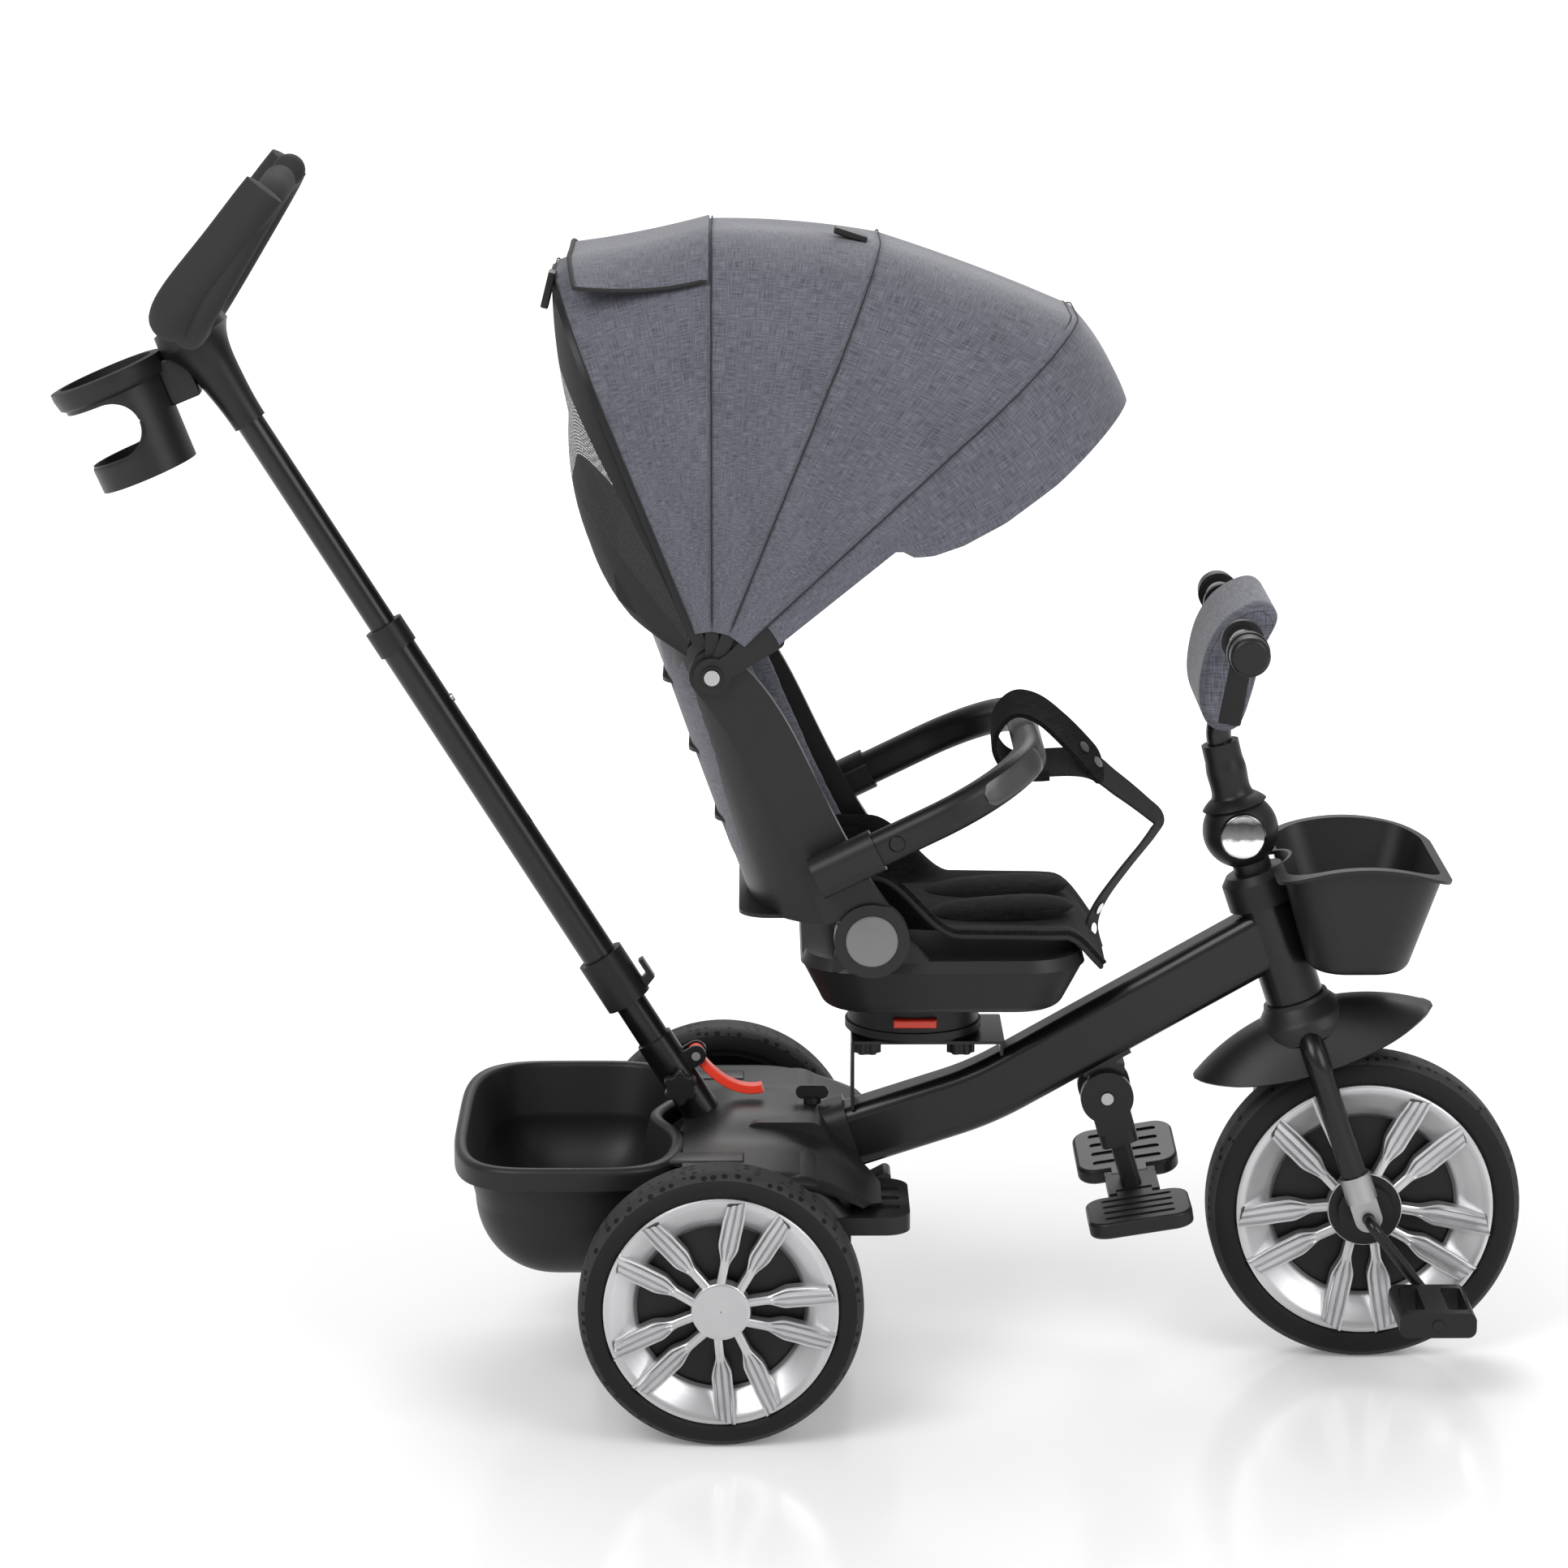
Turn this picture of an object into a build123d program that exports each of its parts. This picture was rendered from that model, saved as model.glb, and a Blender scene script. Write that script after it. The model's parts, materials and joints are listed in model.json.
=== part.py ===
from build123d import *
import math
import os

os.makedirs("parts", exist_ok=True)

# Children's push tricycle with a turning, reclining seat and a folding canopy.
# X runs forward, Y to the rider's left, Z up; the floor is Z = 0.
# Sizes are in millimetres, angles in degrees.

# Fits shared by every piece
seat_gap = 0.1          # pieces of one body that are pressed or glued together
run_gap = 0.06          # radial clearance of a shaft that turns in a bore
clear_gap = 0.4         # pieces of different bodies that pass each other

# Wheels and stance
wheelbase = 513
rear_axle_x = -60
track = 420
front_tyre_d = 250
front_rim_d = 206
rear_tyre_d = 218
rear_rim_d = 180
tyre_width = 46
tyre_shoulder_r = 13
tyre_bead_r = 4
rim_wall = 4
web_thick = 6
hub_d = 44
rear_axle_d = 12
crank_axle_d = 10
cover_thick = 3
spoke_count = 5
rear_cap_d = 47
front_hub_d = 58

# Fork, head tube and stem, measured along the steering axis from the front axle
steer_lean = 18.6
hoop_height = 156
fork_tube_d = 20
fork_half_width = 45
fork_bend_r = 30
fender_r = 171
fender_wall = 3
fender_half_width = 33
fender_crown = 13
fender_rear_angle = 141
fender_front_angle = 74
bell_d = 76
head_low = 180
head_length = 88
head_tube_d = 46
steerer_d = 28
collar_d = 56
collar_skirt = 6
collar_height = 21
ball_height = 323
ball_d = 60
ball_neck_d = 30
disc_d = 36

# Handlebar
neck_lean = 14
neck_top = 73
neck_d = 30
skirt_wall = 3.2
skirt_angle = 50
bar_x = 341
bar_z = 598
bar_d = 22
riser_d = 20
riser_bend_r = 30
bar_half_length = 150
flange_y = 76
flange_d = 33
flange_thick = 7
band_d = 26
end_cap_length = 18
end_cap_d = 31
pad_half_width = 62
pad_depth = 46
pad_low = 511
pad_high = 632

# Main beam
beam_width = 40
beam_height = 50
beam_wall = 2
beam_corner_r = 10
beam_rear_x = -15
beam_rear_z = 164
beam_bend_x = 147
beam_bend_z = 217
beam_bend_r = 250
beam_meets_head = 56     # up the head tube from its lower end

# Seat bracket and turntable
bracket_rear_x = 44
bracket_front_x = 162
bracket_top_z = 270
bracket_sheet = 2.5
bracket_width = 84
bracket_leg_width = 40
swivel_x = 92
turntable_d = 108
turntable_low_thick = 9
swivel_post_d = 30
swivel_post_length = 22
knob_d = 22
knob_thick = 9
knob_pitch_x = 74
knob_pitch_y = 60
knob_bolt_d = 6

# Rear housing, axle and step plates
housing_half_width = 166
housing_rear_x = -92
housing_front_x = 40
housing_low_z = 94
housing_top_z = 194
housing_wall = 4
dome_half_width = 56
dome_rise = 14
step_length = 46
step_top_z = 163
step_thick = 14
step_inner_y = 58
step_corner_r = 20
clamp_wall = 5
clamp_front_x = 45

# Rear basket
rear_basket_rear_x = -262
rear_basket_front_x = -96
rear_basket_half_width = 152
rear_basket_low_z = 98
rear_basket_corner = 44
rear_basket_draft = 26
basket_wall = 3
basket_lip = 7

# Front basket
front_basket_rear_x = 381
front_basket_front_x = 501
front_basket_half_width = 86
front_basket_low_z = 327
front_basket_rim_z = 401
front_basket_rim_rise = 20
front_basket_draft = 22

# Push pole, measured along its axis from the point where it meets the housing
pole_lean = 32.1
pole_foot_x = -71.4
pole_foot_z = 194
socket_d = 30
socket_low = -26
socket_top = 80
stub_d = 25.4
stub_low = -10
lower_tube_d = 28
lower_tube_low = 140
lower_tube_top = 471
pole_wall = 1.5
coupling_low = 117
coupling_top = 160
coupling_d = 38
bush_length = 22
bush_d = 32
upper_tube_d = 22
upper_tube_low = 330
upper_tube_top = 690
snap_height = 398
snap_d = 7
snap_hole_pitch = 33
snap_hole_drop = 114

# Handle and cup holder
trumpet_low = 664
trumpet_top = 742
trumpet_low_d = 27
trumpet_top_d = 60
loop_x = -462
loop_z = 834
loop_lean = 31
loop_half_width = 106
loop_length = 132
loop_tip = 46
loop_bend_r = 44
loop_tube_d = 25
cup_x = -535.5
cup_z = 796
cup_lean = 22.5
cup_bore_d = 76
cup_wall = 2.5
cup_flange_d = 92
cup_flange_thick = 3
cup_ring_length = 16
cup_depth = 86

# Seat shells
seat_half_width = 120
seat_rear_x = 3
seat_front_x = 222
seat_low_z = 308
seat_split_z = 345
seat_draft = 18
seat_wall = 3
pan_height = 9
pan_floor_z = 348

# Recline hinge, arms and back
hinge_x = 56
hinge_z = 374
arm_inner_y = 118
arm_thick = 12
arm_disc_d = 58
arm_disc_y = 134
ear_thick = 12
ear_d = 52
hinge_pin_d = 16
recline_button_d = 40
button_travel = 2.5
back_top_z = 604
back_low_z = 384
back_wall = 3
back_lip = 8
back_pad = 15
back_lean = 20

# Guard bar
guard_x = 40
guard_z = 440
guard_lean = 26
guard_half_width = 148
guard_reach = 155
guard_bend_r = 85
guard_width = 22
guard_height = 27
guard_corner_r = 9
socket_sleeve_wall = 3
sleeve_rear = -30
sleeve_front = 22
guard_plug = 24
keyhole_d = 12
keyhole_place = 38

# Canopy bows, turning about the pivot line at the top of the arms
canopy_x = -66
canopy_z = 582
pivot_d = 8
bow_sheet = 2
bow_width = 10
bow_corner_r = 100
rear_bow_angle = -22
second_bow_angle = 0
third_bow_angle = 22
front_bow_angle = 47
visor_angle = 58.5
rear_bow_r = 318
second_bow_r = 327
third_bow_r = 341
front_bow_r = 380
visor_r = 384
cloth = 1.5
cloth_low = 36
visor_low = 78
canopy_socket_length = 62
canopy_socket_width = 17

# Footrest
foot_x = 246
foot_z = 218
foot_disc_d = 42
foot_lug_half = 16
foot_disc_thick = 8
foot_bolt_d = 8
foot_lean = 16
foot_drop = 84
foot_tube_d = 16
plate_length = 82
plate_depth = 72
plate_thick = 13
plate_pitch = 9
plate_roll = 12
plate_inner_y = 28

# Crank and pedals
crank_throw = 72
crank_angle = -52
crank_rod_d = 9
crank_half_width = 62
pedal_half_reach = 146
pedal_length = 60
pedal_width = 74
pedal_thick = 20

# Values worked out from the sizes above
front_axle = Vector(rear_axle_x + wheelbase, 0, front_tyre_d / 2)
rear_axle_z = rear_tyre_d / 2
half_track = track / 2

# Wheel cover pattern, as shares of the rim's radius, and its dish
cover_ring_share = 0.8
cover_window_in = 0.40
cover_window_out = 0.74
cover_window_tip = 0.78
cover_window_half = 0.20
cover_window_root = 0.045
cover_slot_middle = 0.57
cover_slot_length = 0.40
cover_slot_width = 0.085
cover_dish = 5
cover_hub_dish = 2

# Fork ends
dropout_overlap = 4
dropout_wall = 2.5
dropout_sleeve = 22
dropout_reach = 40
dropout_half_thick = 3
dropout_eye_share = 0.55

# Rear housing details
housing_slope = 26
housing_crest_r = 30
housing_shoulder_r = 12
dome_rear = 40
dome_slope = 12
dome_front = 22
dome_crest_r = 14
step_slot_pitch = 24
step_slot_length = 22
step_slot_width = 11
step_slot_depth = 2
axle_rib_half = 24
axle_rib_foot = 12
pole_ring_wall = 8
pole_ring_top = 5
brake_boss_r = 8
brake_ear = 8
brake_arm_length = 22
brake_arm_thick = 9
brake_eye_r = 7
brake_rest_angle = 28

# Basket details
rear_basket_corner_r = 28
rear_basket_floor_r = 32
basket_arm_length = 60
basket_arm_width = 26
basket_arm_corner_r = 8
front_basket_corner_r = 30
front_basket_floor_r = 12
rim_overrun = 40
rim_end_drop = 14
rim_cut_height = 200
recess_reach = 80

# Pole details
lever_ear_r = 8
lever_slot = 40
socket_slot_length = 60
socket_slot_half = 1.5
knob_boss_wall = 4
knob_lobes = 6
pole_knob_lobe_r = 4
lever_thick = 7
tube_step = 10
hook_reach = 9
hook_lip = 5
hook_half_width = 5
leaf_half_width = 2.5
leaf_length = 50

# Seat details
cushion_front_inset = 11
cushion_rear_inset = 27
cushion_height = 18
release_lift = 5

# Foot plate details
plate_corner_r = 16
plate_edge_r = 3
tread_pitch = 15
tread_rows = 4
tread_share = 0.68
tread_width = 6
tread_depth = 1.5


def leaning(angle):
    """Unit vector that points up and leans back by an angle."""
    return Vector(-math.sin(math.radians(angle)), 0, math.cos(math.radians(angle)))


def leaning_plane(origin, angle):
    """Plane square to an axis that leans back: local x forward, local y to the left."""
    up = leaning(angle)
    return Plane(origin=origin, x_dir=(up.Z, 0, -up.X), z_dir=up)


def side_plane(y):
    """Side-view plane at a given Y: local x forward, local y up, facing the right side."""
    return Plane.XZ.offset(-y)


def save(piece, name):
    """Label a finished piece and write its file."""
    piece.part.label = name
    export_step(piece.part, f"parts/{name}.step")


steer_plane = leaning_plane(front_axle, steer_lean)
pole_plane = leaning_plane((pole_foot_x, 0, pole_foot_z), pole_lean)
ball_centre = front_axle + leaning(steer_lean) * ball_height
neck_plane = leaning_plane(ball_centre, neck_lean)


# Wheels
def wheel_plane(centre, outboard):
    """Half-section plane of a wheel: local x runs outboard along the axle, local y up."""
    return Plane(origin=centre, x_dir=(0, outboard, 0), z_dir=(outboard, 0, 0))


def face_plane(centre, outboard):
    """Plane of a wheel's outer face, looking inboard at it."""
    return Plane(origin=centre, x_dir=(-outboard, 0, 0), z_dir=(0, outboard, 0))


def build_tyre(name, centre, tyre_d, rim_d):
    """Solid tyre with rounded shoulders."""
    plane = wheel_plane(centre, 1)
    with BuildPart() as tyre:
        with BuildSketch(plane) as section:
            with Locations((0, (tyre_d + rim_d) / 4)):
                Rectangle(tyre_width, (tyre_d - rim_d) / 2)
            fillet(section.vertices().group_by(Axis.Y)[-1], tyre_shoulder_r)
            fillet(section.vertices().group_by(Axis.Y)[0], tyre_bead_r)
        revolve(axis=Axis(plane.origin, plane.x_dir))
    save(tyre, name)


def build_core(name, centre, outboard, rim_d, bore_d, hub_out, hub_in, nose_d, nose_out):
    """Black wheel centre: barrel, web, hub and the raised nose that shows through the cover."""
    plane = wheel_plane(centre, outboard)
    rim_r = rim_d / 2 - seat_gap
    with BuildPart() as core:
        with BuildSketch(plane):
            with Locations((0, rim_r - rim_wall / 2)):
                Rectangle(tyre_width - 2 * tyre_bead_r, rim_wall)
            with Locations((0, rim_r / 2)):
                Rectangle(web_thick, rim_r)
            with Locations(((hub_out - hub_in) / 2, hub_d / 4)):
                Rectangle(hub_out + hub_in, hub_d / 2)
            if nose_d:
                with Locations((nose_out / 2, nose_d / 4), (-nose_out / 2, nose_d / 4)):
                    Rectangle(nose_out, nose_d / 2)
            with Locations((0, bore_d / 4)):
                Rectangle(4 * half_track, bore_d / 2, mode=Mode.SUBTRACT)
        revolve(axis=Axis(plane.origin, plane.x_dir))
    save(core, name)


def cover_solid(plane, face, rim_d, inner_d, cap_d):
    """Dished silver wheel cover with paired spokes, on the outboard side of a wheel."""
    rim_r = rim_d / 2 - seat_gap
    half = tyre_width / 2 - tyre_bead_r
    ring_r = cover_ring_share * rim_r
    with BuildPart() as cover:
        with BuildSketch(plane):
            with BuildLine():
                Polyline(
                    (half + seat_gap, rim_r),
                    (half + cover_thick, rim_r),
                    (half + cover_thick, rim_r - cover_thick),
                    (half - cover_dish, ring_r),
                    (half - cover_hub_dish, inner_d / 2),
                    (half - cover_hub_dish - cover_thick, inner_d / 2),
                    (half - cover_dish - cover_thick, ring_r),
                    (half + seat_gap, rim_r - 2 * cover_thick),
                    close=True,
                )
            make_face()
        revolve(axis=Axis(plane.origin, plane.x_dir))
        with BuildSketch(face):
            with PolarLocations(0, spoke_count, start_angle=90):
                Polygon(
                    (cover_window_in * rim_r, cover_window_root * rim_r),
                    (cover_window_out * rim_r, cover_window_half * rim_r),
                    (cover_window_tip * rim_r, 0),
                    (cover_window_out * rim_r, -cover_window_half * rim_r),
                    (cover_window_in * rim_r, -cover_window_root * rim_r),
                    align=None,
                )
            with PolarLocations(cover_slot_middle * rim_r, spoke_count, start_angle=90 + 180 / spoke_count):
                SlotOverall(cover_slot_length * rim_r, cover_slot_width * rim_r)
        extrude(amount=tyre_width, mode=Mode.SUBTRACT)
        if cap_d:
            with BuildSketch(face.offset(half - cover_hub_dish - cover_thick)):
                Circle(cap_d / 2)
            extrude(amount=2 * cover_thick)
            fillet(cover.faces().sort_by(Axis(plane.origin, plane.x_dir))[-1].edges(), 1.5)
    return cover.part


def build_rear_wheel(side, outboard):
    """Tyre, core and cover of one rear wheel."""
    centre = Vector(rear_axle_x, outboard * half_track, rear_axle_z)
    bore_d = rear_axle_d + 2 * run_gap
    hub_in = half_track - housing_half_width - clear_gap
    half = tyre_width / 2 - tyre_bead_r
    build_tyre(f"rear_tyre_{side}", centre, rear_tyre_d, rear_rim_d)
    hub_out = half - 2 - cover_thick - seat_gap
    build_core(f"rear_wheel_core_{side}", centre, outboard, rear_rim_d, bore_d, hub_out, hub_in, 0, 0)
    plane = wheel_plane(centre, outboard)
    face = face_plane(centre, outboard)
    with BuildPart() as cover:
        add(cover_solid(plane, face, rear_rim_d, rear_cap_d, rear_cap_d))
    save(cover, f"rear_wheel_cover_{side}")


build_rear_wheel("right", -1)
build_rear_wheel("left", 1)

build_tyre("front_tyre", front_axle, front_tyre_d, front_rim_d)
front_hub_half = tyre_width / 2 + 6
build_core(
    "front_wheel_core", front_axle, 1, front_rim_d, crank_axle_d + 2 * seat_gap,
    front_hub_half, front_hub_half, front_hub_d, tyre_width / 2 - 1,
)
with BuildPart() as front_wheel_covers:
    for outboard in (-1, 1):
        add(cover_solid(
            wheel_plane(front_axle, outboard), face_plane(front_axle, outboard),
            front_rim_d, front_hub_d + 2 * seat_gap, 0,
        ))
save(front_wheel_covers, "front_wheel_covers")

with BuildPart() as rear_axle:
    with BuildSketch(side_plane(0)):
        with Locations((rear_axle_x, rear_axle_z)):
            Circle(rear_axle_d / 2)
    extrude(amount=half_track + tyre_width / 4, both=True)
save(rear_axle, "rear_axle")


# Crank and pedals
def crank_point(angle, y):
    """Point at the crank's throw, at an angle above the forward direction."""
    turn = math.radians(angle)
    return front_axle + Vector(crank_throw * math.cos(turn), y, crank_throw * math.sin(turn))


right_pedal = crank_point(crank_angle, 0)
left_pedal = crank_point(crank_angle + 180, 0)

with BuildPart() as crank:
    with BuildLine() as crank_line:
        FilletPolyline(
            crank_point(crank_angle, -pedal_half_reach),
            crank_point(crank_angle, -crank_half_width),
            front_axle + Vector(0, -crank_half_width, 0),
            front_axle + Vector(0, crank_half_width, 0),
            crank_point(crank_angle + 180, crank_half_width),
            crank_point(crank_angle + 180, pedal_half_reach),
            radius=crank_rod_d,
        )
    with BuildSketch(Plane(origin=crank_line.line @ 0, z_dir=crank_line.line % 0)):
        Circle(crank_rod_d / 2)
    sweep()
    with BuildSketch(side_plane(0)):
        with Locations((front_axle.X, front_axle.Z)):
            Circle(crank_axle_d / 2)
    extrude(amount=fork_half_width + 5, both=True)
save(crank, "crank")


def build_pedal(name, centre, outboard):
    """Open pedal block with a tread frame round its spindle."""
    inner_y = crank_half_width + crank_rod_d
    mid_y = outboard * (inner_y + pedal_width / 2)
    with BuildPart() as pedal:
        with BuildSketch(side_plane(mid_y)):
            with Locations((centre.X, centre.Z)):
                RectangleRounded(pedal_length, pedal_thick, pedal_thick / 3)
        extrude(amount=pedal_width / 2, both=True)
        with BuildSketch(Plane.XY.offset(centre.Z)):
            for offset_x in (-0.28, 0.28):
                with Locations((centre.X + offset_x * pedal_length, mid_y)):
                    RectangleRounded(0.26 * pedal_length, 0.74 * pedal_width, 3)
        extrude(amount=pedal_thick, both=True, mode=Mode.SUBTRACT)
        with BuildSketch(side_plane(mid_y)):
            with Locations((centre.X, centre.Z)):
                Circle(crank_rod_d / 2 + run_gap)
        extrude(amount=pedal_width, both=True, mode=Mode.SUBTRACT)
    save(pedal, name)


build_pedal("pedal_right", right_pedal, -1)
build_pedal("pedal_left", left_pedal, 1)


# Main frame: bent beam, head tube, seat bracket and footrest lug, welded together
beam_rear = Vector(beam_rear_x, 0, beam_rear_z)
beam_bend = Vector(beam_bend_x, 0, beam_bend_z)
beam_head = front_axle + leaning(steer_lean) * (head_low + beam_meets_head)


def beam_height_at(x, share):
    """Height on the beam at a given X: share 0 is its middle, 1 its top and -1 its underside."""
    start, end = (beam_rear, beam_bend) if x < beam_bend_x else (beam_bend, beam_head)
    slope = (end.Z - start.Z) / (end.X - start.X)
    return start.Z + slope * (x - start.X) + share * beam_height / 2 * math.hypot(1, slope)


with BuildPart() as main_frame:
    with BuildLine() as beam_line:
        FilletPolyline(beam_rear, beam_bend, beam_head, radius=beam_bend_r)
    with BuildSketch(Plane(origin=beam_line.line @ 0, x_dir=(0, 1, 0), z_dir=beam_line.line % 0)):
        RectangleRounded(beam_width, beam_height, beam_corner_r)
        RectangleRounded(
            beam_width - 2 * beam_wall, beam_height - 2 * beam_wall,
            beam_corner_r - beam_wall, mode=Mode.SUBTRACT,
        )
    sweep()
    with BuildSketch(steer_plane.offset(head_low)):
        Circle(head_tube_d / 2)
    extrude(amount=head_length)
    with BuildSketch(steer_plane.offset(head_low)):
        Circle(steerer_d / 2 + run_gap)
    extrude(amount=head_length, mode=Mode.SUBTRACT)
    # Bent sheet bracket that carries the seat's turntable
    bracket_mid_x = (bracket_rear_x + bracket_front_x) / 2
    bracket_length = bracket_front_x - bracket_rear_x + bracket_sheet
    with BuildSketch(Plane.XY.offset(bracket_top_z - bracket_sheet)):
        with Locations((bracket_mid_x, 0)):
            RectangleRounded(bracket_length, bracket_width, bracket_sheet)
        with Locations((swivel_x, 0)):
            with GridLocations(knob_pitch_x, knob_pitch_y, 2, 2):
                Circle(knob_bolt_d / 2 + seat_gap, mode=Mode.SUBTRACT)
    extrude(amount=bracket_sheet)
    for leg_x in (bracket_rear_x, bracket_front_x):
        leg_low = beam_height_at(leg_x, 1) - beam_wall
        with BuildSketch(Plane.XY.offset(leg_low)):
            with Locations((leg_x, 0)):
                Rectangle(bracket_sheet, bracket_leg_width)
        extrude(amount=bracket_top_z - leg_low)
    # Footrest lug under the beam
    with BuildSketch(side_plane(0)):
        with Locations((foot_x, foot_z)):
            Circle(foot_disc_d / 3)
            with Locations((0, (beam_height_at(foot_x, -1) - foot_z) / 2)):
                Rectangle(foot_disc_d * 2 / 3, beam_height_at(foot_x, -1) - foot_z)
            Circle(foot_bolt_d / 2 + run_gap, mode=Mode.SUBTRACT)
        with Locations((foot_x, beam_height_at(foot_x, -1))):
            with Locations(Rotation(0, 0, math.degrees(math.atan2(
                    beam_head.Z - beam_bend.Z, beam_head.X - beam_bend.X)))):
                Rectangle(foot_disc_d, 2 * beam_wall)
    extrude(amount=foot_lug_half, both=True)
save(main_frame, "main_frame")


# Steering: fork hoop and steerer, dropouts, fender with its crown cover, and the stem ball
hoop_top = front_axle + leaning(steer_lean) * hoop_height
hoop_foot = front_axle + leaning(steer_lean) * fork_tube_d

with BuildPart() as fork:
    side = Vector(0, fork_half_width, 0)
    with BuildLine() as hoop_line:
        FilletPolyline(
            hoop_foot - side, hoop_top - side, hoop_top + side, hoop_foot + side, radius=fork_bend_r,
        )
    with BuildSketch(Plane(origin=hoop_line.line @ 0, z_dir=hoop_line.line % 0)):
        Circle(fork_tube_d / 2)
    sweep()
    with BuildSketch(steer_plane.offset(hoop_height)):
        Circle(steerer_d / 2)
    extrude(amount=head_low + head_length + collar_height / 2 - hoop_height)
save(fork, "fork")

with BuildPart() as fork_dropouts:
    for outboard in (-1, 1):
        foot = front_axle + Vector(0, outboard * fork_half_width, 0)
        foot_plane = leaning_plane(foot, steer_lean)
        with BuildSketch(foot_plane.offset(fork_tube_d - dropout_overlap)):
            Circle(fork_tube_d / 2 + dropout_wall)
        extrude(amount=dropout_sleeve)
        with BuildSketch(foot_plane.offset(fork_tube_d - seat_gap)):
            Circle(fork_tube_d / 2 + seat_gap)
        extrude(amount=dropout_reach, mode=Mode.SUBTRACT)
        with BuildSketch(side_plane(outboard * fork_half_width)):
            with Locations((front_axle.X, front_axle.Z)):
                with Locations(Rotation(0, 0, steer_lean)):
                    Circle(fork_tube_d * dropout_eye_share)
                    with Locations((0, fork_tube_d / 2)):
                        Rectangle(2 * fork_tube_d * dropout_eye_share, fork_tube_d - dropout_overlap)
        extrude(amount=dropout_half_thick, both=True)
        with BuildSketch(side_plane(outboard * fork_half_width)):
            with Locations((front_axle.X, front_axle.Z)):
                Circle(crank_axle_d / 2 + run_gap)
        extrude(amount=20, both=True, mode=Mode.SUBTRACT)
save(fork_dropouts, "fork_dropouts")


def radial_plane(centre, angle):
    """Half-section plane through a Y axis: local x along Y, local y out at an angle above forward."""
    turn = math.radians(angle)
    return Plane(origin=centre, x_dir=(0, 1, 0), z_dir=(math.sin(turn), 0, -math.cos(turn)))


with BuildPart() as front_fender:
    edge_r = fender_r - fender_crown
    with BuildSketch(radial_plane(front_axle, fender_rear_angle)):
        with BuildLine():
            outer = ThreePointArc((-fender_half_width, edge_r), (0, fender_r), (fender_half_width, edge_r))
            inner = ThreePointArc(
                (-fender_half_width + fender_wall, edge_r), (0, fender_r - fender_wall),
                (fender_half_width - fender_wall, edge_r),
            )
            Line(outer @ 0, inner @ 0)
            Line(outer @ 1, inner @ 1)
        make_face()
    revolve(axis=Axis(front_axle, (0, 1, 0)), revolution_arc=fender_rear_angle - fender_front_angle)
    with BuildSketch(steer_plane.offset(hoop_height)):
        Circle(steerer_d / 2 + seat_gap)
    extrude(amount=head_low, mode=Mode.SUBTRACT)
    # Bell-shaped crown cover between the fender and the head tube
    bell_low = hoop_height - 4
    bell_top = head_low - clear_gap
    bore_r = steerer_d / 2 + seat_gap
    bell = Plane(origin=front_axle, x_dir=steer_plane.x_dir, z_dir=(0, -1, 0))
    with BuildSketch(bell):
        with BuildLine():
            Polyline((bore_r, bell_low), (bell_d / 2, bell_low), (bell_d / 2 - 1, bell_low + 4))
            Spline(
                (bell_d / 2 - 1, bell_low + 4), (head_tube_d / 2 + 4, bell_top - 6),
                (head_tube_d / 2 + 2, bell_top), tangents=((-0.3, 1), (0, 1)),
            )
            Polyline((head_tube_d / 2 + 2, bell_top), (bore_r, bell_top), (bore_r, bell_low))
        make_face()
    revolve(axis=Axis(front_axle, leaning(steer_lean)))
    with BuildSketch(side_plane(0)):
        with Locations((hoop_top.X, hoop_top.Z)):
            Circle(fork_tube_d / 2 + seat_gap)
            with Locations(Rotation(0, 0, steer_lean)):
                with Locations((0, -fork_tube_d / 2)):
                    Rectangle(fork_tube_d + 2 * seat_gap, fork_tube_d)
    extrude(amount=2 * fork_half_width, both=True, mode=Mode.SUBTRACT)
save(front_fender, "front_fender")

head_top = head_low + head_length
with BuildPart() as stem_ball:
    stem_section = Plane(origin=front_axle, x_dir=steer_plane.x_dir, z_dir=(0, -1, 0))
    with BuildSketch(stem_section):
        with BuildLine():
            Polyline(
                (0, head_top + collar_height), (collar_d / 2 - 5, head_top + collar_height),
                (collar_d / 2, head_top + collar_height - 6), (collar_d / 2, head_top - collar_skirt),
                (head_tube_d / 2 + clear_gap, head_top - collar_skirt),
                (head_tube_d / 2 + clear_gap, head_top + clear_gap), (0, head_top + clear_gap),
                close=True,
            )
        make_face()
        with Locations((ball_neck_d / 4, (head_top + ball_height) / 2)):
            Rectangle(ball_neck_d / 2, ball_height - head_top)
        with BuildLine():
            ball_arc = ThreePointArc(
                (0, ball_height - ball_d / 2), (ball_d / 2, ball_height), (0, ball_height + ball_d / 2),
            )
            Line(ball_arc @ 1, ball_arc @ 0)
        make_face()
    revolve(axis=Axis(front_axle, leaning(steer_lean)))
    with BuildSketch(steer_plane.offset(head_top)):
        Circle(steerer_d / 2 + seat_gap)
    extrude(amount=collar_height / 2 + seat_gap, mode=Mode.SUBTRACT)
    # Flats on both cheeks where the tilt joint's discs sit
    disc_face = math.sqrt((ball_d / 2) ** 2 - (disc_d / 2) ** 2) - 1
    for outboard in (-1, 1):
        with BuildSketch(side_plane(outboard * (disc_face + ball_d / 2))):
            with Locations((ball_centre.X, ball_centre.Z)):
                Circle(disc_d / 2 + clear_gap)
        extrude(amount=ball_d / 2, both=True, mode=Mode.SUBTRACT)
save(stem_ball, "stem_ball")


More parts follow.
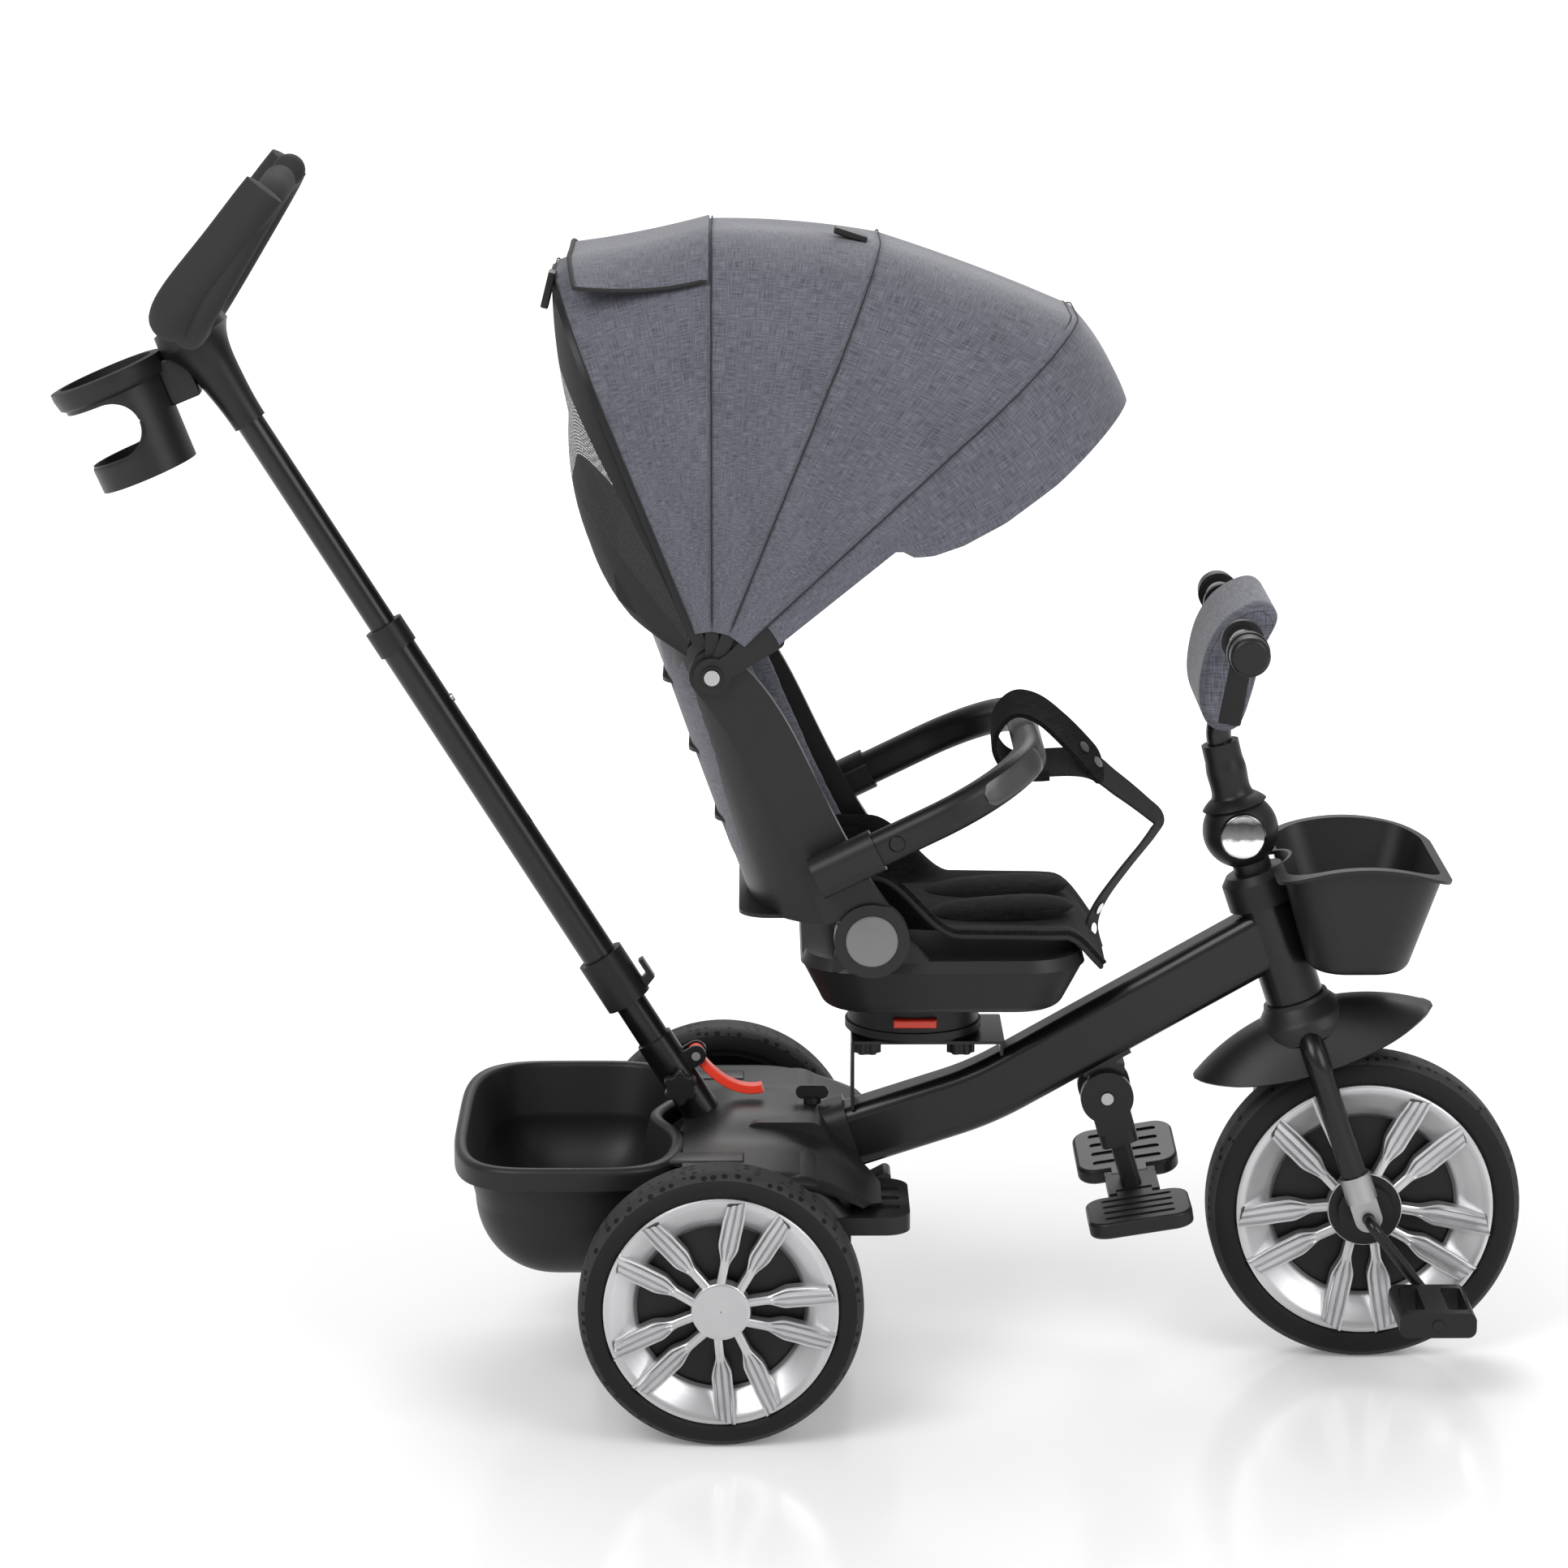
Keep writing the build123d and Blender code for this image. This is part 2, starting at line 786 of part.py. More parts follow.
# Handlebar: neck over the ball, T bar, end grips, chrome trim and the padded cover
with BuildPart() as stem_neck:
    neck_section = Plane(origin=ball_centre, x_dir=neck_plane.x_dir, z_dir=(0, -1, 0))
    cup_r = ball_d / 2 + clear_gap
    skirt_r = cup_r + skirt_wall
    low = math.radians(skirt_angle)
    with BuildSketch(neck_section):
        with BuildLine():
            cup = CenterArc((0, 0), cup_r, 90 - skirt_angle, skirt_angle)
            shoulder = CenterArc((0, 0), skirt_r, 90 - skirt_angle, skirt_angle / 3)
            Line(cup @ 0, shoulder @ 0)
            Spline(
                shoulder @ 1, (neck_d / 2 + 1, neck_top * 0.7), (neck_d / 2, neck_top - 12),
                tangents=(shoulder % 1, (0, 1)),
            )
            Polyline((neck_d / 2, neck_top - 12), (neck_d / 2, neck_top), (0, neck_top), cup @ 1)
        make_face()
    revolve(axis=Axis(ball_centre, leaning(neck_lean)))
    with BuildSketch(neck_plane.offset(neck_top - 20)):
        Circle(riser_d / 2 + seat_gap)
    extrude(amount=20, mode=Mode.SUBTRACT)
save(stem_neck, "stem_neck")

bar_centre = Vector(bar_x, 0, bar_z)
riser_foot = ball_centre + leaning(neck_lean) * (neck_top - 20 + seat_gap)
riser_bend = ball_centre + leaning(neck_lean) * (neck_top + 6)

with BuildPart() as handlebar_bar:
    with BuildLine() as riser_line:
        FilletPolyline(riser_foot, riser_bend, bar_centre, radius=riser_bend_r)
    with BuildSketch(Plane(origin=riser_line.line @ 0, z_dir=riser_line.line % 0)):
        Circle(riser_d / 2)
    sweep()
    with BuildSketch(side_plane(0)):
        with Locations((bar_x, bar_z)):
            Circle(bar_d / 2)
    extrude(amount=bar_half_length - end_cap_length, both=True)
save(handlebar_bar, "handlebar_bar")


def bar_ring(outboard, start_y, length, outer_d, bore_d):
    """Collar on the bar, from a distance out from the middle."""
    with BuildPart() as ring:
        with BuildSketch(side_plane(outboard * (start_y + length / 2))):
            with Locations((bar_x, bar_z)):
                Circle(outer_d / 2)
                if bore_d:
                    Circle(bore_d / 2, mode=Mode.SUBTRACT)
        extrude(amount=length / 2, both=True)
    return ring.part


bar_bore_d = bar_d + 2 * seat_gap
band_start = flange_y + flange_thick + seat_gap
band_length = bar_half_length - end_cap_length - flange_thick - 2 * seat_gap - band_start

with BuildPart() as handlebar_ends:
    for outboard in (-1, 1):
        add(bar_ring(outboard, flange_y, flange_thick, flange_d, bar_bore_d))
        cap_start = bar_half_length - end_cap_length + seat_gap
        add(bar_ring(outboard, cap_start - flange_thick - seat_gap, flange_thick, flange_d, bar_bore_d))
        add(bar_ring(outboard, cap_start - seat_gap, end_cap_length, end_cap_d, 0))
    for outboard in (-1, 1):
        tip = handlebar_ends.faces().sort_by(Axis.Y)[-1 if outboard > 0 else 0]
        fillet(tip.edges(), 5)
    with BuildSketch(side_plane(0)):
        with Locations((bar_x, bar_z)):
            Circle(bar_bore_d / 2)
    extrude(amount=bar_half_length - end_cap_length + seat_gap, both=True, mode=Mode.SUBTRACT)
save(handlebar_ends, "handlebar_ends")

with BuildPart() as handlebar_chrome:
    for outboard in (-1, 1):
        add(bar_ring(outboard, band_start, band_length, band_d, bar_bore_d))
    for outboard in (-1, 1):
        with BuildSketch(side_plane(outboard * (disc_face + clear_gap / 2 + 2.2))):
            with Locations((ball_centre.X, ball_centre.Z)):
                Circle(disc_d / 2)
        extrude(amount=2, both=True)
    rims = handlebar_chrome.edges().filter_by(GeomType.CIRCLE)
    disc_rims = rims.filter_by(lambda edge: abs(edge.radius - disc_d / 2) < 0.01)
    outer_rims = disc_rims.filter_by(lambda edge: abs(edge.center().Y) > disc_face + clear_gap / 2 + 2.2)
    fillet(outer_rims, 1.8)
save(handlebar_chrome, "handlebar_chrome")

with BuildPart() as handlebar_pad:
    with BuildSketch(side_plane(0)) as pad_profile:
        with BuildLine():
            Polyline(
                (bar_x - pad_depth / 2 - 6, pad_low + 14), (bar_x - pad_depth / 2, pad_low),
                (bar_x + pad_depth / 4, pad_low), (bar_x + pad_depth / 2, bar_z - 10),
                (bar_x + pad_depth / 2, pad_high - 12), (bar_x + pad_depth / 2 - 12, pad_high),
                (bar_x - 4, pad_high), (bar_x - pad_depth / 2, bar_z - 4), close=True,
            )
        make_face()
        fillet(pad_profile.vertices(), 4)
    extrude(amount=pad_half_width, both=True)
    with BuildSketch(side_plane(0)):
        with Locations((bar_x, bar_z)):
            Circle(bar_d / 2 + clear_gap)
    extrude(amount=2 * pad_half_width, both=True, mode=Mode.SUBTRACT)
    with BuildSketch(Plane(origin=riser_bend, z_dir=bar_centre - riser_bend)):
        Circle(bar_d / 2 + 2)
    extrude(amount=(bar_centre - riser_bend).length, mode=Mode.SUBTRACT)
    with BuildSketch(Plane(origin=riser_bend, z_dir=riser_bend - bar_centre)):
        Circle(neck_d / 2 + clear_gap)
    extrude(amount=20, both=True, mode=Mode.SUBTRACT)
save(handlebar_pad, "handlebar_pad")


# Rear housing: moulded bridge over the axle with a clamp for the beam and two step plates
beam_dir = (beam_bend - beam_rear).normalized()
clamp_length = (clamp_front_x - beam_rear_x) / beam_dir.X


def beam_end(grow, start, length):
    """Straight block along the rear end of the beam, grown on all sides."""
    with BuildPart() as block:
        with BuildSketch(Plane(origin=beam_rear + beam_dir * start, x_dir=(0, 1, 0), z_dir=beam_dir)):
            RectangleRounded(beam_width + 2 * grow, beam_height + 2 * grow, beam_corner_r + grow)
        extrude(amount=length)
    return block.part


def along_pole(radius, low, high):
    """Round bar on the push pole's axis."""
    with BuildPart() as rod:
        with BuildSketch(pole_plane.offset(low)):
            Circle(radius)
        extrude(amount=high - low)
    return rod.part


brake_x = housing_front_x + 11
brake_z = 139
brake_pin_d = 6
brake_half_width = 14

with BuildPart() as rear_housing:
    with BuildSketch(side_plane(0)) as bridge:
        Polygon(
            (housing_rear_x, housing_low_z), (housing_rear_x, housing_top_z),
            (housing_front_x - housing_slope, housing_top_z), (housing_front_x, step_top_z),
            (housing_front_x, housing_low_z), align=None,
        )
        fillet(bridge.vertices().group_by(Axis.Y)[-1], housing_crest_r)
    extrude(amount=housing_half_width, both=True)
    shoulders = rear_housing.faces().filter_by(Axis.Y).edges().filter_by(
        lambda edge: edge.center().Z > step_top_z - 1)
    fillet(shoulders, housing_shoulder_r)
    with BuildSketch(side_plane(0)) as dome:
        Polygon(
            (housing_rear_x + dome_rear, housing_top_z - 5 * housing_wall),
            (housing_rear_x + dome_rear + dome_slope, housing_top_z + dome_rise),
            (housing_front_x - dome_front, housing_top_z + dome_rise),
            (housing_front_x - housing_wall / 2, housing_top_z - housing_crest_r),
            align=None,
        )
        fillet(dome.vertices().group_by(Axis.Y)[-1], dome_crest_r)
    extrude(amount=dome_half_width, both=True)
    for outboard in (-1, 1):
        with BuildSketch(Plane.XY.offset(step_top_z - step_thick)) as step:
            with Locations((housing_front_x, outboard * (step_inner_y + housing_half_width) / 2)):
                Rectangle(2 * step_length, housing_half_width - step_inner_y)
            fillet(step.vertices().group_by(Axis.X)[-1], step_corner_r)
        extrude(amount=step_thick)
    with BuildSketch(Plane.XY.offset(step_top_z)):
        for outboard in (-1, 1):
            middle_y = outboard * (step_inner_y + housing_half_width) / 2
            for place in (-step_slot_pitch, 0, step_slot_pitch):
                with Locations((housing_front_x + step_length * 0.6, middle_y + place)):
                    SlotOverall(step_slot_length, step_slot_width)
    extrude(amount=-step_slot_depth, mode=Mode.SUBTRACT)
    # Hollow underside
    with BuildSketch(side_plane(0)) as cavity:
        Polygon(
            (housing_rear_x + housing_wall, housing_low_z - 1),
            (housing_rear_x + housing_wall, housing_top_z - housing_wall),
            (housing_front_x - housing_slope - 2, housing_top_z - housing_wall),
            (housing_front_x - housing_wall, step_top_z - step_thick),
            (housing_front_x - housing_wall, housing_low_z - 1), align=None,
        )
        fillet(cavity.vertices().group_by(Axis.Y)[-1], housing_crest_r - 2)
    extrude(amount=housing_half_width - 3 * housing_wall, both=True, mode=Mode.SUBTRACT)
    # Bearing ribs for the axle, the pole's ring, the beam clamp and the brake lever's ears
    rib_y = housing_half_width / 2
    with BuildSketch(side_plane(0)):
        Polygon(
            (rear_axle_x - axle_rib_half, housing_top_z - housing_wall - 2),
            (rear_axle_x + axle_rib_half, housing_top_z - housing_wall - 2),
            (rear_axle_x + axle_rib_foot, housing_low_z + 2),
            (rear_axle_x - axle_rib_foot, housing_low_z + 2), align=None,
        )
    extrude(amount=rib_y + housing_wall / 2, both=True)
    with BuildSketch(side_plane(0)):
        Polygon(
            (rear_axle_x - axle_rib_half, housing_top_z - 2 * housing_wall),
            (rear_axle_x + axle_rib_half, housing_top_z - 2 * housing_wall),
            (rear_axle_x + axle_rib_half, housing_low_z),
            (rear_axle_x - axle_rib_half, housing_low_z), align=None,
        )
    extrude(amount=rib_y - housing_wall / 2, both=True, mode=Mode.SUBTRACT)
    add(along_pole(socket_d / 2 + pole_ring_wall, socket_low, pole_ring_top))
    add(beam_end(clamp_wall, -clamp_wall, clamp_length + clamp_wall))
    with BuildSketch(side_plane(0)):
        with Locations((brake_x, brake_z)):
            Circle(brake_boss_r)
            with Locations((-brake_boss_r, 0)):
                Rectangle(2 * brake_boss_r, 2 * brake_boss_r)
    extrude(amount=brake_half_width + brake_ear, both=True)
    with BuildSketch(side_plane(0)):
        with Locations((brake_x, brake_z)):
            Circle(brake_boss_r + 1)
            with Locations((brake_boss_r + 1, 0)):
                Rectangle(2 * brake_boss_r + 2, 2 * brake_boss_r + 2)
    extrude(amount=brake_half_width + clear_gap, both=True, mode=Mode.SUBTRACT)
    # Bores
    add(beam_end(seat_gap, -seat_gap, 3 * clamp_length), mode=Mode.SUBTRACT)
    add(along_pole(socket_d / 2 + seat_gap, socket_low, socket_top), mode=Mode.SUBTRACT)
    with BuildSketch(side_plane(0)):
        with Locations((rear_axle_x, rear_axle_z)):
            Circle(rear_axle_d / 2 + seat_gap)
    extrude(amount=half_track, both=True, mode=Mode.SUBTRACT)
    with BuildSketch(side_plane(0)):
        with Locations((brake_x, brake_z)):
            Circle(brake_pin_d / 2 + run_gap)
    extrude(amount=brake_half_width + brake_ear - 2, both=True, mode=Mode.SUBTRACT)
    wing_x = (beam_rear_x + clamp_front_x) / 2 - 3
    wing_bolt_d = 8
    with BuildSketch(Plane.XY.offset(beam_height_at(wing_x, 0))):
        with Locations((wing_x, 0)):
            Circle(wing_bolt_d / 2 + seat_gap)
    extrude(amount=beam_height, mode=Mode.SUBTRACT)
save(rear_housing, "rear_housing")

with BuildPart() as brake_pedal:
    with BuildSketch(side_plane(0)):
        with Locations((brake_x, brake_z)):
            Circle(brake_eye_r)
            with Locations(Rotation(0, 0, brake_rest_angle)):
                with Locations((brake_arm_length / 2, 0)):
                    Rectangle(brake_arm_length, brake_arm_thick)
                with Locations((brake_arm_length, 0)):
                    Circle(brake_arm_thick / 2)
    extrude(amount=brake_half_width, both=True)
    with BuildSketch(side_plane(0)):
        with Locations((brake_x, brake_z)):
            Circle(brake_pin_d / 2)
    extrude(amount=brake_half_width + brake_ear - 3, both=True)
save(brake_pedal, "brake_pedal")


# Rear basket
lip_thick = 5
rear_basket_rim_z = housing_top_z + lip_thick + seat_gap


def rear_outline(z, inset):
    """Plan of the rear basket at a height: cut rear corners, rounded, drawn in by an inset."""
    wide = rear_basket_half_width - inset
    rear = rear_basket_rear_x + inset
    front = rear_basket_front_x - inset
    cut = rear_basket_corner
    with BuildSketch(Plane.XY.offset(z)) as outline:
        Polygon(
            (front, wide), (rear + cut, wide), (rear, wide - cut),
            (rear, cut - wide), (rear + cut, -wide), (front, -wide), align=None,
        )
        fillet(outline.vertices(), rear_basket_corner_r)
    return outline.sketch


with BuildPart() as rear_basket:
    loft(sections=[rear_outline(rear_basket_low_z, rear_basket_draft), rear_outline(rear_basket_rim_z, 0)])
    fillet(rear_basket.faces().sort_by(Axis.Z)[0].edges(), rear_basket_floor_r)
    offset(amount=-basket_wall, openings=rear_basket.faces().sort_by(Axis.Z)[-1])
    with BuildSketch(Plane.XY.offset(rear_basket_rim_z - lip_thick)):
        add(rear_outline(0, -basket_lip))
        add(rear_outline(0, basket_wall / 2), mode=Mode.SUBTRACT)
    extrude(amount=lip_thick)
    # Arms that rest on the housing
    arm_y = (dome_half_width + housing_half_width) / 2 + 8
    for outboard in (-1, 1):
        with BuildSketch(Plane.XY.offset(rear_basket_rim_z - lip_thick)):
            with Locations((rear_basket_front_x + 0.4 * basket_arm_length, outboard * arm_y)):
                RectangleRounded(basket_arm_length, basket_arm_width, basket_arm_corner_r)
            add(rear_outline(0, basket_wall / 2), mode=Mode.SUBTRACT)
        extrude(amount=lip_thick)
    add(along_pole(socket_d / 2 + 3, socket_low, socket_top), mode=Mode.SUBTRACT)
save(rear_basket, "rear_basket")


# Front basket, hung on the head tube
def front_outline(z, inset):
    """Plan of the front basket at a height, drawn in by an inset."""
    length = front_basket_front_x - front_basket_rear_x - 2 * inset
    with BuildSketch(Plane.XY.offset(z)) as outline:
        with Locations(((front_basket_front_x + front_basket_rear_x) / 2, 0)):
            RectangleRounded(length, 2 * (front_basket_half_width - inset), front_basket_corner_r)
    return outline.sketch


basket_loft_top = front_basket_rim_z + 2 * front_basket_rim_rise


def front_loft(grow, low):
    """Tapered block of the front basket, grown sideways, from a lower height up."""
    slope = front_basket_draft / (front_basket_rim_z - front_basket_low_z)
    with BuildPart() as block:
        loft(sections=[
            front_outline(low, slope * (front_basket_rim_z - low) - grow),
            front_outline(basket_loft_top, slope * (front_basket_rim_z - basket_loft_top) - grow),
        ])
    return block.part


def rim_block(drop, tall):
    """Side-view strip under the arched rim line, right across the basket."""
    rear = front_basket_rear_x - rim_overrun
    front = front_basket_front_x + rim_overrun
    low = front_basket_rim_z - rim_end_drop - drop
    with BuildPart() as block:
        with BuildSketch(side_plane(0)):
            with BuildLine():
                arch = ThreePointArc(
                    (rear, low),
                    ((rear + front) / 2 + 8, front_basket_rim_z + front_basket_rim_rise - drop),
                    (front, low),
                )
                Polyline(arch @ 1, (front, low + tall), (rear, low + tall), arch @ 0)
            make_face()
        extrude(amount=2 * front_basket_half_width, both=True)
    return block.part


def head_recess(radius, low, high):
    """Slot round the head tube, open to the rear."""
    with BuildPart() as slot:
        with BuildSketch(steer_plane.offset(low)):
            Circle(radius)
            with Locations((-recess_reach / 2, 0)):
                Rectangle(recess_reach, 2 * radius)
        extrude(amount=high - low)
    return slot.part


collar_low = head_top - collar_skirt
with BuildPart() as front_basket:
    add(front_loft(0, front_basket_low_z))
    fillet(front_basket.faces().sort_by(Axis.Z)[0].edges(), front_basket_floor_r)
    add(front_loft(-basket_wall, front_basket_low_z + basket_wall), mode=Mode.SUBTRACT)
    with BuildPart(mode=Mode.PRIVATE) as mounting:
        add(front_loft(0, front_basket_low_z + 2))
        add(head_recess(collar_d / 2 + 2 + basket_wall, 0, ball_height), mode=Mode.INTERSECT)
    add(mounting.part)
    add(rim_block(0, rim_cut_height), mode=Mode.SUBTRACT)
    with BuildPart(mode=Mode.PRIVATE) as lip:
        add(front_loft(basket_lip, front_basket_low_z))
        add(front_loft(-basket_wall / 2, front_basket_low_z), mode=Mode.SUBTRACT)
        add(rim_block(0, rim_cut_height), mode=Mode.SUBTRACT)
        add(rim_block(basket_wall, rim_cut_height), mode=Mode.INTERSECT)
    add(lip.part)
    add(head_recess(head_tube_d / 2 + seat_gap, 0, ball_height), mode=Mode.SUBTRACT)
    add(head_recess(collar_d / 2 + 2, collar_low - 2, ball_height), mode=Mode.SUBTRACT)
save(front_basket, "front_basket")


# Push pole: socket in the housing, lower tube, collars and sliding upper tube
lever_height = 52
lever_reach = 22
lever_pin_d = 6
lever_half_width = 6
ear_sheet = 3
pole_knob_height = 40
pole_knob_bolt_d = 8
pole_knob_d = 28
pole_knob_thick = 10


def pole_point(out, height):
    """Point in the pole's plane, out in front of its axis and up along it."""
    return pole_plane.origin + pole_plane.x_dir * out + pole_plane.z_dir * height


def pole_side(y):
    """Side-view plane on the pole: local x out in front of it, local y up along it."""
    return Plane(origin=pole_plane.origin + Vector(0, y, 0), x_dir=pole_plane.x_dir, z_dir=(0, -1, 0))


with BuildPart() as pole_socket:
    add(along_pole(socket_d / 2, socket_low, socket_top))
    with BuildSketch(pole_side(0)):
        with Locations((lever_reach, lever_height)):
            Circle(lever_ear_r)
        with Locations((lever_reach / 2, lever_height)):
            Rectangle(lever_reach, 2 * lever_ear_r)
    extrude(amount=lever_half_width + clear_gap + ear_sheet, both=True)
    with BuildSketch(pole_side(0)):
        with Locations((lever_reach + socket_d / 2, lever_height)):
            Rectangle(2 * lever_reach, lever_slot)
    extrude(amount=lever_half_width + clear_gap, both=True, mode=Mode.SUBTRACT)
    with BuildSketch(pole_side(0)):
        with Locations((lever_reach, lever_height)):
            Circle(lever_pin_d / 2)
    extrude(amount=lever_half_width + ear_sheet, both=True)
    with BuildSketch(pole_side(0)):
        with Locations((0, pole_knob_height)):
            Circle(pole_knob_bolt_d / 2 + knob_boss_wall)
    extrude(amount=socket_d / 2 + knob_boss_wall)
    add(along_pole(stub_d / 2 + seat_gap, stub_low - seat_gap, socket_top + 1), mode=Mode.SUBTRACT)
    add(along_pole(stub_d / 2 - 3, socket_low - 1, stub_low), mode=Mode.SUBTRACT)
    with BuildSketch(pole_side(0)):
        with Locations((0, pole_knob_height)):
            Circle(pole_knob_bolt_d / 2 + run_gap)
    extrude(amount=socket_d, mode=Mode.SUBTRACT)
    # Slot that lets the cam squeeze the socket
    with BuildSketch(pole_side(0)):
        with Locations((-socket_d / 2, socket_top)):
            Rectangle(socket_d / 2, socket_slot_length)
    extrude(amount=socket_slot_half, both=True, mode=Mode.SUBTRACT)
save(pole_socket, "pole_socket")

with BuildPart() as pole_knob:
    knob_face = socket_d / 2 + knob_boss_wall + clear_gap
    with BuildSketch(pole_side(-knob_face)):
        with Locations((0, pole_knob_height)):
            Circle(pole_knob_d / 2 - 3)
            with PolarLocations(pole_knob_d / 2 - pole_knob_lobe_r, knob_lobes):
                Circle(pole_knob_lobe_r)
    extrude(amount=pole_knob_thick)
    fillet(pole_knob.faces().sort_by(Axis.Y)[0].edges(), 1.2)
    with BuildSketch(pole_side(-knob_face)):
        with Locations((0, pole_knob_height)):
            Circle(pole_knob_bolt_d / 2)
    extrude(amount=-(knob_face - stub_d / 2 - clear_gap))
save(pole_knob, "pole_knob")

with BuildPart() as cam_lever:
    lever_length = 52
    with BuildSketch(pole_side(0)):
        with BuildLine(mode=Mode.PRIVATE) as lever_curve:
            Spline(
                (lever_reach, lever_height), (lever_reach + 4, lever_height - 0.45 * lever_length),
                (lever_reach + 14, lever_height - 0.8 * lever_length),
                (lever_reach + 30, lever_height - lever_length),
            )
        trace(lever_curve.line, line_width=lever_thick)
        with Locations((lever_reach, lever_height)):
            Circle(lever_reach - socket_d / 2 - clear_gap)
    extrude(amount=lever_half_width, both=True)
    fillet(cam_lever.faces().filter_by(Axis.Y).edges(), 1)
    with BuildSketch(pole_side(0)):
        with Locations((lever_reach, lever_height)):
            Circle(lever_pin_d / 2 + run_gap)
    extrude(amount=socket_d, both=True, mode=Mode.SUBTRACT)
save(cam_lever, "cam_lever")

snap_holes = (snap_height, snap_height - snap_hole_pitch, snap_height - snap_hole_drop)
with BuildPart() as pole_lower_tube:
    add(along_pole(stub_d / 2, stub_low, coupling_top))
    add(along_pole(lower_tube_d / 2, lower_tube_low, lower_tube_top))
    add(along_pole(stub_d / 2 - pole_wall, stub_low - 1, lower_tube_low + tube_step), mode=Mode.SUBTRACT)
    add(
        along_pole(lower_tube_d / 2 - pole_wall, lower_tube_low + tube_step, lower_tube_top + 1),
        mode=Mode.SUBTRACT,
    )
    for height in snap_holes:
        with BuildSketch(Plane(origin=pole_point(0, height), z_dir=pole_plane.x_dir)):
            Circle(snap_d / 2 + seat_gap)
        extrude(amount=lower_tube_d, mode=Mode.SUBTRACT)
save(pole_lower_tube, "pole_lower_tube")

with BuildPart() as pole_collars:
    add(along_pole(coupling_d / 2, coupling_low, coupling_top))
    with BuildSketch(pole_side(0)):
        Polygon(
            (coupling_d / 2 - 2, coupling_low + 2), (coupling_d / 2 + hook_reach, coupling_low + 6),
            (coupling_d / 2 + hook_reach, coupling_low + 24), (coupling_d / 2 + hook_lip, coupling_low + 24),
            (coupling_d / 2 + hook_lip, coupling_low + 12),
            (coupling_d / 2 - 2, coupling_low + 10), align=None,
        )
    extrude(amount=hook_half_width, both=True)
    add(along_pole(stub_d / 2 + seat_gap, coupling_low - 1, lower_tube_low), mode=Mode.SUBTRACT)
    add(
        along_pole(lower_tube_d / 2 + seat_gap, lower_tube_low - seat_gap, coupling_top + 1),
        mode=Mode.SUBTRACT,
    )
    bush_lip = 4
    add(along_pole(bush_d / 2, lower_tube_top - bush_length + bush_lip, lower_tube_top + bush_lip))
    add(along_pole(lower_tube_d / 2 + seat_gap, lower_tube_top - bush_length, lower_tube_top + seat_gap),
        mode=Mode.SUBTRACT)
    add(
        along_pole(upper_tube_d / 2 + run_gap, lower_tube_top, lower_tube_top + 2 * bush_lip),
        mode=Mode.SUBTRACT,
    )
save(pole_collars, "pole_collars")

with BuildPart() as pole_upper_tube:
    foot_ring = 6
    add(along_pole(upper_tube_d / 2, upper_tube_low, upper_tube_top))
    add(along_pole(lower_tube_d / 2 - pole_wall - run_gap, upper_tube_low, upper_tube_low + foot_ring))
    add(along_pole(upper_tube_d / 2 - pole_wall, upper_tube_low - 1, upper_tube_top + 1), mode=Mode.SUBTRACT)
    with BuildSketch(Plane(origin=pole_point(0, snap_height), z_dir=pole_plane.x_dir)):
        Circle(snap_d / 2 + seat_gap)
    extrude(amount=upper_tube_d, mode=Mode.SUBTRACT)
save(pole_upper_tube, "pole_upper_tube")

with BuildPart() as snap_button:
    leaf = 0.8
    inside = upper_tube_d / 2 - pole_wall - 1.5
    with BuildSketch(Plane(origin=pole_point(inside - 2 * leaf, snap_height), z_dir=pole_plane.x_dir)):
        Circle(snap_d / 2)
    extrude(amount=lower_tube_d / 2 + 1.5 - inside + 2 * leaf)
    with BuildSketch(pole_side(0)):
        with BuildLine(mode=Mode.PRIVATE) as spring_line:
            Polyline(
                (inside - leaf, snap_height + 6), (0, snap_height - leaf_length),
                (leaf - inside, snap_height + 6),
            )
        trace(spring_line.line, line_width=leaf)
    extrude(amount=leaf_half_width, both=True)
save(snap_button, "snap_button")


# Handle: flared housing, loop and cup holder
def handle_flare(grow):
    """Flared housing on the pole's axis, grown outward."""
    with BuildPart() as flare:
        with BuildSketch(pole_side(0)):
            with BuildLine():
                low = (trumpet_low_d / 2 + grow, trumpet_low - grow)
                Polyline((0, trumpet_low - grow), low)
                Spline(
                    low, (trumpet_low_d / 2 + grow + 3, trumpet_low + 0.5 * (trumpet_top - trumpet_low)),
                    (trumpet_top_d / 2 + grow, trumpet_top), tangents=((0, 1), (1, 1)),
                )
                Polyline(
                    (trumpet_top_d / 2 + grow, trumpet_top), (trumpet_top_d / 2 + grow - 3, trumpet_top + 16),
                    (0, trumpet_top + 22), (0, trumpet_low - grow),
                )
            make_face()
        revolve(axis=Axis(pole_plane.origin, pole_plane.z_dir))
    return flare.part


def handle_point(y, up):
    """Point in the plane of the handle loop."""
    lean = math.radians(loop_lean)
    return Vector(loop_x + up * math.sin(lean), y, loop_z + up * math.cos(lean))


with BuildPart() as handle_loop:
    with BuildLine() as loop_line:
        FilletPolyline(
            handle_point(-loop_tip, loop_length), handle_point(-loop_half_width, loop_length - 12),
            handle_point(-loop_half_width, 0), handle_point(loop_half_width, 0),
            handle_point(loop_half_width, loop_length - 12), handle_point(loop_tip, loop_length),
            radius=loop_bend_r,
        )
    with BuildSketch(Plane(origin=loop_line.line @ 0, z_dir=loop_line.line % 0)):
        Circle(loop_tube_d / 2)
    sweep()
    # Rounded tips
    for end in (0, 1):
        with Locations(loop_line.line @ end):
            Sphere(loop_tube_d / 2)
save(handle_loop, "handle_loop")

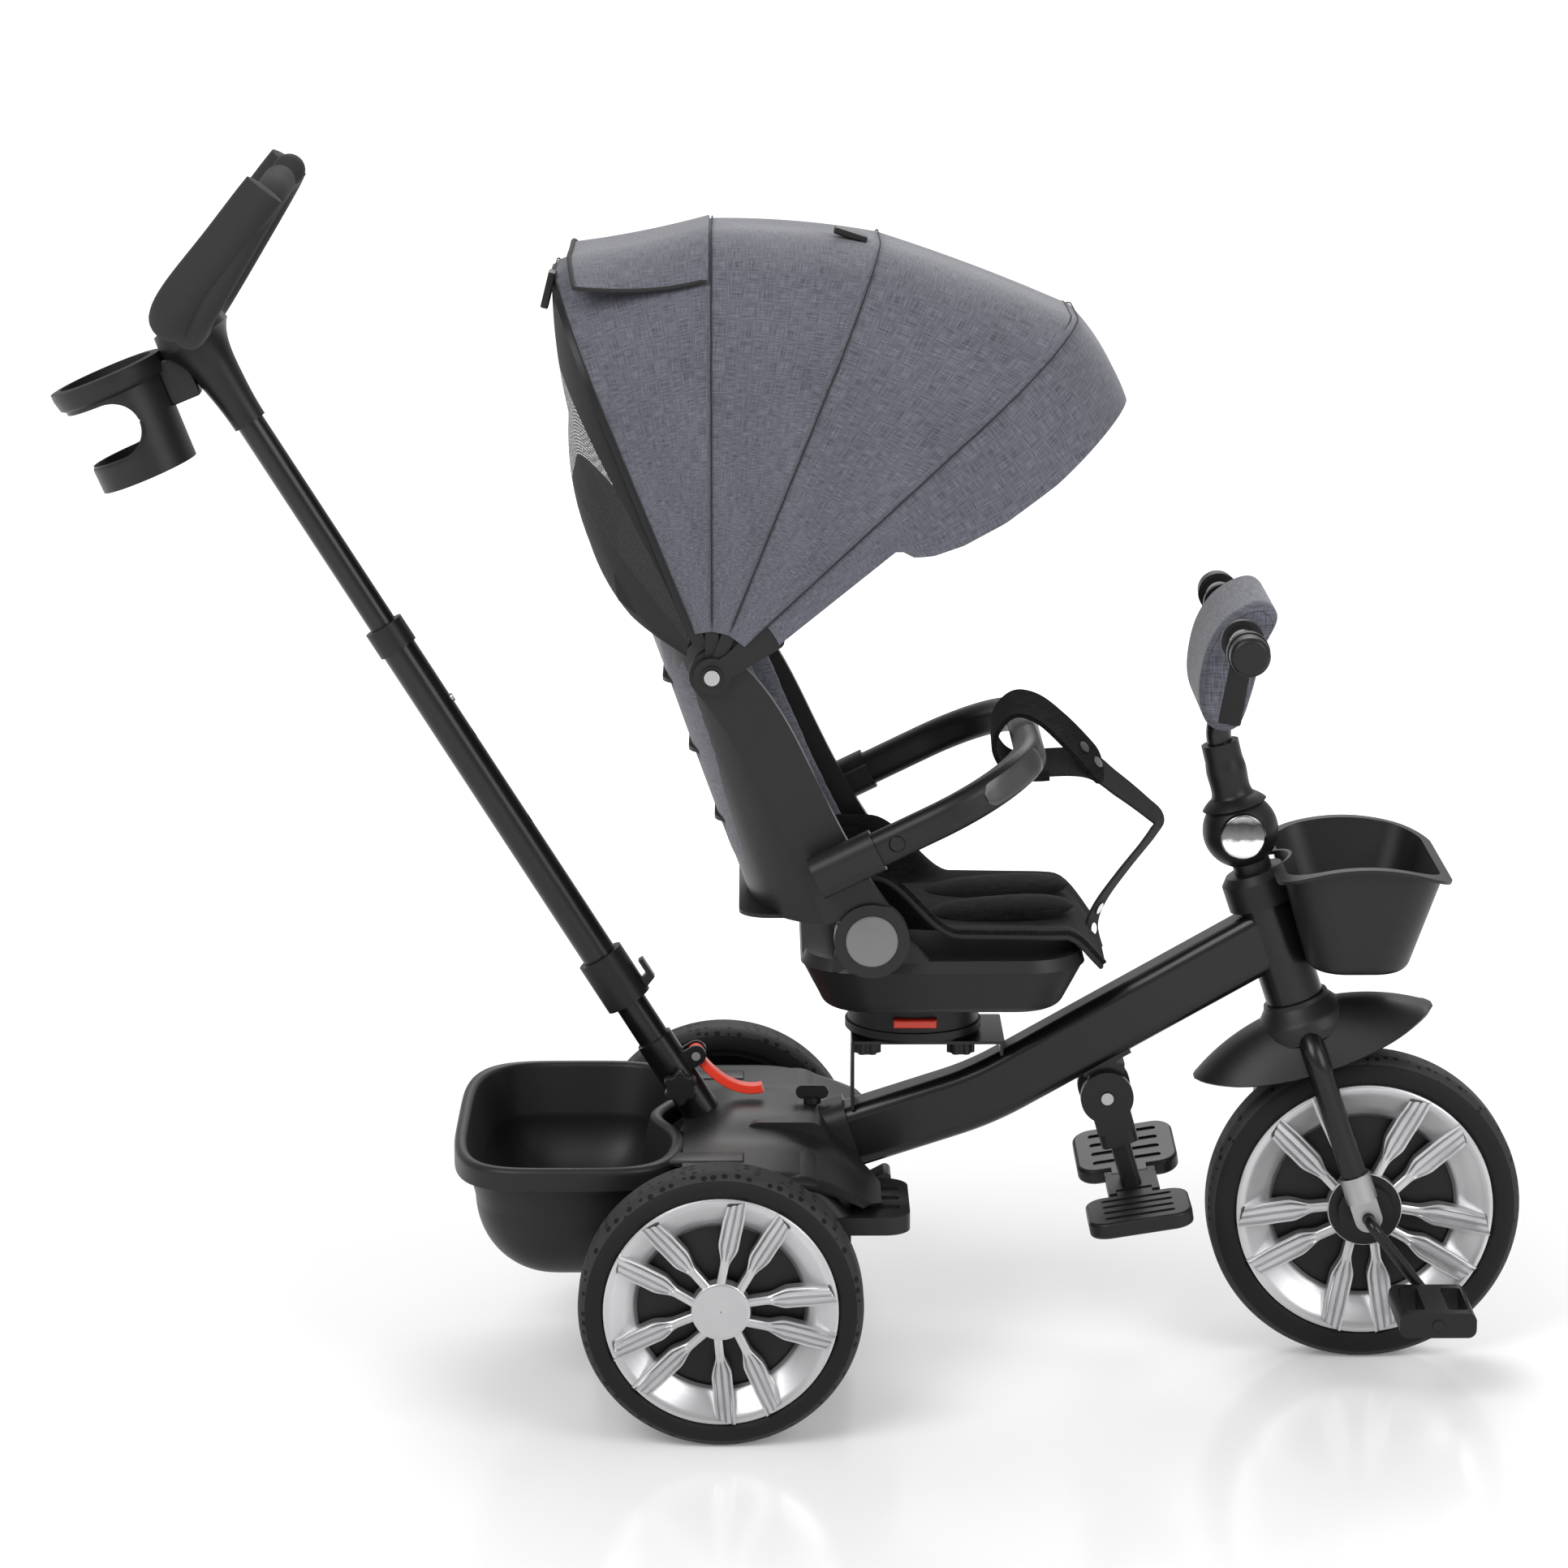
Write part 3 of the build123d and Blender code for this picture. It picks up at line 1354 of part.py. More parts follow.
with BuildPart() as handle_housing:
    add(handle_flare(0))
    with BuildSketch(side_plane(0)):
        with Locations((loop_x, loop_z)):
            Circle(loop_tube_d / 2 + seat_gap)
    extrude(amount=loop_half_width, both=True, mode=Mode.SUBTRACT)
    add(
        along_pole(upper_tube_d / 2 + seat_gap, trumpet_low - 1, upper_tube_top + seat_gap),
        mode=Mode.SUBTRACT,
    )
save(handle_housing, "handle_housing")

cup_plane = leaning_plane((cup_x, 0, cup_z), cup_lean)
cup_outer_r = cup_bore_d / 2 + cup_wall
with BuildPart() as cup_holder:
    with BuildSketch(cup_plane.offset(-cup_depth)):
        Circle(cup_outer_r)
    extrude(amount=cup_depth)
    with BuildSketch(cup_plane.offset(-cup_flange_thick)):
        Circle(cup_flange_d / 2)
    extrude(amount=cup_flange_thick)
    # Lug that reaches to the flared housing
    with BuildSketch(cup_plane.offset(-cup_depth / 2)):
        with Locations((cup_outer_r + 10, 0)):
            Rectangle(40, 20)
    extrude(amount=cup_depth / 2 - 8)
    add(handle_flare(seat_gap), mode=Mode.SUBTRACT)
    add(along_pole(trumpet_low_d / 2 + 2, trumpet_low - 60, trumpet_low), mode=Mode.SUBTRACT)
    with BuildSketch(cup_plane.offset(-cup_depth + cup_wall)):
        Circle(cup_bore_d / 2)
    extrude(amount=cup_depth, mode=Mode.SUBTRACT)
    # Open window in the side and drain hole in the floor
    with BuildSketch(cup_plane.offset(-cup_depth + 3 * cup_wall)):
        with Locations((-cup_outer_r - 12, 0)):
            Rectangle(2 * cup_outer_r, 3 * cup_outer_r)
    extrude(amount=cup_depth - cup_ring_length - 3 * cup_wall, mode=Mode.SUBTRACT)
    with BuildSketch(cup_plane.offset(-cup_depth)):
        Circle(9)
        with PolarLocations(0.6 * cup_outer_r, 6):
            SlotOverall(14, 5)
    extrude(amount=2 * cup_wall, mode=Mode.SUBTRACT)
save(cup_holder, "cup_holder")


# Turntable
post_top = bracket_top_z + turntable_low_thick + swivel_post_length
with BuildPart() as swivel_base:
    with BuildSketch(Plane.XY.offset(bracket_top_z + seat_gap)):
        with Locations((swivel_x, 0)):
            Circle(turntable_d / 2)
    extrude(amount=turntable_low_thick - seat_gap)
    chamfer(swivel_base.edges().group_by(Axis.Z)[0], 3)
    with BuildSketch(Plane.XY.offset(bracket_top_z + turntable_low_thick)):
        with Locations((swivel_x, 0)):
            Circle(swivel_post_d / 2)
    extrude(amount=swivel_post_length)
    with BuildSketch(Plane.XY.offset(bracket_top_z)):
        with Locations((swivel_x, 0)):
            with GridLocations(knob_pitch_x, knob_pitch_y, 2, 2):
                Circle(knob_bolt_d / 2 + seat_gap)
    extrude(amount=turntable_low_thick - 2, mode=Mode.SUBTRACT)
save(swivel_base, "swivel_base")

with BuildPart() as hand_screws:
    knob_top = bracket_top_z - bracket_sheet - seat_gap
    with BuildSketch(Plane.XY.offset(knob_top - knob_thick)):
        with Locations((swivel_x, 0)):
            with GridLocations(knob_pitch_x, knob_pitch_y, 2, 2):
                Circle(knob_d / 2 - 2)
                with PolarLocations(knob_d / 2 - 3, 6):
                    Circle(3)
    extrude(amount=knob_thick)
    with BuildSketch(Plane.XY.offset(knob_top)):
        with Locations((swivel_x, 0)):
            with GridLocations(knob_pitch_x, knob_pitch_y, 2, 2):
                Circle(knob_bolt_d / 2)
    extrude(amount=bracket_sheet + turntable_low_thick - 4)
    # Wing bolt on the beam clamp
    clamp_top = beam_height_at(wing_x, 1) + clamp_wall / beam_dir.X
    with BuildSketch(Plane.XY.offset(beam_height_at(wing_x, 1) + 2)):
        with Locations((wing_x, 0)):
            Circle(wing_bolt_d / 2)
    extrude(amount=clamp_wall + 8)
    with BuildSketch(Plane.XY.offset(clamp_top + 4)):
        with Locations((wing_x, 0)):
            Circle(7)
    extrude(amount=5)
    with BuildSketch(side_plane(0)):
        with Locations((wing_x, clamp_top + 13)):
            SlotOverall(26, 11)
    extrude(amount=2, both=True)
save(hand_screws, "hand_screws")


# Seat shells
boss_d = turntable_d - 4
boss_low = bracket_top_z + turntable_low_thick + clear_gap
release_half_length = 17
release_thick = 7
release_inner_y = 33
release_outer_y = 57
release_travel = 5
release_low = boss_low + release_lift
seat_corner_r = 46


def seat_outline(z, inset):
    """Plan of the seat at a height, drawn in by an inset."""
    with BuildSketch(Plane.XY.offset(z)) as outline:
        with Locations(((seat_rear_x + seat_front_x) / 2, 0)):
            RectangleRounded(
                seat_front_x - seat_rear_x - 2 * inset,
                2 * (seat_half_width - inset), seat_corner_r - inset / 2,
            )
    return outline.sketch


with BuildPart() as seat_base:
    loft(sections=[seat_outline(seat_low_z, seat_draft), seat_outline(seat_split_z, 0)])
    fillet(seat_base.faces().sort_by(Axis.Z)[0].edges(), 12)
    loft(
        sections=[
            seat_outline(seat_low_z + seat_wall, seat_draft + seat_wall),
            seat_outline(seat_split_z + seat_wall, seat_wall),
        ],
        mode=Mode.SUBTRACT,
    )
    with BuildSketch(Plane.XY.offset(boss_low)):
        with Locations((swivel_x, 0)):
            Circle(boss_d / 2)
    extrude(amount=seat_low_z + 2 * seat_wall - boss_low)
    # Stiffening ribs inside
    with BuildSketch(Plane.XY.offset(seat_low_z + seat_wall)):
        with Locations((swivel_x, 0)):
            Rectangle(seat_wall, 1.5 * seat_half_width)
            Rectangle(1.2 * seat_half_width, seat_wall)
    extrude(amount=10)
    with BuildSketch(Plane.XY.offset(boss_low - 1)):
        with Locations((swivel_x, 0)):
            Circle(swivel_post_d / 2 + run_gap)
    extrude(amount=post_top + clear_gap - boss_low + 1, mode=Mode.SUBTRACT)
    with BuildSketch(Plane.XY.offset(release_low - clear_gap)):
        with Locations((swivel_x, -(release_inner_y + release_outer_y) / 2 + release_travel)):
            Rectangle(
                2 * (release_half_length + clear_gap), release_outer_y - release_inner_y + 2 * clear_gap,
            )
        with Locations((swivel_x, -release_outer_y)):
            Rectangle(2 * (release_half_length + clear_gap), release_outer_y - release_inner_y)
    extrude(amount=release_thick + 2 * clear_gap, mode=Mode.SUBTRACT)
save(seat_base, "seat_base")

with BuildPart() as swivel_release:
    with BuildSketch(Plane.XY.offset(release_low)):
        with Locations((swivel_x, -(release_inner_y + release_outer_y) / 2)):
            Rectangle(2 * release_half_length, release_outer_y - release_inner_y)
    extrude(amount=release_thick)
    fillet(swivel_release.faces().sort_by(Axis.Y)[0].edges(), 2)
save(swivel_release, "swivel_release")

ear_outer_y = arm_inner_y - clear_gap
ear_inner_y = ear_outer_y - ear_thick
with BuildPart() as seat_pan:
    pan_low = seat_split_z + seat_gap
    loft(sections=[seat_outline(pan_low, -1), seat_outline(pan_low + pan_height, 3)])
    with BuildSketch(Plane.XY.offset(pan_floor_z)):
        add(seat_outline(0, 9))
    extrude(amount=pan_height, mode=Mode.SUBTRACT)
    # Open rear edge under the back
    with BuildSketch(Plane.XY.offset(pan_floor_z)):
        with Locations((seat_rear_x, 0)):
            Rectangle(40, 2 * (seat_half_width - seat_corner_r))
    extrude(amount=pan_height, mode=Mode.SUBTRACT)
    for side in (-1, 1):
        with BuildSketch(side_plane(side * (ear_inner_y + ear_outer_y) / 2)):
            with Locations((hinge_x, hinge_z)):
                Circle(ear_d / 2)
            Polygon(
                (hinge_x - ear_d / 2 - 4, pan_low + 1), (hinge_x - ear_d / 2, hinge_z),
                (hinge_x + ear_d / 2, hinge_z), (hinge_x + ear_d / 2 + 26, pan_low + 1), align=None,
            )
        extrude(amount=ear_thick / 2, both=True)
    with BuildSketch(side_plane(0)):
        with Locations((hinge_x, hinge_z)):
            Circle(hinge_pin_d / 2 + run_gap)
    extrude(amount=seat_half_width, both=True, mode=Mode.SUBTRACT)
    # Room for the discs of the arms
    for side in (-1, 1):
        with BuildSketch(side_plane(side * ear_outer_y)):
            with Locations((hinge_x, hinge_z)):
                Circle(arm_disc_d / 2 + clear_gap)
        extrude(amount=-side * arm_thick, mode=Mode.SUBTRACT)
save(seat_pan, "seat_pan")

cushion_gap = 0.3
cushion_half_width = ear_inner_y - 1.5
cushion_front_x = seat_front_x - cushion_front_inset
cushion_rear_x = seat_rear_x + cushion_rear_inset
with BuildPart() as seat_cushion:
    with BuildSketch(side_plane(0)):
        with BuildLine():
            crown = Spline(
                (cushion_rear_x, pan_floor_z + cushion_height), (hinge_x + 44, pan_floor_z + cushion_height),
                (cushion_front_x - 30, pan_floor_z + 16), (cushion_front_x, pan_floor_z + 10),
            )
            Polyline(
                crown @ 1, (cushion_front_x, pan_floor_z + cushion_gap),
                (cushion_rear_x, pan_floor_z + cushion_gap), crown @ 0,
            )
        make_face()
    extrude(amount=cushion_half_width, both=True)
    with BuildSketch(Plane.XY.offset(pan_floor_z)):
        with Locations(((cushion_front_x + cushion_rear_x) / 2, 0)):
            RectangleRounded(cushion_front_x - cushion_rear_x, 2 * cushion_half_width, seat_corner_r - 4)
    extrude(amount=4 * pan_height, mode=Mode.INTERSECT)
save(seat_cushion, "seat_cushion")


# Recline arms with the guard-bar sleeves and the canopy pivots
arm_vector = Vector(canopy_x - hinge_x, 0, canopy_z - hinge_z)
arm_length = arm_vector.length
arm_front = 25
arm_rear = 16
pivot_boss_r = 18
pivot_head_d = 16
button_depth = 7
sleeve_height = guard_height + 2 * socket_sleeve_wall
sleeve_width = guard_width + 2 * socket_sleeve_wall


def arm_plane(y):
    """Side-view plane on the hinge: local x up along the arm, local y to the rear."""
    return Plane(origin=(hinge_x, y, hinge_z), x_dir=arm_vector.normalized(), z_dir=(0, -1, 0))


def guard_point(reach, y):
    """Point in the plane of the guard bar."""
    lean = math.radians(guard_lean)
    return Vector(guard_x + reach * math.cos(lean), y, guard_z + reach * math.sin(lean))


guard_dir = (guard_point(1, 0) - guard_point(0, 0)).normalized()


def guard_plane(reach, y):
    """Plane across one leg of the guard bar: local x to the left, facing along the leg."""
    return Plane(origin=guard_point(reach, y), x_dir=(0, 1, 0), z_dir=guard_dir)


def build_arm(side):
    """One recline arm; side is -1 on the right and 1 on the left."""
    with BuildPart() as arm:
        with BuildSketch(arm_plane(side * arm_inner_y)):
            with BuildLine():
                front = Spline(
                    (0.06 * arm_length, -arm_front), (0.3 * arm_length, 2 - arm_front),
                    (0.55 * arm_length, -2 - arm_front), (0.8 * arm_length, -5 - arm_front),
                    (arm_length, -pivot_boss_r - 4),
                )
                top = ThreePointArc(front @ 1, (arm_length + pivot_boss_r, 0), (arm_length, pivot_boss_r))
                rear = Spline(
                    top @ 1, (0.72 * arm_length, arm_rear - 3), (0.45 * arm_length, arm_rear),
                    (0.12 * arm_length, arm_front),
                )
                Line(rear @ 1, front @ 0)
            make_face()
        extrude(amount=-side * arm_thick)
        with BuildSketch(arm_plane(side * arm_inner_y)):
            Circle(arm_disc_d / 2)
        extrude(amount=-side * (arm_disc_y - arm_inner_y))
        with BuildSketch(arm_plane(side * (ear_inner_y + clear_gap))):
            Circle(hinge_pin_d / 2)
        extrude(amount=-side * (arm_disc_y - button_depth - ear_inner_y - clear_gap))
        with BuildSketch(arm_plane(side * arm_disc_y)):
            Circle(recline_button_d / 2 + clear_gap)
        extrude(amount=side * button_depth, mode=Mode.SUBTRACT)
        # Canopy pivot
        with BuildSketch(side_plane(side * (arm_inner_y + arm_thick / 2))):
            with Locations((canopy_x, canopy_z)):
                Circle(pivot_d / 2)
        extrude(amount=-side * (pivot_head_y - arm_inner_y - arm_thick / 2))
        with BuildSketch(side_plane(side * pivot_head_y)):
            with Locations((canopy_x, canopy_z)):
                Circle(pivot_head_d / 2)
        extrude(amount=-side * 2)
        # Sleeve that takes the end of the guard bar
        with BuildSketch(guard_plane(sleeve_rear, side * guard_half_width)):
            RectangleRounded(sleeve_width, sleeve_height, guard_corner_r + socket_sleeve_wall)
        extrude(amount=sleeve_front - sleeve_rear)
        with BuildSketch(guard_plane(sleeve_rear, side * (guard_half_width - sleeve_width / 2))):
            Rectangle(sleeve_width / 2, sleeve_height - 2 * guard_corner_r)
        extrude(amount=sleeve_front - sleeve_rear)
        with BuildSketch(guard_plane(-guard_plug - seat_gap, side * guard_half_width)):
            RectangleRounded(guard_width + 2 * seat_gap, guard_height + 2 * seat_gap, guard_corner_r)
        extrude(amount=guard_reach, mode=Mode.SUBTRACT)
        # Keep the inner side of the arm flat
        with BuildSketch(side_plane(side * arm_inner_y)):
            with Locations((guard_x, guard_z)):
                Circle(2 * guard_height)
        extrude(amount=side * guard_width, mode=Mode.SUBTRACT)
    return arm.part


# Canopy bows sit side by side on the pivots
bow_gap = 0.4
second_bow_y = arm_inner_y + arm_thick + bow_gap + bow_sheet
third_bow_y = second_bow_y + bow_gap + bow_sheet
front_bow_y = third_bow_y + bow_gap + 1.5 * bow_sheet
rear_bow_y = arm_inner_y + arm_thick - seat_gap
pivot_head_y = front_bow_y + bow_gap

with BuildPart() as recline_arms:
    for side in (-1, 1):
        add(build_arm(side))
save(recline_arms, "recline_arms")


def build_button(plane, radius, depth):
    """Round push button standing on a plane, domed at its edge."""
    with BuildPart() as button:
        with BuildSketch(plane):
            Circle(radius)
        extrude(amount=depth)
        chamfer(button.faces().sort_by(Axis(plane.origin, plane.z_dir))[-1].edges(), 1)
    return button


button_out = 1.5
button_foot_y = arm_disc_y - button_depth + button_travel + clear_gap
keyhole_depth = 5
guard_button_travel = 2
guard_face_y = guard_half_width + guard_width / 2
guard_button_foot_y = guard_face_y - keyhole_depth + guard_button_travel + clear_gap
for side, hand in ((-1, "right"), (1, "left")):
    recline_plane = Plane(origin=(hinge_x, side * button_foot_y, hinge_z), z_dir=(0, side, 0))
    save(build_button(recline_plane, recline_button_d / 2, arm_disc_y + button_out - button_foot_y),
         f"recline_button_{hand}")
    keyhole_plane = Plane(origin=guard_point(keyhole_place, side * guard_button_foot_y), z_dir=(0, side, 0))
    save(build_button(keyhole_plane, keyhole_d / 2, guard_face_y + button_out - guard_button_foot_y),
         f"guard_button_{hand}")

with BuildPart() as guard_bar:
    with BuildLine():
        FilletPolyline(
            guard_point(-guard_plug, -guard_half_width), guard_point(guard_reach, -guard_half_width),
            guard_point(guard_reach, guard_half_width), guard_point(-guard_plug, guard_half_width),
            radius=guard_bend_r,
        )
    with BuildSketch(guard_plane(-guard_plug, -guard_half_width)):
        RectangleRounded(guard_width, guard_height, guard_corner_r)
    sweep()
    for side in (-1, 1):
        face = Plane(origin=guard_point(keyhole_place, side * guard_face_y), z_dir=(0, side, 0))
        with BuildSketch(face):
            Circle(keyhole_d / 2 + clear_gap)
        extrude(amount=-keyhole_depth, mode=Mode.SUBTRACT)
save(guard_bar, "guard_bar")


# Seat back: tapering shell wrapped round the rider, and its cushion
def back_band(z, rear_x, front_x, half_width, thick, depth):
    """Plan of a band that wraps round the rear from one front edge to the other."""
    with BuildSketch(Plane.XY.offset(z)) as band:
        with BuildLine():
            outer = EllipticalCenterArc((rear_x + depth, 0), depth, half_width, start_angle=90, arc_size=180)
            inner = EllipticalCenterArc(
                (rear_x + depth, 0), depth - thick, half_width - thick, start_angle=90, arc_size=180,
            )
            Polyline(outer @ 1, (front_x, -half_width), (front_x, thick - half_width), inner @ 1)
            Polyline(outer @ 0, (front_x, half_width), (front_x, half_width - thick), inner @ 0)
        make_face()
    return band.sketch


back_half_width = arm_inner_y - clear_gap
back_dir = leaning(back_lean)
back_depth = 60
back_low_rear_x = hinge_x - 94
back_flare = 58


def back_rear_x(z):
    """Rearmost X of the seat back at a height."""
    return back_low_rear_x + back_dir.X / back_dir.Z * (z - back_low_z)


def back_front_x(z):
    """Front edge of the seat back's sides at a height."""
    return back_rear_x(z) + back_flare + 8


def back_outline(z, inset, reach):
    """Filled plan of the seat back at a height, drawn in by an inset and run on to the front."""
    rear_x = back_rear_x(z)
    half_width = back_half_width - inset
    with BuildSketch(Plane.XY.offset(z)) as outline:
        with BuildLine():
            curve = EllipticalCenterArc(
                (rear_x + back_depth, 0), back_depth - inset, half_width, start_angle=90, arc_size=180,
            )
            front_x = back_front_x(z) + reach
            Polyline(curve @ 1, (front_x, -half_width), (front_x, half_width), curve @ 0)
        make_face()
    return outline.sketch


with BuildPart() as seat_back:
    back_height = back_top_z - back_low_z
    extrude(to_extrude=back_outline(back_low_z, 0, 0), amount=back_height / back_dir.Z, dir=back_dir)
    # Lip at the foot and stiffening ribs across the rear
    with BuildSketch(Plane.XY.offset(back_low_z - back_wall / 3)):
        with Locations((back_rear_x(back_low_z) + back_depth / 2, 0)):
            RectangleRounded(back_depth + 2 * back_lip, 1.6 * back_half_width, 3 * back_lip)
    extrude(amount=back_wall)
    for share in (0.3, 0.55, 0.8):
        z = back_low_z + share * back_height
        with BuildSketch(Plane.XY.offset(z)):
            with Locations((back_rear_x(z) + back_depth / 2, 0)):
                RectangleRounded(back_depth + 2 * back_wall, back_half_width, 3 * back_lip)
        extrude(amount=back_wall)
    extrude(
        to_extrude=back_outline(back_low_z - back_wall, back_wall, back_flare),
        amount=(back_height + 2 * back_wall) / back_dir.Z, dir=back_dir, mode=Mode.SUBTRACT,
    )
save(seat_back, "seat_back")

pad_low_z = back_low_z + 30
pad_top_z = back_top_z + 10
pad_gap = 1.2
with BuildPart() as back_cushion:
    loft(
        sections=[
            back_band(z, back_rear_x(z) + back_wall + pad_gap, back_front_x(z) + wing,
                      back_half_width - back_wall - pad_gap, back_pad, back_depth - back_wall)
            for z, wing in ((pad_low_z, 26), (pad_top_z, 12))
        ],
        ruled=True,
    )
save(back_cushion, "back_cushion")

with BuildPart() as crotch_strap:
    strap_thick = 2.4
    strap_width = 30
    strap_gap = 0.5
    bar_front = guard_point(guard_reach, 0)
    with BuildSketch(side_plane(0)):
        with Locations(Location((bar_front.X, bar_front.Z), guard_lean)):
            RectangleRounded(
                guard_width + 2 * (strap_gap + strap_thick), guard_height + 2 * (strap_gap + strap_thick),
                guard_corner_r + strap_thick,
            )
        with BuildLine(mode=Mode.PRIVATE) as strap_line:
            Spline(
                (bar_front.X + guard_width / 2, bar_front.Z - guard_height / 4),
                (bar_front.X + 2.6 * guard_width, bar_front.Z - guard_height),
                (seat_front_x + 52, bar_front.Z - 0.42 * (bar_front.Z - seat_split_z)),
                (seat_front_x + 24, seat_split_z + 34),
                (seat_front_x + 16, seat_split_z - 8),
            )
        trace(strap_line.line, line_width=strap_thick)
        with Locations(Location((bar_front.X, bar_front.Z), guard_lean)):
            RectangleRounded(
                guard_width + 2 * strap_gap, guard_height + 2 * strap_gap, guard_corner_r, mode=Mode.SUBTRACT,
            )
    extrude(amount=strap_width / 2, both=True)
save(crotch_strap, "crotch_strap")


# Canopy bows and cloth
def canopy_plane(angle):
    """Plane through the pivot line: local x to the left, local y out from the pivots."""
    turn = math.radians(angle)
    out = Vector(math.sin(turn), 0, math.cos(turn))
    return Plane(origin=(canopy_x, 0, canopy_z), x_dir=(0, 1, 0), z_dir=Vector(0, 1, 0).cross(out))


def arch_band(angle, half_width, crown, low, thick, corner):
    """Flat arch in a plane through the pivots, from one foot over the crown to the other."""
    with BuildSketch() as hollow:
        with Locations((0, (crown - thick + low) / 2 - 1)):
            Rectangle(2 * (half_width - thick), crown - thick - low + 2)
        fillet(hollow.vertices().group_by(Axis.Y)[-1], corner - thick)
    with BuildSketch() as arch:
        with Locations((0, (crown + low) / 2)):
            Rectangle(2 * half_width, crown - low)
        fillet(arch.vertices().group_by(Axis.Y)[-1], corner)
        add(hollow.sketch, mode=Mode.SUBTRACT)
    return canopy_plane(angle) * arch.sketch


def build_bow(angle, half_width, crown, low):
    """One canopy bow; a bow that starts at the pivots gets an eye on each."""
    with BuildPart() as bow:
        extrude(to_extrude=arch_band(angle, half_width, crown, low, bow_sheet, bow_corner_r),
                amount=bow_width / 2, both=True)
        if low == 0:
            for side in (-1, 1):
                with BuildSketch(side_plane(side * half_width)):
                    with Locations((canopy_x, canopy_z)):
                        Circle(bow_width + 2)
                extrude(amount=side * bow_sheet)
            with BuildSketch(side_plane(0)):
                with Locations((canopy_x, canopy_z)):
                    Circle(pivot_d / 2 + run_gap)
            extrude(amount=2 * half_width, both=True, mode=Mode.SUBTRACT)
    return bow


save(build_bow(rear_bow_angle, rear_bow_y, rear_bow_r, pivot_boss_r + 6), "canopy_bow_rear")
save(build_bow(second_bow_angle, second_bow_y, second_bow_r, 0), "canopy_bow_2")
save(build_bow(third_bow_angle, third_bow_y, third_bow_r, 0), "canopy_bow_3")

with BuildPart() as canopy_bow_front:
    add(build_bow(front_bow_angle, front_bow_y, front_bow_r, 0).part)
    for side in (-1, 1):
        with BuildSketch(side_plane(side * front_bow_y)):
            with Locations((canopy_x, canopy_z)):
                Circle(14)
            with Locations(Location((canopy_x, canopy_z), 90 - visor_angle)):
                with Locations((canopy_socket_length / 2, 0)):
                    RectangleRounded(canopy_socket_length, canopy_socket_width, 6)
        extrude(amount=side * 1.5 * bow_sheet)
    with BuildSketch(side_plane(0)):
        with Locations((canopy_x, canopy_z)):
            Circle(pivot_d / 2 + run_gap)
    extrude(amount=2 * front_bow_y, both=True, mode=Mode.SUBTRACT)
save(canopy_bow_front, "canopy_bow_front")

cloth_gap = 2.6
seam_turn = 0.3
sewn_gap = 0.3
mesh_y = rear_bow_y + sewn_gap + cloth - cloth_gap


def cloth_band(angle, half_width, crown, low, corner):
    """Edge of a cloth panel, just outside a bow."""
    return arch_band(angle, half_width + cloth_gap, crown + cloth_gap + cloth, low, cloth, corner)


bows = (
    (rear_bow_angle, rear_bow_y, rear_bow_r), (second_bow_angle, second_bow_y, second_bow_r),
    (third_bow_angle, third_bow_y, third_bow_r), (front_bow_angle, front_bow_y, front_bow_r),
)
with BuildPart() as canopy_cloth:
    for first, second in zip(bows, bows[1:]):
        loft(
            sections=[
                cloth_band(first[0] + seam_turn, first[1], first[2], cloth_low, bow_corner_r),
                cloth_band(second[0] - seam_turn, second[1], second[2], cloth_low, bow_corner_r),
            ],
            ruled=True,
        )
    loft(
        sections=[
            cloth_band(front_bow_angle + seam_turn, front_bow_y, front_bow_r, visor_low, bow_corner_r),
            cloth_band(visor_angle, front_bow_y, visor_r, visor_low, bow_corner_r),
        ],
        ruled=True,
    )
    # Mesh window down to the top of the back
    loft(
        sections=[
            cloth_band(rear_bow_angle - 2, mesh_y, rear_bow_r, cloth_low, bow_corner_r),
            cloth_band(rear_bow_angle - 12, mesh_y, 0.56 * rear_bow_r, cloth_low, bow_corner_r),
            cloth_band(
                rear_bow_angle - 36, arm_inner_y, 0.21 * rear_bow_r, pivot_boss_r + 4, 0.13 * rear_bow_r,
            ),
        ],
        ruled=True,
    )
save(canopy_cloth, "canopy_cloth")


# Footrest with two folding plates
foot_end = Vector(foot_x, 0, foot_z) - leaning(foot_lean) * foot_drop
pitch = math.radians(plate_pitch)
plate_dir = Vector(math.cos(pitch), 0, math.sin(pitch))
plate_up = Vector(-math.sin(pitch), 0, math.cos(pitch))
barrel_r = plate_thick / 2
barrel_half_length = 14
plate_pin_d = 5
hinge_ear = 6


def plate_plane(side, roll):
    """Plane of a foot plate on its hinge; the roll lifts the outer edge."""
    turn = math.radians(roll)
    normal = plate_up * math.cos(turn) - Vector(0, side, 0) * math.sin(turn)
    return Plane(origin=foot_end + Vector(0, side * plate_inner_y, 0), x_dir=plate_dir, z_dir=normal)


def barrel(side, radius, start, end):
    """Round bar on the hinge line of one foot plate."""
    with BuildPart() as rod:
        with BuildSketch(Plane(origin=plate_plane(side, 0).origin + plate_dir * start, z_dir=plate_dir)):
            Circle(radius)
        extrude(amount=end - start)
    return rod.part


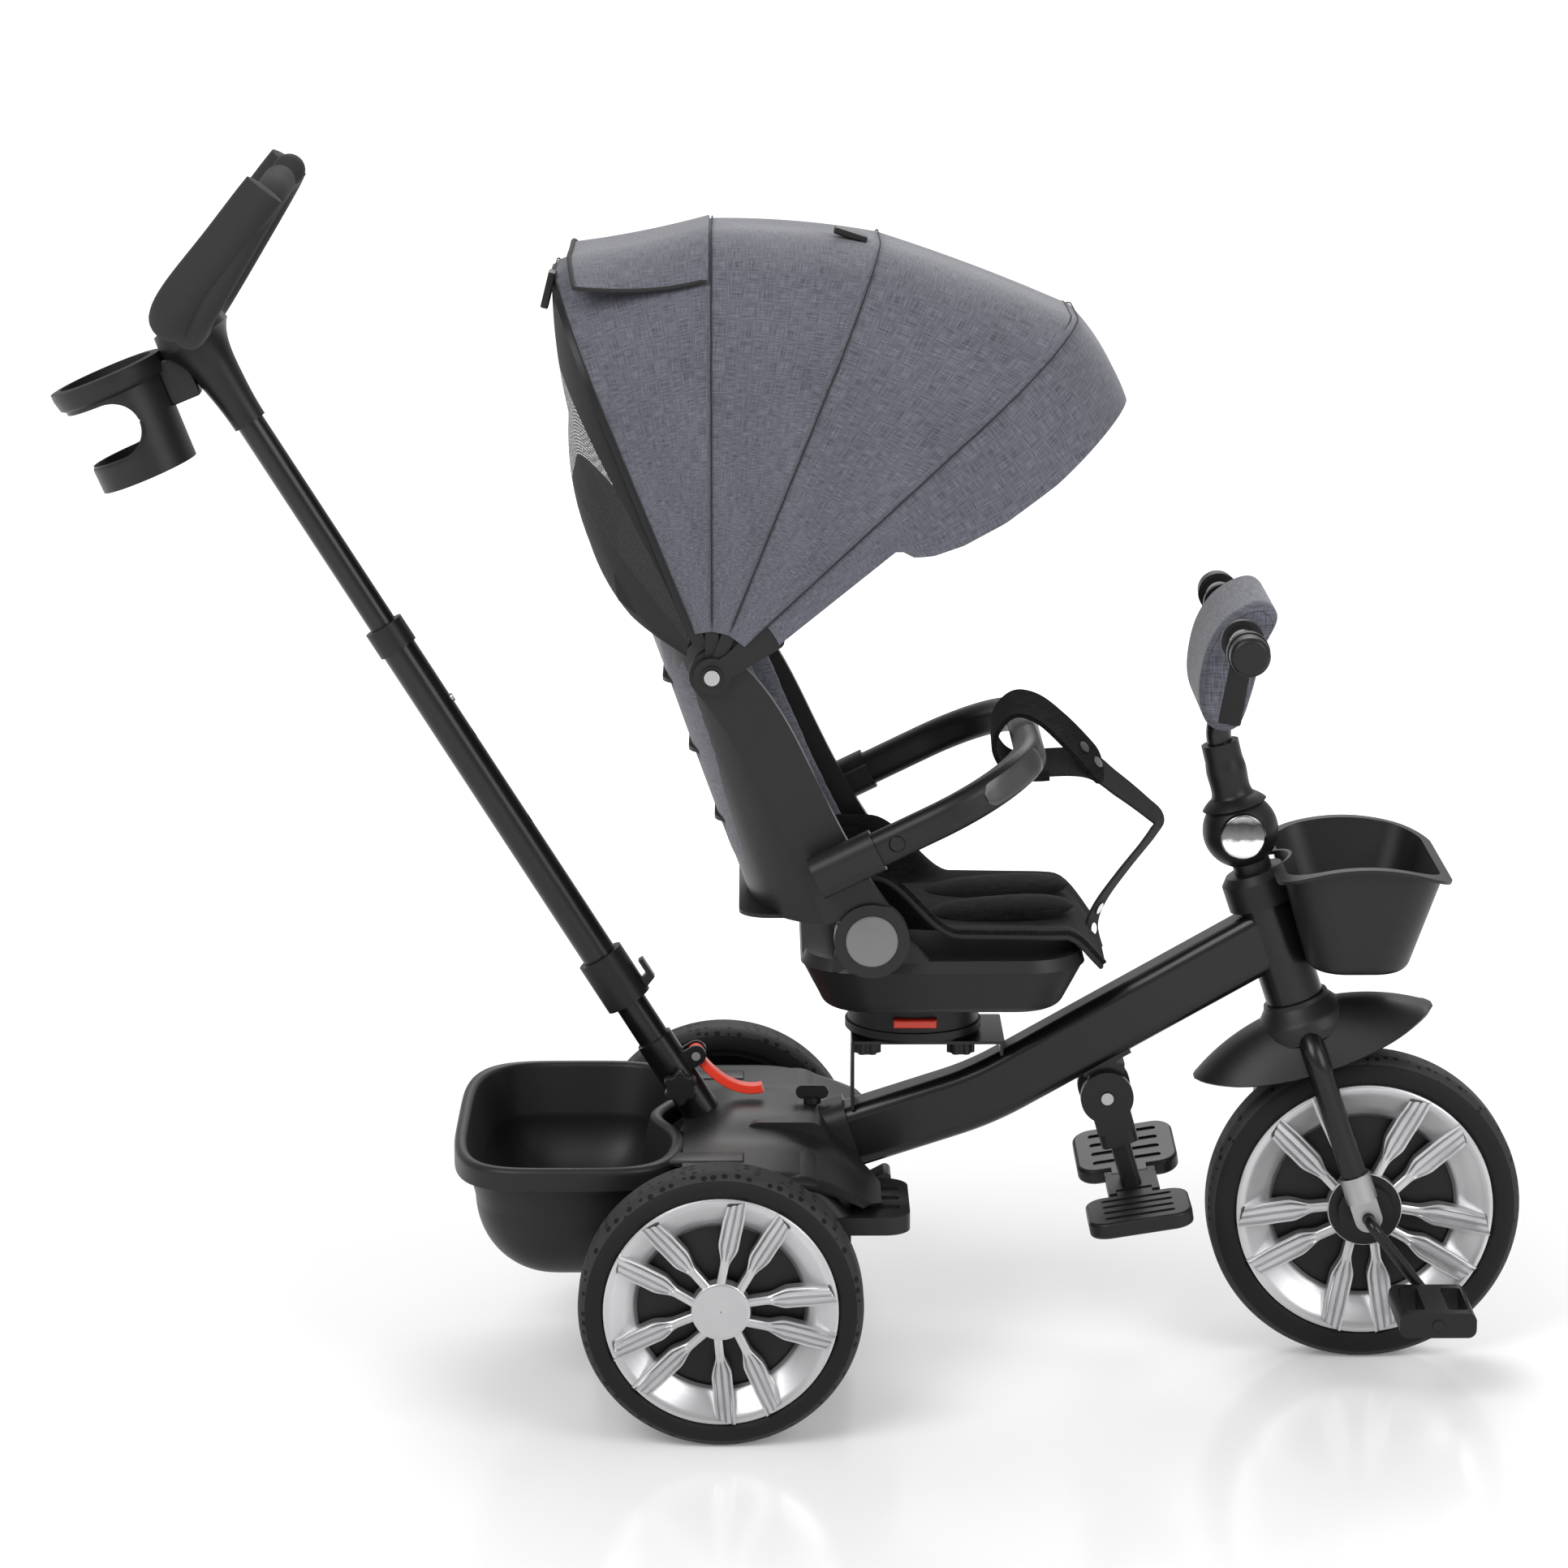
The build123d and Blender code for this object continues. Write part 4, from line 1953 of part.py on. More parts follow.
def build_plate(side, roll):
    """One foot plate with its hinge barrel."""
    plane = plate_plane(side, roll)
    with BuildPart() as plate:
        with BuildSketch(plane.offset(-plate_thick / 2)):
            with Locations((0, side * (plate_depth / 2 + barrel_r + clear_gap))):
                RectangleRounded(plate_length, plate_depth, plate_corner_r)
        extrude(amount=plate_thick)
        fillet(plate.faces().filter_by(Plane(origin=(0, 0, 0), z_dir=plane.z_dir)).edges(), plate_edge_r)
        with BuildSketch(plane.offset(-plate_thick / 2)):
            with Locations((0, side * 1.5 * barrel_r)):
                Rectangle(2 * barrel_half_length, 3 * barrel_r)
        extrude(amount=plate_thick)
        add(barrel(side, barrel_r, -barrel_half_length, barrel_half_length))
        with BuildSketch(plane.offset(plate_thick / 2)):
            with Locations((0, side * (plate_depth / 2 + barrel_r))):
                with GridLocations(0, tread_pitch, 1, tread_rows):
                    SlotOverall(tread_share * plate_length, tread_width)
        extrude(amount=-tread_depth, mode=Mode.SUBTRACT)
        add(barrel(side, plate_pin_d / 2 + run_gap, -barrel_half_length - 1, barrel_half_length + 1),
            mode=Mode.SUBTRACT)
    return plate


save(build_plate(-1, 0), "footplate_right")
save(build_plate(1, plate_roll), "footplate_left")

with BuildPart() as footrest_arm:
    for side in (-1, 1):
        with BuildSketch(side_plane(side * (foot_lug_half + clear_gap))):
            with Locations((foot_x, foot_z)):
                Circle(foot_disc_d / 2)
        extrude(amount=-side * foot_disc_thick)
    with BuildSketch(side_plane(0)):
        with Locations((foot_x, foot_z)):
            Circle(foot_bolt_d / 2)
    extrude(amount=foot_lug_half + foot_disc_thick, both=True)
    foot_plane = Plane(origin=(foot_x, 0, foot_z), x_dir=(0, 1, 0), z_dir=-leaning(foot_lean))
    with BuildSketch(foot_plane.offset(foot_disc_d / 2 + 2)):
        RectangleRounded(2 * (foot_lug_half + foot_disc_thick), 30, 8)
    extrude(amount=18)
    for side in (-1, 1):
        with BuildSketch(foot_plane):
            with Locations((side * (foot_lug_half + clear_gap + foot_disc_thick / 2), 0)):
                Rectangle(foot_disc_thick, 30)
        extrude(amount=foot_disc_d / 2 + 8)
    with BuildSketch(foot_plane.offset(foot_disc_d / 2)):
        RectangleRounded(2 * foot_tube_d, foot_tube_d, 5)
    extrude(amount=foot_drop - foot_disc_d / 2)
    # Foot block with ears and pins for the plates
    inner_half = plate_inner_y - barrel_r - clear_gap
    ear_start = barrel_half_length + clear_gap
    with BuildSketch(Plane(origin=foot_end, x_dir=plate_dir, z_dir=plate_up).offset(-barrel_r)):
        RectangleRounded(2 * (ear_start + hinge_ear), 2 * inner_half, 6)
    extrude(amount=plate_thick)
    for side in (-1, 1):
        for start in (-ear_start - hinge_ear, ear_start):
            with BuildSketch(Plane(origin=foot_end, x_dir=plate_dir, z_dir=plate_up).offset(-barrel_r)):
                with Locations((start + hinge_ear / 2, side * (inner_half + plate_inner_y) / 2)):
                    Rectangle(hinge_ear, plate_inner_y - inner_half + 4)
            extrude(amount=plate_thick)
        add(barrel(side, plate_pin_d / 2, -ear_start - 1, ear_start + 1))
save(footrest_arm, "footrest_arm")
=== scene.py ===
"""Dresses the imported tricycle: finishes for its hard nodes, and its soft goods as new pieces."""
import json
import logging
import math
from dataclasses import dataclass
from enum import Enum
from typing import Any, Callable, Optional, Sequence

import bpy
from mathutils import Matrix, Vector


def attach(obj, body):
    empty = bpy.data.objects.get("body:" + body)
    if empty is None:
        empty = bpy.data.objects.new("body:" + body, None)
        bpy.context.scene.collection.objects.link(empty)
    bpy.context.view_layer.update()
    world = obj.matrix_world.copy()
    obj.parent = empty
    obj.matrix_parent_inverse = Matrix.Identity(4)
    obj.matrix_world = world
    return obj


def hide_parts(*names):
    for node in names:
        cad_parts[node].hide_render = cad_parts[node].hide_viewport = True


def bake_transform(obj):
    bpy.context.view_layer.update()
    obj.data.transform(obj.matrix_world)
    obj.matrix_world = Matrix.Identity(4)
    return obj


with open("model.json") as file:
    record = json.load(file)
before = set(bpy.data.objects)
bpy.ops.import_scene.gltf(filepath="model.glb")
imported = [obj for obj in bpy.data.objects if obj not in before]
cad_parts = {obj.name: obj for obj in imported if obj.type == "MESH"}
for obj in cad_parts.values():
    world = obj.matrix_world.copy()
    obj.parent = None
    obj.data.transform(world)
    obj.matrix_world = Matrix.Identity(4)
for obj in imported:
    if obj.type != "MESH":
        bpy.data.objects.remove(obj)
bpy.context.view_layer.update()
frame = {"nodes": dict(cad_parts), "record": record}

log = logging.getLogger("tricycle")
Color = tuple[float, float, float, float]
Mapping = Callable[[float, float], Vector]
Path = Callable[[float], Vector]
MM = 0.001


class Side(Enum):
    """The two sides of the rider."""

    RIGHT = -1
    LEFT = 1

    @property
    def tag(self) -> str:
        """The side's word in a piece's name."""
        return self.name.lower()


class Wire:
    """One output of a node, with arithmetic that adds Math nodes."""

    def __init__(self, shader: "Shader", socket: Any) -> None:
        """Keeps the shader and its socket."""
        self.shader = shader
        self.socket = socket

    def _math(self, operation: str, first: Any, second: Any) -> "Wire":
        """Adds one Math node."""
        return self.shader.node("ShaderNodeMath", {"operation": operation}, {0: first, 1: second})

    def __add__(self, other: Any) -> "Wire":
        """Sum."""
        return self._math("ADD", self, other)

    __radd__ = __add__

    def __mul__(self, other: Any) -> "Wire":
        """Product."""
        return self._math("MULTIPLY", self, other)

    __rmul__ = __mul__

    def __sub__(self, other: Any) -> "Wire":
        """Difference."""
        return self._math("SUBTRACT", self, other)

    def __rsub__(self, other: Any) -> "Wire":
        """Difference with the wire second."""
        return self._math("SUBTRACT", other, self)

    def __gt__(self, other: Any) -> "Wire":
        """One where the wire is greater."""
        return self._math("GREATER_THAN", self, other)

    def __lt__(self, other: Any) -> "Wire":
        """One where the wire is less."""
        return self._math("LESS_THAN", self, other)

    def high(self, other: Any) -> "Wire":
        """The greater of two values."""
        return self._math("MAXIMUM", self, other)


class Shader:
    """A material's node tree and the few calls that fill it."""

    def __init__(self, name: str) -> None:
        """Starts a material with a principled shader.

        Args:
            name: the material's name.
        """
        self.material = bpy.data.materials.new(name)
        self.material.use_nodes = True
        self.tree = self.material.node_tree
        self.principled = self.tree.nodes["Principled BSDF"]

    def node(self, kind: str, settings: Optional[dict] = None, sockets: Optional[dict] = None,
             output: Any = 0) -> Wire:
        """Adds a node.

        Args:
            kind: the node's type.
            settings: attributes that are set first; "stops" fills a colour ramp.
            sockets: values or wires by input name or number.
            output: the output that is returned.

        Returns:
            The output as a wire.
        """
        made = self.tree.nodes.new(kind)
        for key, value in (settings or {}).items():
            if key == "stops":
                ramp = made.color_ramp
                while len(ramp.elements) < len(value):
                    ramp.elements.new(0.5)
                for element, (place, color) in zip(ramp.elements, value):
                    element.position = place
                    element.color = color
            else:
                setattr(made, key, value)
        for key, value in (sockets or {}).items():
            if isinstance(value, Wire):
                self.tree.links.new(value.socket, made.inputs[key])
            else:
                made.inputs[key].default_value = value
        return Wire(self, made.outputs[output])

    def place(self, uv: bool = False) -> Wire:
        """Coordinates in metres, of the object or of its own UV map."""
        return self.node("ShaderNodeTexCoord", output="UV" if uv else "Object")

    def stretched(self, vector: Wire, scale: Sequence[float]) -> Wire:
        """Coordinates with a scale for each axis."""
        return self.node("ShaderNodeMapping", {}, {"Vector": vector, "Scale": tuple(scale)})

    def noise(self, vector: Wire, scale: float, detail: float = 3.0) -> Wire:
        """Noise from 0 to 1."""
        return self.node("ShaderNodeTexNoise", {}, {"Vector": vector, "Scale": scale, "Detail": detail})

    def cells(self, vector: Wire, scale: float) -> Wire:
        """Distance to the nearest of scattered points."""
        sockets = {"Vector": vector, "Scale": scale, "Randomness": 0.35}
        return self.node("ShaderNodeTexVoronoi", {}, sockets, "Distance")

    def wave(self, vector: Wire, scale: float, axis: str) -> Wire:
        """Even ribs across one axis."""
        settings = {"wave_type": "BANDS", "bands_direction": axis}
        return self.node("ShaderNodeTexWave", settings, {"Vector": vector, "Scale": scale}, "Fac")

    def ramp(self, factor: Wire, stops: Sequence[tuple[float, Color]]) -> Wire:
        """Colour ramp over a factor."""
        return self.node("ShaderNodeValToRGB", {"stops": stops}, {"Fac": factor})

    def axes(self, vector: Wire) -> list[Wire]:
        """The three parts of a vector."""
        first = self.node("ShaderNodeSeparateXYZ", {}, {"Vector": vector})
        return [Wire(self, socket) for socket in first.socket.node.outputs]

    def link(self, name: str, value: Any) -> None:
        """Feeds one input of the principled shader, by a wire or a plain value.

        Args:
            name: the input's name.
            value: the wire or the value.
        """
        if isinstance(value, Wire):
            self.tree.links.new(value.socket, self.principled.inputs[name])
        else:
            self.principled.inputs[name].default_value = value

    def bump(self, height: Wire, depth: float, strength: float = 1.0) -> None:
        """Feeds the normal from a height.

        Args:
            height: values from 0 to 1.
            depth: the height of 1, in metres.
            strength: share of the effect.
        """
        sockets = {"Height": height, "Distance": depth, "Strength": strength}
        self.link("Normal", self.node("ShaderNodeBump", {}, sockets, "Normal"))


def grey(level: float, blue: float = 1.0) -> Color:
    """A neutral colour with a little more or less blue."""
    return (level, level, level * blue, 1.0)


@dataclass(frozen=True)
class Finish:
    """Base of the finishes: a name and a way to make the material."""

    name: str

    def make(self) -> bpy.types.Material:
        """Makes the material once and then hands out the same one."""
        known = bpy.data.materials.get(self.name)
        return known or self.fill(Shader(self.name)).material

    def fill(self, shader: Shader) -> Shader:
        """Fills the node tree."""
        return shader


@dataclass(frozen=True)
class Moulded(Finish):
    """Moulded plastic or powder coat: fine grain, faint clouds and scuffs."""

    base: Color = grey(0.02)
    rough: float = 0.5
    grain: float = 1500.0
    depth: float = 0.00004
    coat: float = 0.0
    metal: float = 0.0
    gloss: float = 0.3

    def fill(self, shader: Shader) -> Shader:
        """Fills the node tree.

        Args:
            shader: the shader to fill.

        Returns:
            The same shader.
        """
        at = shader.place()
        cloud = shader.noise(at, 9.0, 4.0)
        speck = shader.noise(at, self.grain, 2.0)
        scuff = shader.noise(shader.stretched(at, (40, 260, 90)), 3.0, 6.0)
        dark = tuple(0.82 * c for c in self.base[:3]) + (1.0,)
        light = tuple(min(1.0, 1.2 * c) for c in self.base[:3]) + (1.0,)
        shader.link("Base Color", shader.ramp(0.7 * cloud + 0.3 * speck, [(0.3, dark), (0.7, light)]))
        shader.link("Roughness", self.rough - 0.08 + 0.12 * cloud + 0.06 * scuff)
        shader.link("Metallic", self.metal)
        shader.link("Specular IOR Level", self.gloss)
        shader.link("Coat Weight", self.coat)
        shader.link("Coat Roughness", 0.18)
        shader.bump(speck, self.depth)
        return shader


@dataclass(frozen=True)
class Metal(Finish):
    """Plated or polished metal with a fine draw."""

    base: Color = grey(0.62)
    rough: float = 0.25
    draw: float = 0.08

    def fill(self, shader: Shader) -> Shader:
        """Fills the node tree.

        Args:
            shader: the shader to fill.

        Returns:
            The same shader.
        """
        at = shader.place()
        lines = shader.noise(shader.stretched(at, (60, 60, 900)), 4.0, 4.0)
        cloud = shader.noise(at, 30.0, 3.0)
        dull = tuple(0.86 * c for c in self.base[:3]) + (1.0,)
        shader.link("Base Color", shader.ramp(cloud, [(0.35, dull), (0.65, self.base)]))
        shader.link("Metallic", 1.0)
        shader.link("Roughness", self.rough + self.draw * lines)
        return shader


@dataclass(frozen=True)
class Mirror(Metal):
    """Polished plate with a painted reflection: a dark room over a pale floor, painted in by its own height.
    """

    foot: float = 0.414
    tall: float = 0.034

    def fill(self, shader: Shader) -> Shader:
        """Fills the node tree with the painted reflection.

        Args:
            shader: the shader to fill.

        Returns:
            The same shader.
        """
        at = shader.place()
        _, _, height = shader.axes(at)
        # Painted reflection: the base colour runs by height from a pale floor to a dark room, standing in for
        # what the chrome reflects.
        share = (height - self.foot) * (1.0 / self.tall) + 0.16 * shader.noise(at, 160.0, 3.0) - 0.08
        stops = [(0.0, grey(0.5)), (0.34, self.base), (0.46, grey(0.16)), (0.8, grey(0.035)),
                 (1.0, grey(0.4))]
        shader.link("Base Color", shader.ramp(share, stops))
        shader.link("Metallic", 1.0)
        shader.link("Roughness", self.rough)
        return shader


@dataclass(frozen=True)
class FoamTyre(Finish):
    """Foam rubber with small round dimples painted darker as shade, and a dusty bloom."""

    axle: tuple[float, float] = (0.0, 0.0)
    tread_r: float = 0.1
    base: Color = grey(0.008)

    def fill(self, shader: Shader) -> Shader:
        """Fills the node tree: dimples on the tread alone, told by the distance from the axle.

        Args:
            shader: the shader to fill.

        Returns:
            The same shader.
        """
        at = shader.place()
        forward, _, up = shader.axes(at)
        run, rise = forward - self.axle[0], up - self.axle[1]
        tread = run * run + rise * rise > self.tread_r ** 2
        pit_and_shade = (shader.cells(at, 122.0) < 0.3) * tread
        dust = shader.noise(at, 55.0, 5.0)
        pores = shader.noise(at, 1800.0, 2.0)
        # Painted shade: the dimples are painted darker, as shade in their recesses; the dust noise is a real
        # dusty bloom, and the tread is lighter than the sides.
        tone = 0.2 + 0.25 * dust + 0.45 * tread - 0.75 * pit_and_shade
        stops = [(0.05, grey(0.0015)), (0.4, self.base), (0.85, grey(0.034))]
        shader.link("Base Color", shader.ramp(tone, stops))
        shader.link("Roughness", 0.6 + 0.14 * dust)
        shader.link("Specular IOR Level", 0.25)
        shader.bump(0.1 * pores - pit_and_shade, 0.0009, 0.6)
        return shader


@dataclass(frozen=True)
class Melange(Finish):
    """Woven cloth of mixed light and dark yarns."""

    dark: Color = (0.026, 0.027, 0.036, 1.0)
    light: Color = (0.185, 0.190, 0.226, 1.0)
    uv: bool = True
    pitch: float = 900.0
    run: float = 45.0
    sheen: float = 0.25

    def fill(self, shader: Shader) -> Shader:
        """Fills the node tree.

        Args:
            shader: the shader to fill.

        Returns:
            The same shader.
        """
        at = shader.place(self.uv)
        warp_scale = (self.pitch, self.run, 1.0) if self.uv else (self.pitch, self.pitch, self.run)
        weft_scale = (self.run, self.pitch, 1.0) if self.uv else (self.run, self.run, self.pitch)
        warp = shader.noise(shader.stretched(at, warp_scale), 1.6, 2.0)
        weft = shader.noise(shader.stretched(at, weft_scale), 1.6, 2.0)
        slub = shader.noise(at, 14.0, 4.0)
        tone = 0.44 * warp + 0.44 * weft + 0.12 * slub
        mid = tuple(0.55 * a + 0.45 * b for a, b in zip(self.dark, self.light))
        shader.link("Base Color", shader.ramp(tone, [(0.32, self.dark), (0.5, mid), (0.70, self.light)]))
        shader.link("Roughness", 0.86)
        shader.link("Sheen Weight", self.sheen)
        shader.link("Specular IOR Level", 0.8 * self.sheen)
        shader.link("Sheen Roughness", 0.5)
        shader.bump(0.5 * warp + 0.5 * weft, 0.0003, 0.7)
        return shader


@dataclass(frozen=True)
class Webbing(Finish):
    """Ribbed black webbing or piping."""

    base: Color = grey(0.006)
    ribs: float = 260.0

    def fill(self, shader: Shader) -> Shader:
        """Fills the node tree.

        Args:
            shader: the shader to fill.

        Returns:
            The same shader.
        """
        at = shader.place(True)
        rib = shader.wave(at, self.ribs, "Y")
        yarn = shader.noise(at, 900.0, 2.0)
        shade = tuple(2.1 * c for c in self.base[:3]) + (1.0,)
        shader.link("Base Color", shader.ramp(0.6 * rib + 0.4 * yarn, [(0.3, self.base), (0.8, shade)]))
        shader.link("Roughness", 0.72 + 0.1 * yarn)
        shader.bump(0.7 * rib + 0.3 * yarn, 0.0003, 0.6)
        return shader


@dataclass(frozen=True)
class Netting(Finish):
    """Open black mesh: holes in even rows."""

    base: Color = grey(0.02)
    pitch: float = 420.0

    def fill(self, shader: Shader) -> Shader:
        """Fills the node tree.

        Args:
            shader: the shader to fill.

        Returns:
            The same shader.
        """
        at = shader.place(True)
        along, across, _ = shader.axes(shader.stretched(at, (self.pitch, self.pitch, 1.0)))
        first = shader.node("ShaderNodeMath", {"operation": "PINGPONG"}, {0: along, 1: 0.5})
        second = shader.node("ShaderNodeMath", {"operation": "PINGPONG"}, {0: across, 1: 0.5})
        thread = (first < 0.17).high(second < 0.17)
        shader.link("Base Color", shader.ramp(shader.noise(at, 300.0), [(0.3, self.base), (0.7, grey(0.05))]))
        shader.link("Alpha", thread)
        shader.link("Roughness", 0.7)
        return shader


BLACK_PLASTIC = Moulded("black_moulding", grey(0.008, 1.05), 0.40, 1300.0, 0.00005)
SHELL_PLASTIC = Moulded("shell_moulding", grey(0.0105, 1.05), 0.42, 1000.0, 0.00007)
BLACK_PAINT = Moulded("black_powder_coat", grey(0.0055), 0.28, 700.0, 0.00003, 0.1)
SILVER = Moulded("silver_paint", grey(0.51, 1.02), 0.30, 2400.0, 0.00001, 0.2, 0.82, 0.5)
INLAY = Moulded("grey_inlay", grey(0.05), 0.28, 1500.0, 0.00002, 0.3)
GREY_BUTTON = Moulded("grey_button", grey(0.15), 0.40, 1500.0, 0.00004)
RED = Moulded("red_moulding", (0.80, 0.045, 0.018, 1.0), 0.32, 1500.0, 0.00002, 0.2, 0.0, 0.5)
GRIP = Moulded("grip_foam", grey(0.0035), 0.8, 1900.0, 0.00018, 0.0, 0.0, 0.015)
# Chrome whose reflection is painted into its colour by height.
CHROME = Mirror("polished_chrome", grey(0.86), 0.05)
ZINC = Metal("zinc_plate", grey(0.40), 0.3, 0.12)
NICKEL = Metal("nickel_snap", grey(0.82), 0.16, 0.05)
REAR_TYRE = FoamTyre("rear_foam_tyre", (-0.06, 0.109), 0.1035)
FRONT_TYRE = FoamTyre("front_foam_tyre", (0.453, 0.125), 0.1195)
GREY_CLOTH = Melange("grey_melange")
GREY_PAD = Melange("grey_melange_pad", uv=False)
BLACK_PAD = Melange("black_seat_cloth", grey(0.003), grey(0.017, 1.1), False, 480.0, 45.0, 0.05)
BINDING = Webbing("black_binding")
NET = Netting("rear_netting")


class Bench:
    """The few modelling moves that every piece shares."""

    @staticmethod
    def clear() -> None:
        """Leaves object mode with nothing selected."""
        if bpy.context.object and bpy.context.object.mode != "OBJECT":
            bpy.ops.object.mode_set(mode="OBJECT")
        bpy.ops.object.select_all(action="DESELECT")

    @staticmethod
    def only(obj: bpy.types.Object) -> None:
        """Selects one object and makes it active.

        Args:
            obj: the object.
        """
        Bench.clear()
        obj.select_set(True)
        bpy.context.view_layer.objects.active = obj

    @staticmethod
    def apply(obj: bpy.types.Object, kind: str, **settings: Any) -> None:
        """Adds a modifier, sets it and applies it.

        Args:
            obj: the piece.
            kind: the modifier's type.
            settings: its values.
        """
        Bench.only(obj)
        modifier = obj.modifiers.new(kind.lower(), kind)
        for key, value in settings.items():
            setattr(modifier, key, value)
        bpy.ops.object.modifier_apply(modifier=modifier.name)

    @staticmethod
    def smooth(obj: bpy.types.Object, angle: float = 40.0) -> None:
        """Smooth shading with sharp edges past an angle in degrees."""
        Bench.only(obj)
        bpy.ops.object.shade_smooth_by_angle(angle=math.radians(angle))

    @staticmethod
    def tidy(obj: bpy.types.Object) -> None:
        """Merges doubles and turns the faces outwards.

        Args:
            obj: the piece.
        """
        Bench.only(obj)
        bpy.ops.object.mode_set(mode="EDIT")
        bpy.ops.mesh.select_all(action="SELECT")
        bpy.ops.mesh.remove_doubles(threshold=0.00002)
        bpy.ops.mesh.normals_make_consistent(inside=False)
        bpy.ops.object.mode_set(mode="OBJECT")

    @staticmethod
    def sheet(name: str, along: int, across: int, mapping: Mapping, flat: tuple[float, float],
              thick: float = 0.0, side: float = 0.0) -> bpy.types.Object:
        """A grid laid over a surface.

        Args:
            name: the piece's name.
            along: steps in the first direction.
            across: steps in the second.
            mapping: place of a point from two shares from 0 to 1.
            flat: the cut size, which scales the UV map to metres.
            thick: wall added at the end; none leaves an open sheet.
            side: the wall's side, from -1 to 1.

        Returns:
            The piece.
        """
        Bench.clear()
        bpy.ops.mesh.primitive_grid_add(x_subdivisions=along, y_subdivisions=across, size=2.0, calc_uvs=True)
        obj = bpy.context.object
        obj.name = name
        obj.data.name = name
        for uv in obj.data.uv_layers[0].data:
            uv.uv = (uv.uv[0] * flat[0], uv.uv[1] * flat[1])
        for vertex in obj.data.vertices:
            vertex.co = mapping(0.5 * (vertex.co.x + 1.0), 0.5 * (vertex.co.y + 1.0))
        if thick:
            Bench.apply(obj, "SOLIDIFY", thickness=thick, offset=side, use_even_offset=False)
        Bench.smooth(obj, 60.0)
        return obj

    @staticmethod
    def tube(name: str, path: Path, radius: float, steps: int, width: float = 0.0) -> bpy.types.Object:
        """A round or oval rim swept along a path, with closed ends.

        Args:
            name: the piece's name.
            path: the centre line, from 0 to 1.
            radius: half its height.
            steps: steps along the path.
            width: half its width across, where it isn't round.

        Returns:
            The piece.
        """
        wide = width or radius

        def around(u: float, v: float) -> Vector:
            """Point on the tube's skin.

            Args:
                u: share of the way along the path.
                v: share of the way round.

            Returns:
                The point.
            """
            step = 0.5 / steps
            run = (path(min(1.0, u + step)) - path(max(0.0, u - step))).normalized()
            across = run.cross(Vector((0.0, 0.0, 1.0)))
            if across.length < 0.05:
                across = Vector((0.0, 1.0, 0.0))
            across.normalize()
            up = across.cross(run)
            cap = min(1.0, min(u, 1.0 - u) * steps + 0.02)
            turn = 2.0 * math.pi * v
            return path(u) + cap * (across * (wide * math.cos(turn)) + up * (radius * math.sin(turn)))

        obj = Bench.sheet(name, steps, 10, around, (1.0, 0.02))
        Bench.tidy(obj)
        Bench.smooth(obj, 60.0)
        return obj

    @staticmethod
    def area(obj: bpy.types.Object) -> float:
        """Area of a single sheet's faces."""
        return sum(face.area for face in obj.data.polygons)

    @staticmethod
    def copy_node(node: str, name: str) -> bpy.types.Object:
        """A free copy of a node's mesh, merged so that it can be reshaped.

        Args:
            node: the node's name.
            name: the copy's name.

        Returns:
            The copy.
        """
        Bench.clear()
        source = frame["nodes"][node]
        obj = bpy.data.objects.new(name, source.data.copy())
        bpy.context.scene.collection.objects.link(obj)
        obj.data.materials.clear()
        Bench.tidy(obj)
        return obj

    @staticmethod
    def join(name: str, pieces: Sequence[bpy.types.Object], angle: float = 45.0) -> bpy.types.Object:
        """Joins pieces into one object, merges doubles and shades it.

        Args:
            name: the joined piece's name.
            pieces: the pieces; the first takes in the others.
            angle: where edges turn sharp, in degrees.

        Returns:
            The joined piece.
        """
        Bench.clear()
        for piece in pieces:
            piece.select_set(True)
        bpy.context.view_layer.objects.active = pieces[0]
        bpy.ops.object.join()
        pieces[0].name = name
        pieces[0].data.name = name
        Bench.tidy(pieces[0])
        Bench.smooth(pieces[0], angle)
        return pieces[0]

    @staticmethod
    def block(name: str, centre: Vector, half: Sequence[float], tilt: float,
              bevel: float) -> bpy.types.Object:
        """A bevelled box.

        Args:
            name: the piece's name.
            centre: its middle.
            half: half its three sizes.
            tilt: its turn about the side axis, in degrees.
            bevel: width of its rounded edges.

        Returns:
            The piece.
        """
        Bench.clear()
        bpy.ops.mesh.primitive_cube_add(size=2.0, location=centre)
        obj = bpy.context.object
        obj.name = name
        obj.scale = half
        obj.rotation_euler = (0.0, math.radians(tilt), 0.0)
        bpy.ops.object.transform_apply(location=True, rotation=True, scale=True)
        Bench.apply(obj, "BEVEL", width=bevel, segments=3)
        Bench.smooth(obj, 40.0)
        return obj

    @staticmethod
    def dress(obj: bpy.types.Object, finish: Finish, body: str, slot: str) -> bpy.types.Object:
        """Gives a new piece its finish and the body that carries it.

        Args:
            obj: the piece.
            finish: its finish.
            body: the body that carries it.
            slot: its material slot, which is not used.

        Returns:
            The same piece.
        """
        obj.data.materials.clear()
        obj.data.materials.append(finish.make())
        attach(obj, body)
        log.info("piece %s on %s", obj.name, body)
        return obj

